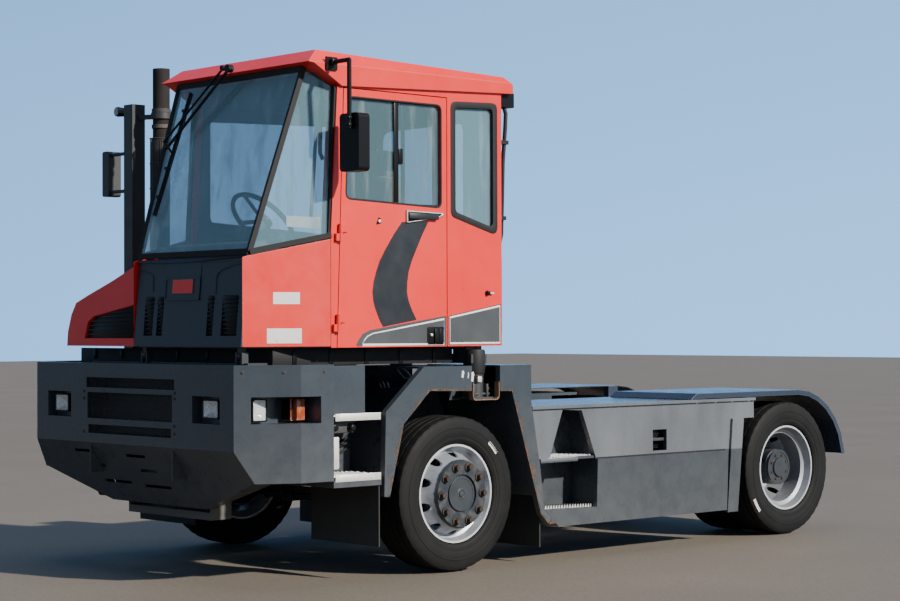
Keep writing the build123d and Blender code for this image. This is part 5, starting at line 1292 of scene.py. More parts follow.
@dataclass
class Wheels:
    """What is bolted to the rims: nuts with their sockets, and hub caps."""

    stud_radius: float = 0.1675
    studs: int = 10
    front_face: float = 1.238
    cap_face: float = 1.23
    rear_reach: float = 1.127
    rear_face: float = 0.911
    cap_profile: Line = (
        (-0.002, 0.1045), (0.0045, 0.1045), (0.0065, 0.102), (0.0065, 0.094), (0.004, 0.092), (0.004, 0.034),
        (0.006, 0.031), (0.006, 0.024), (0.0035, 0.021), (0.0095, 0.016), (0.011, 0.0),
    )
    flange: Line = (
        (0.0, 0.124), (0.003, 0.124), (0.004, 0.108), (0.001, 0.106), (0.001, 0.07),
        (0.014, 0.066), (0.016, 0.03), (0.014, 0.0),
    )
    socket: Line = ((-0.002, 0.031), (0.0008, 0.031), (0.0014, 0.029), (0.0014, 0.0))
    nut_size: Flat = (0.0195, 0.0295)
    hub_bolts: int = 8
    hub_bolt_radius: float = 0.088
    hub_bolt_size: Flat = (0.009, 0.007)

    def turned(self, side: float, profile: Line, spots: list[Point], segments: int) -> Shell:
        """Turned covers that face outwards.

        Args:
            side: 1 on the left, -1 on the right.
            profile: Distances outwards and radii.
            spots: Middles of the covers.
            segments: Faces round each of them.

        Returns:
            The covers' faces.
        """
        made = Shell()
        for spot in spots:
            made.lathe([(side * a, r) for a, r in profile], spot, segments)
        return made

    def build(self, shop: Workshop, paint: Finishes, bolts: BoltMaker) -> None:
        """Dresses the four hubs."""
        shop.paint(["wheel_front_left", "wheel_front_right"], paint.front_wheel)
        shop.paint(["wheels_rear_left", "wheels_rear_right"], paint.rear_wheel)
        for side in Side:
            name, out = side.name.lower(), side.value
            front, rear = f"front_{name}_wheel", f"rear_{name}_wheels"
            nuts = stud_ring(out, self.front_face, FRONT_AXLE_Y, self.stud_radius, self.studs)
            bolts.fasten(shop, f"nuts_{front}", nuts, front, "wheel_silver", *self.nut_size)
            rear_nuts = stud_ring(out, self.rear_face, REAR_AXLE_Y, self.stud_radius, self.studs)
            bolts.fasten(shop, f"nuts_{rear}", rear_nuts, rear, "wheel_silver", *self.nut_size)
            front_hub = (out * self.cap_face, FRONT_AXLE_Y, AXLE_Z)
            rear_hub = (out * self.rear_reach, REAR_AXLE_Y, AXLE_Z)
            for piece, profile, places, segments, finish, body in (
                ("nut_sockets", self.socket, [place for place, way in nuts], 20, paint.rubber, front),
                ("hub_cap", self.cap_profile, [front_hub], 40, paint.hub, front),
                ("rear_hub_cap", self.flange, [rear_hub], 36, paint.hub, rear),
            ):
                cover = self.turned(out, profile, places, segments)
                shop.piece(f"{piece}_{name}", cover, [finish], body, "wheel_silver")
            spots = stud_ring(out, self.rear_reach + 0.001, REAR_AXLE_Y, self.hub_bolt_radius, self.hub_bolts, 0.5)
            bolts.fasten(shop, f"rear_hub_bolts_{name}", spots, rear, "wheel_silver", *self.hub_bolt_size)


# Bumper


class MeshMaker(Repeater):
    """Expanded steel mesh: a turned grid whose edges become strands, cut to a rectangle."""

    def __init__(self, finish: bpy.types.Material) -> None:
        """Builds the tree.

        Args:
            finish: The mesh's material.
        """
        super().__init__("expanded_mesh", finish)
        limits = {"X": self.size("Half width", 0.48), "Z": self.size("Half height", 0.19)}
        pitch, strand = self.size("Pitch", 0.033), self.size("Strand", 0.0022)
        lines = 64
        wide = self.reckon("MULTIPLY", pitch, (lines - 1) / math.sqrt(2))
        feeds = {"Vertices X": lines, "Vertices Y": lines, "Size X": wide, "Size Y": wide}
        sheet = self.node("GeometryNodeMeshGrid", feeds).outputs["Mesh"]
        for turn, scale in (((0, 0, math.radians(45)), (1, 1, 1)), ((math.radians(90), 0, 0), (1, 0.62, 1))):
            feeds = {"Rotation": turn, "Scale": scale, "Geometry": sheet}
            sheet = self.node("GeometryNodeTransform", feeds).outputs["Geometry"]
        place = self.node("GeometryNodeInputPosition").outputs[0]
        parts = self.node("ShaderNodeSeparateXYZ", {0: place})
        over = [self.reckon("GREATER_THAN", self.reckon("ABSOLUTE", parts.outputs[key]), limits[key]) for key in "XZ"]
        feeds = {"Geometry": sheet, "Selection": self.reckon("MAXIMUM", *over)}
        cut = self.node("GeometryNodeDeleteGeometry", feeds, domain="POINT")
        curves = self.node("GeometryNodeMeshToCurve", {"Mesh": cut.outputs["Geometry"]})
        ring = self.node("GeometryNodeCurvePrimitiveCircle", {"Resolution": 4, "Radius": strand})
        feeds = {"Curve": curves.outputs["Curve"], "Profile Curve": ring.outputs["Curve"], "Fill Caps": True}
        self.close(self.node("GeometryNodeCurveToMesh", feeds).outputs["Mesh"])

    def panel(self, name: str, centre: Point, half_wide: float, half_high: float) -> bpy.types.Object:
        """A sheet of mesh at its place.

        Args:
            name: The sheet's name.
            centre: Middle of the sheet.
            half_wide: Half of its width.
            half_high: Half of its height.

        Returns:
            The sheet as a plain mesh object at the origin.
        """
        mesh = bpy.data.meshes.new(f"{name}_seed")
        mesh.from_pydata([(0, 0, 0)], [], [])
        thing = self.run(name, mesh, {"Half width": half_wide, "Half height": half_high})
        thing.data.transform(Matrix.Translation(centre))
        return thing


@dataclass
class Bumper:
    """Steel bumper with its mesh, lamps and bolts."""

    front_y: float = -2.697
    lamp_rim: float = 0.008
    bowl: Line = ((1.0, 0.006), (0.8, 0.018), (0.5, 0.028), (0.15, 0.032))
    face_bolts: Line = (
        (-0.493, 1.091), (-0.493, 1.048), (-0.494, 0.845),
        (0.466, 1.099), (0.466, 1.065), (0.463, 0.908), (0.463, 0.862),
    )

    def lamp_unit(self, x: Flat, y_front: float, z: Flat, depth: float) -> Shell:
        """A rectangular lamp that faces forwards: housing, reflector and lens.

        Args:
            x: Low and high side.
            y_front: Face of the lens.
            z: Low and high edge.
            depth: Depth of the housing.

        Returns:
            Faces: 0 housing, 1 reflector, 2 lens.
        """
        (left, right), (low, high), rim = x, z, self.lamp_rim
        face = rounded(rectangle(x, z), 0.014)
        inner = rounded(rectangle((left + rim, right - rim), (low + rim, high - rim)), 0.01)
        shell = band(face, inner, Axis.Y, y_front - 0.003, y_front + depth)
        shell.slab(face, Axis.Y, y_front + depth, y_front + depth + 0.004)
        mid_x, mid_z = (left + right) / 2, (low + high) / 2
        points = [
            (mid_x + (a - mid_x) * share, y_front + deep, mid_z + (b - mid_z) * share)
            for share, deep in self.bowl for a, b in inner
        ]
        count, last = len(inner), len(self.bowl) - 1
        faces = []
        for start in range(0, last * count, count):
            for i in range(count):
                j = (i + 1) % count
                faces.append((start + i, start + j, start + count + j, start + count + i))
        faces.append(tuple(last * count + i for i in range(count)))
        shell.add(points, faces, 1)
        shell.slab(inner, Axis.Y, y_front, y_front + 0.004, 2)
        return shell

    def build(self, shop: Workshop, paint: Finishes, bolts: BoltMaker) -> None:
        """Makes the bumper's pieces."""
        shop.dressed("front_bumper", paint.chassis, paint.chassis_edge, 0.004, "chassis", bend=0.03)
        mesh = MeshMaker(paint.black).panel("grille_mesh", (-0.003, self.front_y + 0.0155, 1.007), 0.478, 0.186)
        shop.fit(mesh, "chassis", ("bumper_grille",))
        lamps = Shell()
        for side in Side:
            lamps.join(self.lamp_unit(mirrored(side.value, 0.705, 0.862), self.front_y + 0.0247, (0.958, 1.068), 0.035))
        for side in Side:
            corner = self.lamp_unit((-2.587, -2.482), 0.0, (0.945, 1.075), 0.04)
            turned = Shell()
            turned.points = [Vector((side.value * (1.06 - p.y), p.x, p.z)) for p in corner.points]
            turned.faces, turned.marks = corner.faces, corner.marks
            lamps.join(turned)
        shop.piece(
            "lamp_units", lamps,
            [paint.plastic, paint.reflector, paint.clear_lens],
            "chassis", "lamp_clear", replaces=("headlamps",)
        )
        amber = Shell()
        for side in Side:
            amber.box(mirrored(side.value, 1.0103, 1.128), (-2.321, -2.261), (0.948, 1.072))
            amber.box(mirrored(side.value, 1.0103, 1.1), (-2.345, -2.322), (0.945, 1.075), 1)
        shop.piece(
            "corner_indicators", amber, [paint.amber_lens, paint.plastic],
            "chassis", "lamp_amber", bevel=0.006, replaces=("indicator_lamps",)
        )
        ends = []
        for side in Side:
            for x, y in ((1.0605, -2.653), (1.1745, -2.449)):
                ends.append(((side.value * x, y, 1.226), (side.value * 0.335, -0.187, 0)))
            ends.append(((side.value * 1.2315, -2.202, 1.226), (side.value, 0, 0)))
        spots = [((x, self.front_y - 0.0005, z), (0, -1, 0)) for x, z in self.face_bolts]
        bolts.fasten(shop, "bumper_bolts", spots, "chassis", "chassis_grey", 0.007, 0.004)
        bolts.fasten(shop, "bumper_side_bolts", ends, "chassis", "chassis_grey", 0.009, 0.006)


# Cab


@dataclass
class CabShell:
    """Red sheet-metal cab with its stripes, seals, glass and plates."""

    side_x: float = CAB_SIDE_X
    foil: float = 0.0008
    red_nodes: tuple[tuple[str, float], ...] = (
        ("cab_roof", 0.007), ("quarter_panels", 0.004), ("cab_left_wall", 0.003),
        ("cab_right_wall", 0.004), ("cab_rear_wall", 0.004), ("side_hood", 0.006),
    )
    door_window: Line = ((-2.015, 2.218), (-1.993, 2.808), (-1.27, 2.808), (-1.27, 2.192))
    rear_side_window: Line = ((-1.183, 2.152), (-1.183, 2.83), (-0.813, 2.845), (-0.813, 2.05))
    right_window: Line = ((-1.993, 2.12), (-1.993, 2.79), (-0.853, 2.83), (-0.853, 2.06))
    rear_window: Line = ((0.06, 2.06), (0.06, 2.78), (0.92, 2.78), (0.92, 2.06))
    right_lining: Line = ((-2.1, 1.42), (-2.03, 2.86), (-0.815, 2.9), (-0.815, 1.42))
    rear_lining: Line = ((-0.16, 1.42), (-0.16, 2.9), (1.1, 2.9), (1.1, 1.42))
    swoosh: Line = (
        (-1.586, 2.097), (-1.652, 2.02), (-1.719, 1.928), (-1.762, 1.86), (-1.789, 1.798), (-1.808, 1.74),
        (-1.816, 1.682), (-1.811, 1.63), (-1.797, 1.588), (-1.77, 1.53), (-1.736, 1.478), (-1.473, 1.519),
        (-1.495, 1.555), (-1.516, 1.59), (-1.538, 1.64), (-1.548, 1.684), (-1.546, 1.74), (-1.535, 1.803),
        (-1.51, 1.868), (-1.475, 1.934), (-1.43, 2.018), (-1.375, 2.108),
    )
    door_panel: Line = (
        (-1.942, 1.368), (-1.922, 1.405), (-1.893, 1.437),
        (-1.836, 1.46), (-1.234, 1.544), (-1.234, 1.366)
    )
    door_line: Line = (
        (-1.895, 1.374), (-1.88, 1.402), (-1.855, 1.424),
        (-1.813, 1.44), (-1.252, 1.524), (-1.252, 1.374)
    )
    rear_panel: Line = ((-1.214, 1.543), (-0.774, 1.618), (-0.774, 1.368), (-1.214, 1.368))
    rear_line: Line = ((-1.203, 1.533), (-0.784, 1.605), (-0.784, 1.378), (-1.203, 1.378))

    def foil_patch(self, outline: Line, lift: float = 0.0) -> Shell:
        """A foil on the cab's left side."""
        shell = Shell()
        shell.slab(outline, Axis.X, self.side_x - 0.002, self.side_x + self.foil + lift)
        return shell

    def line(self, outline: Line) -> Shell:
        """A thin painted line round an outline on the cab's left side."""
        shell = Shell()
        shell.tube([(self.side_x + self.foil, y, z) for y, z in outline], 0.0012, 6, closed=True, flat=3.4)
        return shell

    def seal(self, outline: Line, axis: Axis, level: float, radius: float, corner: float = 0.04) -> Shell:
        """A rubber bead round a window."""
        shell = Shell()
        shell.tube([lifted(pair, axis, level) for pair in rounded(outline, corner)], radius, 8, closed=True)
        return shell

    def stickers(self, shop: Workshop, paint: Finishes) -> None:
        """Bare white plates on the corner panel and behind the corner glass."""
        way = Vector((0.17, 0.503, 0)).normalized()
        out = Vector((way.y, -way.x, 0))
        plates = Shell()
        for first, wide, low, high in (((1.089, -2.459), 0.16, 1.609, 1.676), ((1.077, -2.494), 0.208, 1.387, 1.471)):
            start = Vector((*first, 0))
            corners = ((0, low), (wide, low), (wide, high), (0, high))
            points = [
                start + way * along + out * lift + Vector((0, 0, z))
                for lift in (-0.001, 0.0012) for along, z in corners
            ]
            plates.add(points, CUBE_FACES)
        shop.piece("blank_stickers", plates, [paint.white], "cab", "cab_red")
        behind = Shell()
        pane = ((1.097, -2.364, 2.05), (1.165, -2.174, 2.042), (1.165, -2.171, 2.107), (1.097, -2.364, 2.112))
        corners = [Vector(p) for p in pane]
        inward = (corners[1] - corners[0]).cross(corners[3] - corners[0]).normalized()
        if inward.x > 0:
            inward = -inward
        behind.add([c + inward * d for d in (0.012, 0.014) for c in corners], CUBE_FACES)
        shop.piece("blank_window_plate", behind, [paint.white], "cab", "tinted_glass")

    def front_pockets(self, shop: Workshop, paint: Finishes) -> None:
        """Dark louvred backs in the front panel's four pockets."""
        foot = row_y(-1.5)
        backs = Shell()
        for low, high in ((0.06, 0.15), (0.19, 0.25), (0.69, 0.75), (0.83, 0.98)):
            backs.box((low + 0.002, high - 0.002), (foot + 0.024, foot + 0.034), (1.432, 1.658))
            for k in range(9):
                z = 1.442 + 0.0245 * k
                backs.box((low + 0.004, high - 0.004), (foot + 0.015, foot + 0.025), (z, z + 0.009))
        shop.piece("front_pocket_louvres", backs, [paint.plastic], "cab", "black_plastic", bevel=0.0015)

    def front_creases(self, shop: Workshop, paint: Finishes) -> None:
        """Moulded brow, creases and a plain plate on the slanted front panel, with a dark band painted as the shadow
        under the plate recess's top edge.
        """
        made = Shell()
        left = [(-0.026, 1.826), (0.034, 1.812), (0.102, 1.797), (0.119, 1.785), (0.125, 1.761), (0.126, 1.69)]
        right = [(0.985, 1.84), (0.885, 1.825), (0.804, 1.807), (0.769, 1.789), (0.757, 1.762), (0.756, 1.668)]
        for line in (left, right):
            made.tube([(x, 0.0, z) for x, z in line], 0.006, 8)
        brow = [
            (-0.028, 1.869), (0.094, 1.863), (0.258, 1.859), (0.419, 1.857),
            (0.576, 1.86), (0.729, 1.867), (0.88, 1.872), (1.025, 1.875),
        ]
        points = [(x, y, level) for x, z in brow for y, level in ((0.002, z - 0.004), (-0.014, z), (0.002, 1.8795))]
        faces = [(0, 2, 1), (21, 22, 23)]
        for a in range(0, 21, 3):
            faces += [(a, a + 1, a + 4, a + 3), (a + 1, a + 2, a + 5, a + 4), (a + 2, a, a + 3, a + 5)]
        made.add(points, faces)
        made.box((0.262, 0.606), (-0.0025, 0.002), (1.64, 1.857))
        # The dark band (mark 1) over the plate recess is painted shadow under the recess's top edge.
        hood = [
            (0.262, 1.752), (0.272, 1.76), (0.596, 1.76), (0.606, 1.752),
            (0.604, 1.774), (0.59, 1.779), (0.278, 1.779), (0.264, 1.774),
        ]
        made.slab(hood, Axis.Y, -0.0055, 0.001, 1)
        for low in (0.262, 0.6):
            made.box((low, low + 0.006), (-0.006, 0.001), (1.645, 1.756))
        made.box((0.262, 0.606), (-0.009, 0.001), (1.636, 1.645))
        made.box((0.334, 0.542), (-0.006, 0.001), (1.674, 1.76), 3)
        made.box((0.338, 0.538), (-0.008, 0.001), (1.678, 1.756), 2)
        for point in made.points:
            point.y += row_y(-1.5) + 0.0875 * (point.z - 1.366)
        shop.piece(
            "front_panel_creases", made,
            [paint.front, paint.stripe, paint.red, paint.foil],
            "cab", "dark_plastic"
        )

    def door_fittings(self, shop: Workshop, paint: Finishes) -> None:
        """Handle, latch box, key lock and the sliding pane's rails."""
        x = self.side_x
        handle = Shell()
        rim = [(-1.556, 2.092), (-1.33, 2.122), (-1.262, 2.146), (-1.266, 2.162), (-1.556, 2.168)]
        handle.slab(rim, Axis.X, x - 0.002, x + 0.012, 1)
        pan = [(-1.549, 2.099), (-1.335, 2.128), (-1.278, 2.147), (-1.28, 2.156), (-1.549, 2.162)]
        handle.slab(pan, Axis.X, x + 0.004, x + 0.0145)
        handle.box((x - 0.002, x + 0.0235), (-1.5455, -1.3105), (2.1175, 2.1525), 2)
        shop.piece(
            "door_handle_frame", handle, [paint.plastic, paint.white, paint.stripe],
            "door", "cab_red", bevel=0.0025
        )
        box = Shell()
        plate = rounded(rectangle((-1.389, -1.256), (1.372, 1.478)), 0.012)
        box.slab(plate, Axis.X, x - 0.002, x + 0.005)
        for y, out in (((-1.336, -1.3), 0.014), ((-1.292, -1.264), 0.009)):
            box.slab(rectangle(y, (1.384, 1.466)), Axis.X, x + 0.002, x + out)
        box.lathe([(0.0, 0.01), (0.012, 0.01), (0.014, 0.006), (0.014, 0.0)], (x + 0.002, -1.362, 1.43), 16, mark=1)
        shop.piece("door_latch_box", box, [paint.plastic, paint.aluminium], "door", "cab_red", bevel=0.002)
        lock = Shell()
        lock.slab([(-1.786, 2.076), (-1.75, 2.084), (-1.754, 2.112), (-1.768, 2.118)], Axis.X, x - 0.001, x + 0.004)
        lock.lathe([(0.0, 0.009), (0.008, 0.009), (0.009, 0.007), (0.009, 0.0)], (x, -1.764, 2.096), 14, mark=1)
        shop.piece("door_lock", lock, [paint.plastic, paint.aluminium], "door", "cab_red")
        slide = Shell()
        slide.box((1.186, 1.194), (-1.64, -1.606), (2.196, 2.806))
        slide.box((1.166, 1.174), (-1.566, -1.538), (2.196, 2.806))
        slide.box((1.164, 1.196), (-2.008, -1.272), (2.19, 2.206))
        slide.box((1.18, 1.192), (-1.6, -1.57), (2.44, 2.53), 1)
        shop.piece("sliding_pane_rails", slide, [paint.plastic, paint.plastic], "door", "black_plastic", bevel=0.0015)

    def linings(self, shop: Workshop, paint: Finishes) -> None:
        """Moulded linings inside the walls and under the roof, and the grab rails."""
        for name, outer, window, corner, axis, low, high in (
            ("right_lining", self.right_lining, self.right_window, 0.045, Axis.X, -0.172, -0.166),
            ("rear_lining", self.rear_lining, self.rear_window, 0.075, Axis.Y, -0.818, -0.812),
        ):
            lining = band(rounded(outer, 0.01), rounded(shifted(window, 0.012), corner), axis, low, high)
            shop.piece(name, lining, [paint.trim], "cab", "dark_plastic")
        roof = Shell()
        rows = [(-2.2, 2.955), (-2.05, 2.852), (-1.4, 2.87), (-0.82, 2.892)]
        points = [(x, y, z - drop) for y, z in rows for drop in (0.0, 0.012) for x in (-0.16, 1.13)]
        faces = []
        for k in range(3):
            a = 4 * k
            faces += [(a, a + 1, a + 5, a + 4), (a + 2, a + 6, a + 7, a + 3)]
            faces += [(a, a + 4, a + 6, a + 2), (a + 1, a + 3, a + 7, a + 5)]
        faces += [(0, 2, 3, 1), (12, 13, 15, 14)]
        roof.add(points, faces)
        roof.box((0.1, 0.44), (-1.75, -1.45), (2.815, 2.85))
        shop.piece("roof_lining", roof, [paint.trim], "cab", "dark_plastic", bevel=0.002)
        posts = Shell()
        posts.tube([(1.11, -2.15, 2.87), (1.118, -2.168, 2.6), (1.126, -2.215, 2.1)], 0.011, 8)
        rail = [
            (1.112, -2.1, 2.79), (1.105, -2.12, 2.76), (1.108, -2.13, 2.62),
            (1.112, -2.135, 2.48), (1.12, -2.12, 2.44)
        ]
        posts.tube(rail, 0.012, 8)
        shop.piece("grab_rails", posts, [paint.plastic], "cab", "black_plastic")

    def build(self, shop: Workshop, paint: Finishes) -> None:
        """Makes the cab's outer pieces."""
        for node, width in self.red_nodes:
            shop.dressed(node, paint.red, paint.red_edge, width, "cab")
        shop.dressed("door_left", paint.red, paint.red_edge, 0.003, "door")
        shop.dressed("front_panel", paint.front, paint.front, 0.006, "cab")
        shop.paint(["cab_glass"], paint.glass)
        shop.paint(["door_window"], paint.side_glass)
        shop.paint(["screen_frame"], paint.rubber)
        shop.paint(["cab_floor"], paint.black)
        for name, shell, finish, body in (
            ("door_swoosh", self.foil_patch(self.swoosh), paint.stripe, "door"),
            ("door_lower_foil", self.foil_patch(self.door_panel, 0.0004), paint.foil, "door"),
            ("door_lower_line", self.line(self.door_line), paint.white, "door"),
            ("rear_lower_foil", self.foil_patch(self.rear_panel), paint.foil, "cab"),
            ("rear_lower_line", self.line(self.rear_line), paint.white, "cab"),
        ):
            shop.piece(name, shell, [finish], body, "cab_red")
        seal = self.seal(self.door_window, Axis.X, 1.196, 0.007)
        shop.piece("door_window_seal", seal, [paint.rubber], "door", "black_rubber")
        seals = Shell()
        for window, (grow, outer), (shrink, inner), axis, low, high in (
            (self.rear_side_window, (-0.01, 0.045), (0.028, 0.03), Axis.X, 1.183, 1.2035),
            (self.right_window, (-0.012, 0.045), (0.022, 0.035), Axis.X, -0.2235, -0.203),
            (self.rear_window, (-0.012, 0.095), (0.022, 0.075), Axis.Y, -0.783, -0.7625),
        ):
            edge, hole = shifted(window, grow), shifted(window, shrink)
            seals.join(band(rounded(edge, outer), rounded(hole, inner), axis, low, high))
        shop.piece("fixed_window_seals", seals, [paint.rubber], "cab", "black_rubber", bevel=0.002)
        self.stickers(shop, paint)
        self.front_pockets(shop, paint)
        self.front_creases(shop, paint)
        self.door_fittings(shop, paint)
        self.linings(shop, paint)
        knob = Shell()
        profile = [(0.0, 0.016), (0.006, 0.016), (0.01, 0.012), (0.022, 0.011), (0.024, 0.008), (0.024, 0.0)]
        knob.lathe(profile, (CAB_SIDE_X, -0.893, 1.684), 18)
        knob.box((1.214, 1.221), (-0.89, -0.85), (1.68, 1.688), 1)
        shop.piece("side_latch_knob", knob, [paint.plastic, paint.aluminium], "cab", "black_plastic")


@dataclass
class CabFittings:
    """Hood vent, mirror glasses and clamps, rear duct, lamp and conduit, and the wiper's clips."""

    def build(self, shop: Workshop, paint: Finishes) -> None:
        """Makes the fittings."""
        shop.paint(["left_mirror", "rear_fittings", "wiper"], paint.plastic)
        slats = Shell()
        low_y = row_y(-1.4695)
        outline = [(-0.075, 1.416), (-0.075, 1.612), (-0.512, 1.546), (-0.577, 1.511), (-0.616, 1.416)]
        slats.slab(outline, Axis.Y, low_y + 0.016, low_y + 0.0215)
        for k in range(6):
            z = 1.435 + 0.027 * k
            reach = -0.6 + (z - 1.5) * 3.9 if z > 1.5 else -0.605 + (z - 1.416) * 0.35
            slats.box((reach, -0.079), (low_y + 0.003, low_y + 0.018), (z, z + 0.007))
        shop.piece("hood_vent_slats", slats, [paint.plastic], "cab", "black_plastic", bevel=0.001)
        for name, x, z, corner, back, body, slot in (
            ("left_mirror_glass", (1.3, 1.435), (2.38, 2.67), 0.02, -2.05, "cab", "black_plastic"),
            ("right_mirror_glass", (-1.442, -1.383), (2.376, 2.65), 0.012, -1.845, "chassis", "black_metal"),
        ):
            glass = Shell()
            glass.slab(rounded(rectangle(x, z), corner), Axis.Y, back, back + 0.0045)
            shop.piece(name, glass, [paint.mirror], body, slot)
        clamps = Shell()
        for z in (2.62, 2.66):
            clamps.box((1.368, 1.402), (-2.16, -2.126), (z - 0.008, z + 0.008))
        clamps.box((1.215, 1.262), (-2.162, -2.124), (2.974, 3.006))
        shop.piece("mirror_arm_clamps", clamps, [paint.plastic], "cab", "black_plastic", bevel=0.003)
        ribs = Shell()
        for k in range(16):
            z = 1.444 + 0.0295 * k
            ribs.box((0.966, 1.144), (-0.717, -0.711), (z, z + 0.014))
            ribs.box((1.1495, 1.154), (-0.757, -0.722), (z, z + 0.014))
        shop.piece("rear_duct_ribs", ribs, [paint.plastic], "cab", "black_plastic", bevel=0.0015)
        lamp = Shell()
        lamp.slab(rounded(rectangle((1.07, 1.17), (2.85, 2.915)), 0.012), Axis.Y, -0.637, -0.63)
        shop.piece("work_lamp_lens", lamp, [paint.clear_lens], "cab", "lamp_clear")
        duct = Shell()
        path = [
            (1.15, -0.7, 2.86), (1.162, -0.69, 2.8), (1.166, -0.7, 2.7), (1.168, -0.722, 2.5),
            (1.168, -0.73, 2.25), (1.16, -0.73, 2.05), (1.14, -0.735, 1.96), (1.12, -0.74, 1.9),
        ]
        duct.tube(path, 0.013, 10)
        for z, y in ((2.62, -0.708), (2.15, -0.731)):
            duct.box((1.148, 1.188), (-0.768, y + 0.018), (z - 0.012, z + 0.012))
        shop.piece("rear_conduit", duct, [paint.rubber], "cab", "black_plastic")
        blade = Shell()
        top, foot = Vector((0.1, -2.319, 2.9)), Vector((0.04, -2.547, 2.15))
        for share in (0.15, 0.38, 0.62, 0.85):
            x, y, z = top.lerp(foot, share)
            blade.box((x - 0.014, x + 0.014), (y - 0.016, y + 0.004), (z - 0.01, z + 0.01))
        lip = Vector((0, 0.016, -0.005))
        blade.tube([tuple(top + lip), tuple(foot + lip)], 0.004, 6)
        shop.piece("wiper_blade_clips", blade, [paint.rubber], "cab", "black_plastic")


# Steps, boxes and guards


class ToothMaker(Repeater):
    """Sets small cones in rows, as on pressed step treads."""

    def __init__(self, finish: bpy.types.Material) -> None:
        """Builds the tree.

        Args:
            finish: The teeth's material.
        """
        super().__init__("pressed_teeth", finish)
        radius, height = self.size("Tooth radius", 0.008), self.size("Tooth height", 0.006)
        top = self.reckon("MULTIPLY", radius, 0.45)
        feeds = {"Vertices": 8, "Radius Bottom": radius, "Radius Top": top, "Depth": height}
        cone = self.node("GeometryNodeMeshCone", feeds)
        feeds = {"Points": self.start.outputs["Geometry"], "Instance": cone.outputs["Mesh"]}
        self.close(self.node("GeometryNodeInstanceOnPoints", feeds).outputs["Instances"])

    def rows(self, name: str, x: Flat, y: Flat, z: float, pitch: float) -> bpy.types.Object:
        """Teeth on a level field.

        Args:
            name: Name of the result.
            x: Low and high x.
            y: Low and high y.
            z: Height of the field.
            pitch: Distance between teeth.

        Returns:
            The teeth as one mesh.
        """
        wide, deep = x[1] - x[0], y[1] - y[0]
        across, along = round(wide / pitch), round(deep / pitch)
        points = []
        for i in range(across + 1):
            for k in range(along + 1 - i % 2):
                points.append((x[0] + i * wide / across, y[0] + (k + 0.5 * (i % 2)) * deep / along, z))
        carrier = bpy.data.meshes.new(name)
        carrier.from_pydata(points, [], [])
        return self.run(name, carrier)


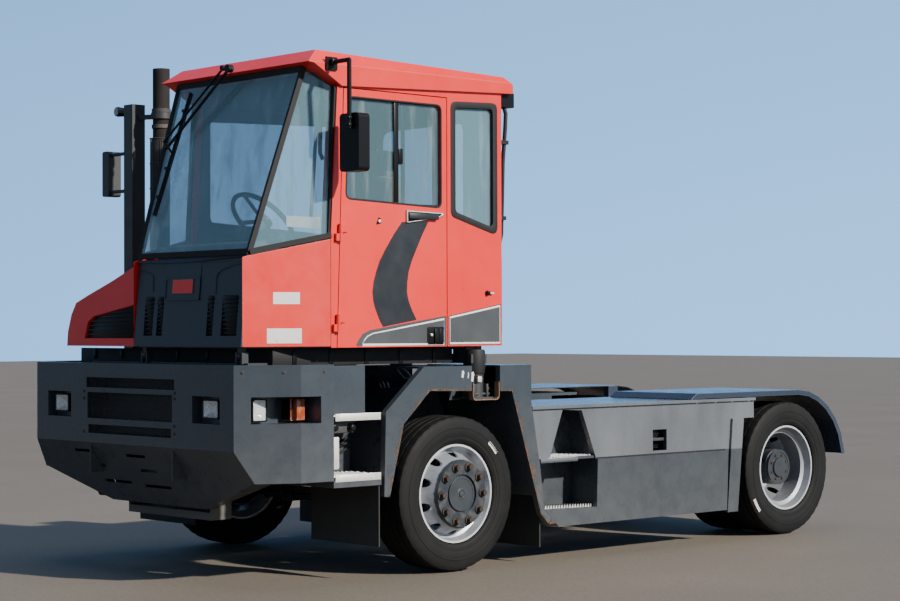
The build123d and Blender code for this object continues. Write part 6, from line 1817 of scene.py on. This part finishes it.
@dataclass
class Flanks:
    """Arches, step wells, side boxes, guards and flaps."""

    tread_y: Flat = (-2.124, -1.783)
    tread_x: Flat = (0.952, 1.234)

    def treads(self, shop: Workshop, paint: Finishes, teeth: ToothMaker) -> None:
        """Bright treads with pressed teeth and folded fronts."""
        treads = Shell()
        for z in (0.604, 0.952):
            treads.box(self.tread_x, self.tread_y, (z, z + 0.014))
            treads.box((1.229, 1.2345), self.tread_y, (z - 0.012, z + 0.03))
            for k in range(4):
                x = 0.975 + 0.062 * k
                treads.box((x, x + 0.03), (self.tread_y[0] + 0.012, self.tread_y[1] - 0.012), (z + 0.013, z + 0.02))
        shop.piece(
            "step_tread_plates", treads, [paint.aluminium], "chassis",
            "tread_metal", bevel=0.002, replaces=("step_treads",)
        )
        edges = Shell()
        edges.box((1.164, 1.2242), (-0.472, -0.136), (0.6212, 0.6492))
        edges.box((0.966, 1.196), (-0.442, 0.046), (0.6475, 0.6492))
        shop.piece("deck_tread_edge", edges, [paint.aluminium], "chassis", "tread_metal", bevel=0.002)
        seam = Shell()
        seam.box((1.2235, 1.227), (0.049, 1.345), (0.6262, 0.635))
        shop.piece("skirt_seam", seam, [paint.rubber], "chassis", "chassis_grey")
        field = ((0.99, 1.176), (self.tread_y[0] + 0.03, self.tread_y[1] - 0.03))
        deck = ((1.005, 1.2), (row_y(0.73), row_y(1.17)))
        for name, (x, y), z, pitch in (
            ("low_tread_teeth", field, 0.626, 0.031),
            ("high_tread_teeth", field, 0.974, 0.031),
            ("deck_step_teeth", deck, 0.651, 0.03),
        ):
            shop.fit(teeth.rows(name, x, y, z, pitch), "chassis")

    def well(self, shop: Workshop, paint: Finishes) -> None:
        """Air fittings, hoses and plates inside the step well."""
        goods = Shell()
        for radius, reach, y, z in ((0.03, 0.036, -2.101, 0.902), (0.028, 0.034, -1.967, 0.898)):
            steps = ((0.0, 0.0), (0.005, 0.0), (0.01, 0.006), (reach - 0.004, 0.008), (reach, 0.014), (reach, radius))
            goods.lathe([(along, radius - less) for along, less in steps], (1.175, y, z), 18)
        goods.box((1.16, 1.178), (-2.128, -1.945), (0.868, 0.934), 1)
        goods.box((0.952, 1.165), (-2.128, -2.118), (0.862, 0.94), 1)
        shop.piece("well_knobs", goods, [paint.plastic, paint.black], "chassis", "black_plastic", bevel=0.002)
        plate = Shell()
        plate.slab(rounded(rectangle((-2.132, -2.034), (0.66, 0.845)), 0.008), Axis.X, 1.15, 1.156)
        plate.box((0.952, 1.153), (-2.128, -2.122), (0.67, 0.835))
        shop.piece("well_plate", plate, [paint.aluminium], "chassis", "black_metal", bevel=0.0015)
        hoses = Shell()
        for z, sag in ((0.8, 0.03), (0.835, 0.05), (0.77, 0.045)):
            run = [(0.965, -1.8, z), (0.968, -1.9, z - sag), (0.966, -2.0, z - sag * 1.1), (0.962, -2.1, z + 0.01)]
            hoses.tube(run, 0.008, 8)
        for z in (1.05, 1.09, 1.13):
            hoses.tube([(0.964, -1.8, z), (0.966, -1.95, z + 0.02), (0.964, -2.12, z + 0.04)], 0.007, 8)
        shop.piece("well_hoses", hoses, [paint.rubber], "chassis", "black_rubber")

    def openings(self, shop: Workshop, paint: Finishes) -> None:
        """Filler window bar, serrated sill and scuffed marks."""
        bits = Shell()
        bits.box((1.196, 1.204), (0.6, 0.737), (0.716, 0.736))
        bits.box((1.1, 1.16), (0.61, 0.73), (0.665, 0.7), 1)
        bits.lathe([(0.0, 0.034), (0.03, 0.034), (0.036, 0.03), (0.036, 0.0)], (1.15, 0.668, 0.765), 20, mark=1)
        shop.piece("filler_window_bar", bits, [paint.chassis, paint.plastic], "chassis", "chassis_grey", bevel=0.002)
        sill = Shell()
        line = [(-0.425, 0.326)]
        count = 19
        for k in range(count):
            y = -0.42 + 0.44 * k / (count - 1)
            base = 0.333 - 0.0248 * (y + 0.447)
            line += [(y, base), (y + 0.004, base + 0.017), (y + 0.012, base + 0.017), (y + 0.014, base)]
        line += [(0.034, 0.315)]
        for x, mark in ((1.196, 0), (1.15, 1), (1.105, 1)):
            sill.slab(line, Axis.X, x, x + 0.005, mark)
        shop.piece("serrated_sill", sill, [paint.aluminium, paint.iron], "chassis", "tread_metal")
        scuffs = Shell()
        for y, z, wide, high in (
            (-1.15, 1.172, 0.022, 0.042), (-1.099, 1.168, 0.01, 0.036), (-1.07, 1.148, 0.024, 0.058),
        ):
            outline = [(y, z), (y + wide * 0.6, z - 0.004), (y + wide, z + high * 0.7)]
            outline += [(y + wide * 0.7, z + high), (y + 0.003, z + high * 0.9)]
            scuffs.slab(outline, Axis.X, 1.2445, 1.2456)
        shop.piece("arch_scuffs", scuffs, [paint.white], "chassis", "chassis_grey")

    def hinges(self, shop: Workshop, paint: Finishes) -> None:
        """Hinges of the right-hand boxes."""
        bits = Shell()
        for y in (-0.25, 0.15, 0.55, 0.95):
            bits.box((-1.249, -1.243), (y - 0.03, y + 0.03), (0.575, 0.615))
            bits.tube([(-1.2465, y - 0.035, 0.632), (-1.2465, y + 0.035, 0.632)], 0.006, 8)
        shop.piece("box_hinges", bits, [paint.black], "chassis", "black_metal", bevel=0.001)

    def rust(self, shop: Workshop, paint: Finishes) -> None:
        """Rust along the arch openings and the sill of the left side."""
        front = [(row_y(y), z) for y, z in ((0.079, 1.089), (-0.264, 1.097), (-0.471, 0.908), (-0.581, 0.487))]
        rear = [(row_y(y), z) for y, z in ((0.316, 1.083), (0.418, 1.081), (0.668, 0.307), (0.739, 0.238))]
        front_foot, rear_foot = [(-1.724, 0.487), (-1.767, 0.49)], [(-0.404, 0.238), (-0.343, 0.24)]
        for name, finish, width, face in (
            ("arch_rust_line", paint.rust_line, 0.012, 1.2456),
            ("arch_rust_haze", paint.rust_haze, 0.036, 1.2453),
        ):
            creep = Shell()
            for line, side in ((front, -1), (front_foot, -1), (rear, 1), (rear_foot, 1)):
                creep.slab(ribbon(line, side * width), Axis.X, 1.2446, face)
            shop.piece(name, creep, [finish], "chassis", "chassis_grey")

    def build(self, shop: Workshop, paint: Finishes, bolts: BoltMaker) -> None:
        """Makes the pieces along both flanks."""
        teeth = ToothMaker(paint.aluminium)
        shop.dressed("arch_panels", paint.chassis, paint.rusty_edge, 0.0025, "chassis")
        shop.dressed("step_box", paint.chassis, paint.chassis_edge, 0.0025, "chassis")
        shop.dressed("side_boxes", paint.skirt, paint.chassis_edge, 0.0025, "chassis")
        shop.dressed("rear_mudguards", paint.guard, paint.chassis_edge, 0.002, "chassis")
        shop.paint(["mudflaps"], paint.flap)
        self.treads(shop, paint, teeth)
        self.well(shop, paint)
        self.openings(shop, paint)
        self.hinges(shop, paint)
        self.rust(shop, paint)
        spots = []
        for y, z in ((row_y(-0.598), 0.55), (row_y(-0.585), 0.93), (row_y(-0.33), 1.2), (row_y(0.56), 1.2)):
            spots.append(((-1.245, y, z), (-1, 0, 0)))
        for y in (-0.5, 0.02, 0.5, 1.0, 1.5):
            spots.append(((-1.225, y, 0.93), (-1, 0, 0)))
        bolts.fasten(shop, "flank_bolts", spots, "chassis", "chassis_grey", 0.01, 0.007)
        rivets = Shell()
        head = [(-0.001, 0.0), (-0.001, 0.012), (0.002, 0.012), (0.005, 0.006), (0.005, 0.0)]
        for y in (1.049, 1.245, 1.422, 1.604):
            rivets.lathe(head, (1.225, y, 0.962), 14)
        shop.piece("deck_edge_rivets", rivets, [paint.aluminium], "chassis", "chassis_grey")


@dataclass
class SpringBellows:
    """Rubber air spring under the cab's left side, with its plates."""

    centre: Point = (1.14, -0.946, 0.0)

    def build(self, shop: Workshop, paint: Finishes) -> None:
        """Makes the bellows and the plates."""
        shop.paint(["cab_mounts"], paint.black)
        sleeve = [
            (1.185, 0.0), (1.185, 0.058), (1.192, 0.064), (1.23, 0.068),
            (1.325, 0.068), (1.338, 0.062), (1.338, 0.0)
        ]
        bellows = Shell()
        bellows.lathe(sleeve, self.centre, 32, axis=Axis.Z)
        shop.piece("cab_spring_bellows", bellows, [paint.rubber], "chassis", "black_rubber")
        x, y, _ = self.centre
        strut = Shell()
        cup = [(1.14, 0.0), (1.14, 0.0565), (1.176, 0.0565), (1.186, 0.06), (1.186, 0.0)]
        strut.lathe(cup, self.centre, 32, axis=Axis.Z)
        strut.box((x + 0.03, x + 0.064), (y - 0.03, y + 0.006), (1.138, 1.176), 2)
        for low, high in ((-0.062, -0.046), (0.046, 0.062)):
            strut.box((x - 0.04, x + 0.062), (y + low, y + high), (1.048, 1.128), 1)
        strut.tube([(x + 0.02, y - 0.085, 1.098), (x + 0.02, y + 0.095, 1.098)], 0.016, 12, mark=1)
        strut.tube([(x + 0.045, y - 0.08, 1.066), (x + 0.045, y + 0.08, 1.066)], 0.01, 10, mark=1)
        shop.piece(
            "cab_strut_shackle", strut, [paint.black, paint.bolt, paint.aluminium],
            "chassis", "black_metal", bevel=0.002
        )
        pan = Shell()
        front, rear, foot, top, thick, turn = -1.0535, -0.8295, 1.03, 1.14, 0.006, 0.022
        bend = [(front, foot + turn), (front + turn * 0.3, foot + turn * 0.3), (front + turn, foot)]
        outside = [(front, top), *bend, *[(front + rear - y, z) for y, z in reversed(bend)], (rear, top)]
        inside = [(rear - thick, top), (rear - thick, foot + turn), (rear - turn, foot + thick)]
        inside += [(front + turn, foot + thick), (front + thick, foot + turn), (front + thick, top)]
        pan.slab(outside + inside, Axis.X, 1.204, 1.243)
        shop.piece("spring_recess_pan", pan, [paint.rusty_edge], "chassis", "chassis_grey")
        hose = Shell()
        hose.tube([(1.1, -0.9, 1.056), (1.06, -0.87, 1.1), (1.02, -0.86, 1.18), (0.95, -0.86, 1.22)], 0.006, 8)
        shop.piece("spring_hose", hose, [paint.rubber], "chassis", "black_rubber")


@dataclass
class UnderCab:
    """Dark shields between the cab and the frame, partly real set-back panels and partly painted shade under the cab,
    and the fittings that show beneath them.
    """

    low: float = 1.258
    high: float = 1.352

    def build(self, shop: Workshop, paint: Finishes) -> None:
        """Makes the shields and the fittings."""
        # Dark panels under the cab: partly real set-back panels, partly painted shade for the shadow beneath the cab.
        shields = Shell()
        shields.box((-0.93, 1.06), (-2.44, -2.434), (1.16, self.high))
        shields.box((1.054, 1.06), (-2.434, -1.055), (self.low, self.high))
        for k in range(5):
            y = -2.3 + 0.27 * k
            shields.box((1.06, 1.066), (y, y + 0.03), (self.low, self.high - 0.004), 1)
        for k in range(6):
            x = -0.78 + 0.3 * k
            shields.box((x, x + 0.03), (-2.446, -2.44), (1.285, self.high - 0.004), 1)
        chin = Shell()
        for low, high in ((-0.7, -0.445), (-0.425, 0.3)):
            chin.slab([(-2.65, 0.765), (-2.452, 0.428), (-2.446, 0.432), (-2.644, 0.769)], Axis.X, low, high)
        shop.piece("chin_backing", chin, [paint.rubber], "chassis", "black_metal")
        shop.piece("bay_shields", shields, [paint.rubber, paint.plastic], "chassis", "black_rubber", bevel=0.001)
        curtain = Shell()
        curtain.box((-0.2, 1.041), (-2.425, -2.419), (1.34, 1.364))
        curtain.box((1.035, 1.041), (-2.419, -0.8), (1.34, 1.364))
        shop.piece("cab_bottom_seal", curtain, [paint.rubber], "cab", "black_rubber")
        red = Shell()
        socket = [(0.0, 0.0), (0.0, 0.016), (0.014, 0.016), (0.014, 0.0)]
        for k in range(3):
            y, z = -1.268 + 0.036 * k, 1.16 - 0.01 * k
            red.tube([(0.569, y, z), (0.6, y + 0.006, 1.15 - 0.01 * k), (0.615, y + 0.012, 1.1 - 0.008 * k)], 0.01, 8)
            red.lathe(socket, (0.567, y, z), 12, mark=1)
        shop.piece("red_couplings", red, [paint.red_lens, paint.bolt], "chassis", "black_metal")
        loop = Shell()
        path = [
            (0.58, -1.09, 1.225), (0.6, -1.082, 1.19), (0.6, -1.045, 1.158), (0.6, -1.0, 1.148),
            (0.6, -0.99, 1.165), (0.6, -1.02, 1.195), (0.58, -1.055, 1.228),
        ]
        loop.tube(path, 0.0055, 8)
        shop.piece("cable_loop", loop, [paint.aluminium], "chassis", "black_rubber")


# Running gear and coupling


@dataclass
class Gear:
    """Axles, frame, engine, boom and coupling plate."""

    def build(self, shop: Workshop, paint: Finishes, bolts: BoltMaker) -> None:
        """Finishes the running gear and adds grease grooves, the jaw, bolts and air lines."""
        for node, body, finish in (("frame_rails", "chassis", paint.black), ("lift_boom", "boom", paint.chassis)):
            shop.dressed(node, finish, paint.chassis_edge, 0.002, body)
        shop.dressed("fifth_wheel", paint.plate, paint.iron, 0.004, "fifth_wheel")
        shop.dressed("engine_block", paint.engine, paint.iron, 0.006, "chassis", 35)
        axles = ["front_axle_beam", "leaf_springs", "rear_axle", "propeller_shaft"]
        shop.paint([*axles, "knuckle_left", "knuckle_right", "tie_rod"], paint.iron)
        shop.paint(["radiator", "lift_barrels"], paint.black)
        shop.paint(["lift_rods"], paint.chrome)
        grease = Shell()
        for side in (-1, 1):
            grease.box(mirrored(side, 0.07, 0.41), (1.5, 1.506), (0.9285, 0.9315))
        for k in range(5):
            for side in (1, -1):
                x = side * (0.1 + 0.07 * k)
                grease.box((x - 0.004, x + 0.004), (1.47, 2.1), (0.9288, 0.9312))
        shop.piece("plate_grease_grooves", grease, [paint.iron], "fifth_wheel", "plate_steel")
        jaw = Shell()
        ring = [(0.872, 0.029), (0.872, 0.062), (0.905, 0.062), (0.905, 0.029)]
        jaw.lathe(ring, (0, 1.807, 0), 32, axis=Axis.Z, closed=True)
        for path in (((0.06, 1.7), (0.25, 1.66), (0.462, 1.62)), ((0.462, 1.62), (0.475, 1.6), (0.475, 1.56))):
            jaw.tube([(x, y, 0.885) for x, y in path], 0.012, 10)
        shop.piece("kingpin_jaw", jaw, [paint.plate], "fifth_wheel", "plate_steel")
        spots = []
        for side in (1, -1):
            for y in (-2.4, -1.95, -0.85, -0.3, 0.35, 1.1, 1.85, 2.25):
                for z in (0.62, 0.68):
                    spots.append(((side * 0.43, y, z), (side, 0, 0)))
        bolts.fasten(shop, "rail_bolts", spots, "chassis", "black_metal", 0.014, 0.01)
        lines = Shell()
        for k, (x, z) in enumerate(((0.1, 1.02), (0.02, 1.05), (-0.07, 1.03))):
            path = [
                (0.0, -0.5, -0.06), (0.02, -0.42, 0.02), (0.06, -0.3, -0.08),
                (0.1, -0.24, -0.22), (0.12, -0.2, -0.3)
            ]
            lines.tube([(x - aside, y, z + rise) for aside, y, rise in path], 0.011, 10, mark=k)
        shop.piece(
            "trailer_air_lines", lines,
            [paint.red_lens, paint.rubber, paint.amber_lens],
            "chassis", "black_rubber"
        )


@dataclass
class Stacks:
    """Exhaust with its guard, the right-hand mirror post with its lamp, and the battery lid."""

    centre: Flat = (-0.9, -1.843)
    guard_z: Flat = (1.9, 2.72)
    slats: int = 12
    hoops: int = 6
    lamp_at: Point = (-1.295, -1.933, 2.925)

    def arc(self, radius: float, degrees: float, z: float) -> Point:
        """A point round the exhaust.

        Args:
            radius: Distance from its middle.
            degrees: Angle from +X towards +Y.
            z: Height.

        Returns:
            The point.
        """
        turn = math.radians(degrees)
        return (self.centre[0] + radius * math.cos(turn), self.centre[1] + radius * math.sin(turn), z)

    def build(self, shop: Workshop, paint: Finishes) -> None:
        """Finishes the stack and the post, and adds the slatted guard, clamps, lamp and lid."""
        shop.paint(["exhaust_stack"], paint.exhaust)
        shop.dressed("mirror_post", paint.black, paint.black, 0.003, "chassis")
        low, high = self.guard_z
        shield = Shell()
        for slat in range(self.slats):
            a, b = (200 + 140 * (slat + share) / self.slats for share in (0.0, 0.55))
            corners = ((a, low), (b, low), (b, high), (a, high))
            shield.add([self.arc(radius, turn, z) for radius in (0.072, 0.0745) for turn, z in corners], CUBE_FACES)
        for hoop in range(self.hoops):
            z = low + (high - low) * hoop / (self.hoops - 1)
            shield.tube([self.arc(0.0755, 196 + 148 * step / 14, z) for step in range(15)], 0.004, 6)
        shop.piece("exhaust_guard", shield, [paint.black], "chassis", "black_metal")
        rims = Shell()
        for z in (1.86, 2.8, 2.905):
            ring = [(z - 0.012, 0.0575), (z - 0.012, 0.063), (z + 0.012, 0.063), (z + 0.012, 0.0575)]
            rims.lathe(ring, (*self.centre, 0), 32, axis=Axis.Z, closed=True)
        shop.piece("exhaust_clamps", rims, [paint.iron], "chassis", "black_metal")
        lamp = Shell()
        case = [(0.0, 0.0), (0.0, 0.03), (0.012, 0.034), (0.055, 0.03), (0.062, 0.022), (0.062, 0.0)]
        lamp.lathe(case, self.lamp_at, 20, axis=Axis.Y)
        shop.piece("post_lamp", lamp, [paint.plastic], "chassis", "black_metal")
        face = Shell()
        face.lathe([(-0.0025, 0.0), (-0.0025, 0.026), (0.0005, 0.026), (0.0005, 0.0)], self.lamp_at, 20, axis=Axis.Y)
        shop.piece("post_lamp_lens", face, [paint.clear_lens], "chassis", "lamp_clear")
        lids = Shell()
        lids.slab(rounded(rectangle((-1.215, -0.6), (-2.115, -1.8)), 0.01), Axis.Z, 1.2395, 1.2425)
        shop.piece("battery_lid", lids, [paint.chassis], "chassis", "chassis_grey", bevel=0.001)


@dataclass
class TailLamps:
    """Frames and lens fields of the tail lamps."""

    def build(self, shop: Workshop, paint: Finishes) -> None:
        """Makes the lamps' frames and lenses."""
        face_y = REAR_AXLE_Y + 0.5 + 0.08
        frames, lenses = Shell(), Shell()
        for side in (1, -1):
            frames.box(mirrored(side, 0.64, 0.94), (face_y - 0.0397, face_y - 0.004), (0.506, 0.564))
            for k, mark in enumerate((0, 0, 1, 2)):
                start = 0.646 + 0.073 * k
                lenses.box(mirrored(side, start, start + 0.069), (face_y - 0.006, face_y), (0.511, 0.559), mark)
        shop.piece(
            "tail_lamp_frames", frames, [paint.plastic], "chassis",
            "lamp_red", bevel=0.002, replaces=("tail_lamps",)
        )
        shop.piece(
            "tail_lamp_lenses", lenses,
            [paint.red_lens, paint.amber_lens, paint.clear_lens],
            "chassis", "lamp_red", bevel=0.002
        )


# Seat and desk


@dataclass
class CabSeat:
    """Sprung driver's seat: pedestal, cushion, back and head rest."""

    x: float = 0.48
    y: float = FRONT_AXLE_Y - 0.33
    block_power: int = 7

    def pillow(
        self,
        name: str,
        cloth: bpy.types.Material,
        centre: Point,
        half: Point,
        tilt: float,
        crown: float,
        groove: tuple[float, ...],
    ) -> bpy.types.Object:
        """A crowned cushion block with soft edges and sewn channels.

        Args:
            name: Name of the piece.
            cloth: Its cover.
            centre: Its middle.
            half: Half of its size along X, Y and Z before the tilt.
            tilt: Turn about X in radians.
            crown: Height of the crown in metres.
            groove: Places of the channels along Y, from -1 to 1.

        Returns:
            The cushion.
        """
        form = bmesh.new()
        bmesh.ops.create_cube(form, size=2)
        bmesh.ops.subdivide_edges(form, edges=form.edges, cuts=15, use_grid_fill=True)
        turn = Matrix.Rotation(tilt, 3, "X")
        for vertex in form.verts:
            x, y, z = vertex.co
            # A rounded block: the cube is drawn in to a ball of a high power, which rounds its edges.
            power = self.block_power
            size = (abs(x) ** power + abs(y) ** power + abs(z) ** power) ** (1 / power)
            x, y, z = x / size, y / size, z / size
            swell = (1 - x * x) * (1 - y * y)
            sew = sum(math.exp(-((y - g) / 0.045) ** 2) for g in groove) + math.exp(-((abs(x) - 0.72) / 0.05) ** 2)
            rise = crown * swell - 0.007 * min(1.0, sew) * (1 if z > 0.3 else 0)
            spot = Vector((x * half[0], y * half[1], z * half[2] + (rise if z > 0 else 0)))
            vertex.co = turn @ spot + Vector(centre)
        mesh = bpy.data.meshes.new(name)
        form.to_mesh(mesh)
        form.free()
        mesh.materials.append(cloth)
        for polygon in mesh.polygons:
            polygon.use_smooth = True
        return placed(name, mesh)

    def build(self, shop: Workshop, paint: Finishes) -> None:
        """Makes the seat in place of its plain solid."""
        x, y, upright = self.x, self.y, math.pi / 2
        cushions = (
            ("seat_cushion", -0.015, 1.79, (0.243, 0.24, 0.068), 0.03, 0.01, (-0.35, 0.3)),
            ("seat_back_cushion", 0.262, 2.135, (0.232, 0.285, 0.052), upright - 0.11, 0.008, (-0.45, 0.0, 0.45)),
            ("seat_head_rest", 0.318, 2.5, (0.135, 0.085, 0.042), upright - 0.1, 0.006, ()),
        )
        for thing in [self.pillow(name, paint.seat, (x, y + back, z), *form) for name, back, z, *form in cushions]:
            shop.fit(thing, "cab", ("driver_seat",))
        blocks = [(0.175, 1.4005, 1.46, 0)]
        blocks += [(0.16, 1.47 + 0.032 * k, 1.47 + 0.032 * k + 0.022, 1) for k in range(7)]
        base = Shell()
        for half, low, high, mark in (*blocks, (0.15, 1.455, 1.7, 1)):
            base.box((x - half, x + half), (y - half, y + half), (low, high), mark)
        base.box((x - 0.18, x + 0.18), (y - 0.2, y + 0.18), (1.7, 1.722))
        for aside, foot, top, radius in (
            (0.11, (y + 0.255, 1.74), (y + 0.3, 2.3), 0.012),
            (0.05, (y + 0.315, 2.38), (y + 0.32, 2.46), 0.007),
        ):
            for post in (x - aside, x + aside):
                base.tube([(post, *foot), (post, *top)], radius, 8)
        base.tube([(x + 0.18, y + 0.14, 1.76), (x + 0.2, y + 0.18, 1.78), (x + 0.2, y + 0.06, 1.8)], 0.009, 8)
        finishes = [paint.black, paint.rubber]
        shop.piece("seat_base", base, finishes, "cab", "black_metal", bevel=0.003, replaces=("driver_seat",))


@dataclass
class Desk:
    """Dashboard, its instruments and the steering wheel."""

    def build(self, shop: Workshop, paint: Finishes) -> None:
        """Finishes the dash and adds the instrument hood, pedals and levers."""
        shop.dressed("dashboard", paint.trim, paint.trim, 0.01, "cab", 20)
        shop.paint(["steering_wheel"], paint.plastic)
        dash = Shell()
        dash.slab([(-2.29, 1.985), (-2.2, 2.055), (-2.14, 2.05), (-2.16, 1.975)], Axis.X, 0.3, 0.66)
        dash.box((0.335, 0.625), (-2.165, -2.15), (1.935, 2.02), 1)
        for x in (0.4, 0.48, 0.56):
            dash.lathe([(-0.004, 0.0), (-0.004, 0.03), (0.004, 0.03), (0.004, 0.0)], (x, -2.14, 1.985), 20, axis=Axis.Y)
        for x in (0.33, 0.5, 0.6):
            dash.slab([(-2.06, 1.402), (-2.02, 1.402), (-2.13, 1.52), (-2.145, 1.51)], Axis.X, x - 0.035, x + 0.035, 1)
        dash.tube([(0.43, -2.12, 2.02), (0.34, -2.1, 2.06)], 0.008, 8, mark=1)
        shop.piece("instrument_hood", dash, [paint.plastic, paint.rubber], "cab", "dark_plastic", bevel=0.003)
        console = Shell()
        outline = [(-1.75, 1.4005), (-1.3, 1.4005), (-1.3, 1.86), (-1.42, 1.92), (-1.75, 1.88)]
        console.slab(rounded(outline, 0.03), Axis.X, 0.02, 0.2)
        console.tube([(0.11, -1.62, 1.88), (0.11, -1.64, 2.02)], 0.007, 8, mark=1)
        grip = [(2.01, 0.0), (2.01, 0.018), (2.045, 0.024), (2.065, 0.014), (2.065, 0.0)]
        console.lathe(grip, (0.11, -1.643, 0), 16, mark=1, axis=Axis.Z)
        shop.piece("side_console", console, [paint.trim, paint.rubber], "cab", "dark_plastic", bevel=0.004)


# Studio


@dataclass
class Studio:
    """Ground, light and camera."""

    place: Point = (10.132, -9.461, 1.476)
    yaw: float = 47.241
    pitch: float = 0.754
    roll: float = -0.176
    lens: float = 80.75
    floor_reach: float = 70
    floor_z: float = -0.004
    lamps_aim: Point = (0.3, 0, 1.2)

    def ground(self) -> None:
        """A level concrete floor."""
        box = Paintbox("concrete_floor")
        broad = box.noise(0.6, 5)
        fine = box.noise(40, 3)
        tone = box.blend(broad, (0.108, 0.086, 0.062), (0.172, 0.141, 0.104))
        tone = box.blend(box.span(fine, 0.42, 0.62, 0, 0.5), tone, (0.085, 0.076, 0.065))
        box.shade(Base_Color=tone)
        box.shade(Roughness=0.85)
        box.relief(fine, 0.12, 0.003)
        mesh = bpy.data.meshes.new("yard_floor")
        corners = ((-1, -1), (1, -1), (1, 1), (-1, 1))
        points = [(self.floor_reach * x, self.floor_reach * y, self.floor_z) for x, y in corners]
        mesh.from_pydata(points, [], [(0, 1, 2, 3)])
        mesh.materials.append(box.material)
        floor = placed("yard_floor", mesh)

    def sky(self) -> None:
        """A hazy sky, dark overhead, brighter ahead of the camera and on its right."""
        world = bpy.data.worlds.new("haze")
        bpy.context.scene.world = world
        world.use_nodes = True
        sky = NodeTree(world.node_tree)
        way = sky.node("ShaderNodeTexCoord").outputs["Generated"]
        height = sky.node("ShaderNodeSeparateXYZ", {0: way}).outputs["Z"]
        toward, beyond = (
            sky.node("ShaderNodeVectorMath", {0: way, 1: aim}, operation="DOT_PRODUCT").outputs["Value"]
            for aim in ((0.75, 0.66, 0.0), (-0.734, 0.679, 0.0))
        )
        colour = None
        for source, low, high, under, over in (
            (height, 0.0, 0.55, (0.44, 0.72, 1.0), (0.12, 0.2, 0.36)),
            (toward, -0.9, 1.0, (0.55, 0.55, 0.58), (1.15, 1.13, 1.1)),
            (beyond, 0.3, 1.0, (1.0, 1.0, 1.0), (1.25, 1.65, 2.1)),
        ):
            layer = sky.blend(sky.span(source, low, high), under, over)
            colour = layer if colour is None else sky.blend(1.0, colour, layer, "MULTIPLY")
        back = world.node_tree.nodes["Background"]
        sky.feed(back.inputs["Strength"], 1.0)
        sky.feed(back.inputs["Color"], colour)

    def light(self) -> None:
        """Low sun from the left side, and soft fill."""
        for name, kind, spot, size, power, colour in (
            ("low_sun", "SUN", (9.0, 2.2, 6.5), 0.03, 8.4, (1.0, 0.95, 0.87)),
            ("sky_panel", "AREA", (0.0, -1.0, 9.5), 8.0, 300, (0.82, 0.91, 1.0)),
            ("front_panel_fill", "AREA", (3.0, -12.0, 4.0), 6.0, 40, (0.86, 0.93, 1.0)),
        ):
            data = bpy.data.lights.new(name, kind)
            if kind == "SUN":
                data.angle = size
            else:
                data.shape = "DISK"
                data.size = size
            data.energy = power
            data.color = colour
            lamp = placed(name, data)
            lamp.location = spot
            lamp.rotation_euler = (Vector(self.lamps_aim) - Vector(spot)).to_track_quat("-Z", "Y").to_euler()

    def camera(self) -> None:
        """The camera that took the original view."""
        yaw, pitch, roll = (math.radians(a) for a in (self.yaw, self.pitch, self.roll))
        ahead = Vector((-math.sin(yaw) * math.cos(pitch), math.cos(yaw) * math.cos(pitch), math.sin(pitch)))
        right = Vector((math.cos(yaw), math.sin(yaw), 0))
        up = right.cross(ahead)
        across = right * math.cos(roll) + up * math.sin(roll)
        over = across.cross(ahead)
        data = bpy.data.cameras.new("main_camera")
        data.lens = self.lens
        data.sensor_width = 36
        data.clip_end = 300
        data.dof.use_dof = False
        camera = placed("main_camera", data)
        turn = Matrix((across, over, -ahead)).transposed()
        camera.matrix_world = Matrix.Translation(self.place) @ turn.to_4x4()
        bpy.context.scene.camera = camera


# Whole vehicle


def main() -> None:
    """Dresses the vehicle, lights it and sets up the camera."""
    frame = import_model()
    shop = Workshop(frame)
    paint = Finishes()
    bolts = BoltMaker(paint.bolt)
    nuts = BoltMaker(paint.nut)
    Tyres().build(shop, paint)
    Wheels().build(shop, paint, nuts)
    Bumper().build(shop, paint, bolts)
    CabShell().build(shop, paint)
    CabFittings().build(shop, paint)
    Flanks().build(shop, paint, bolts)
    SpringBellows().build(shop, paint)
    UnderCab().build(shop, paint)
    Gear().build(shop, paint, bolts)
    Stacks().build(shop, paint)
    TailLamps().build(shop, paint)
    CabSeat().build(shop, paint)
    Desk().build(shop, paint)
    studio = Studio()
    studio.ground()
    studio.sky()
    studio.light()
    studio.camera()


if __name__ == "__main__":
    main()
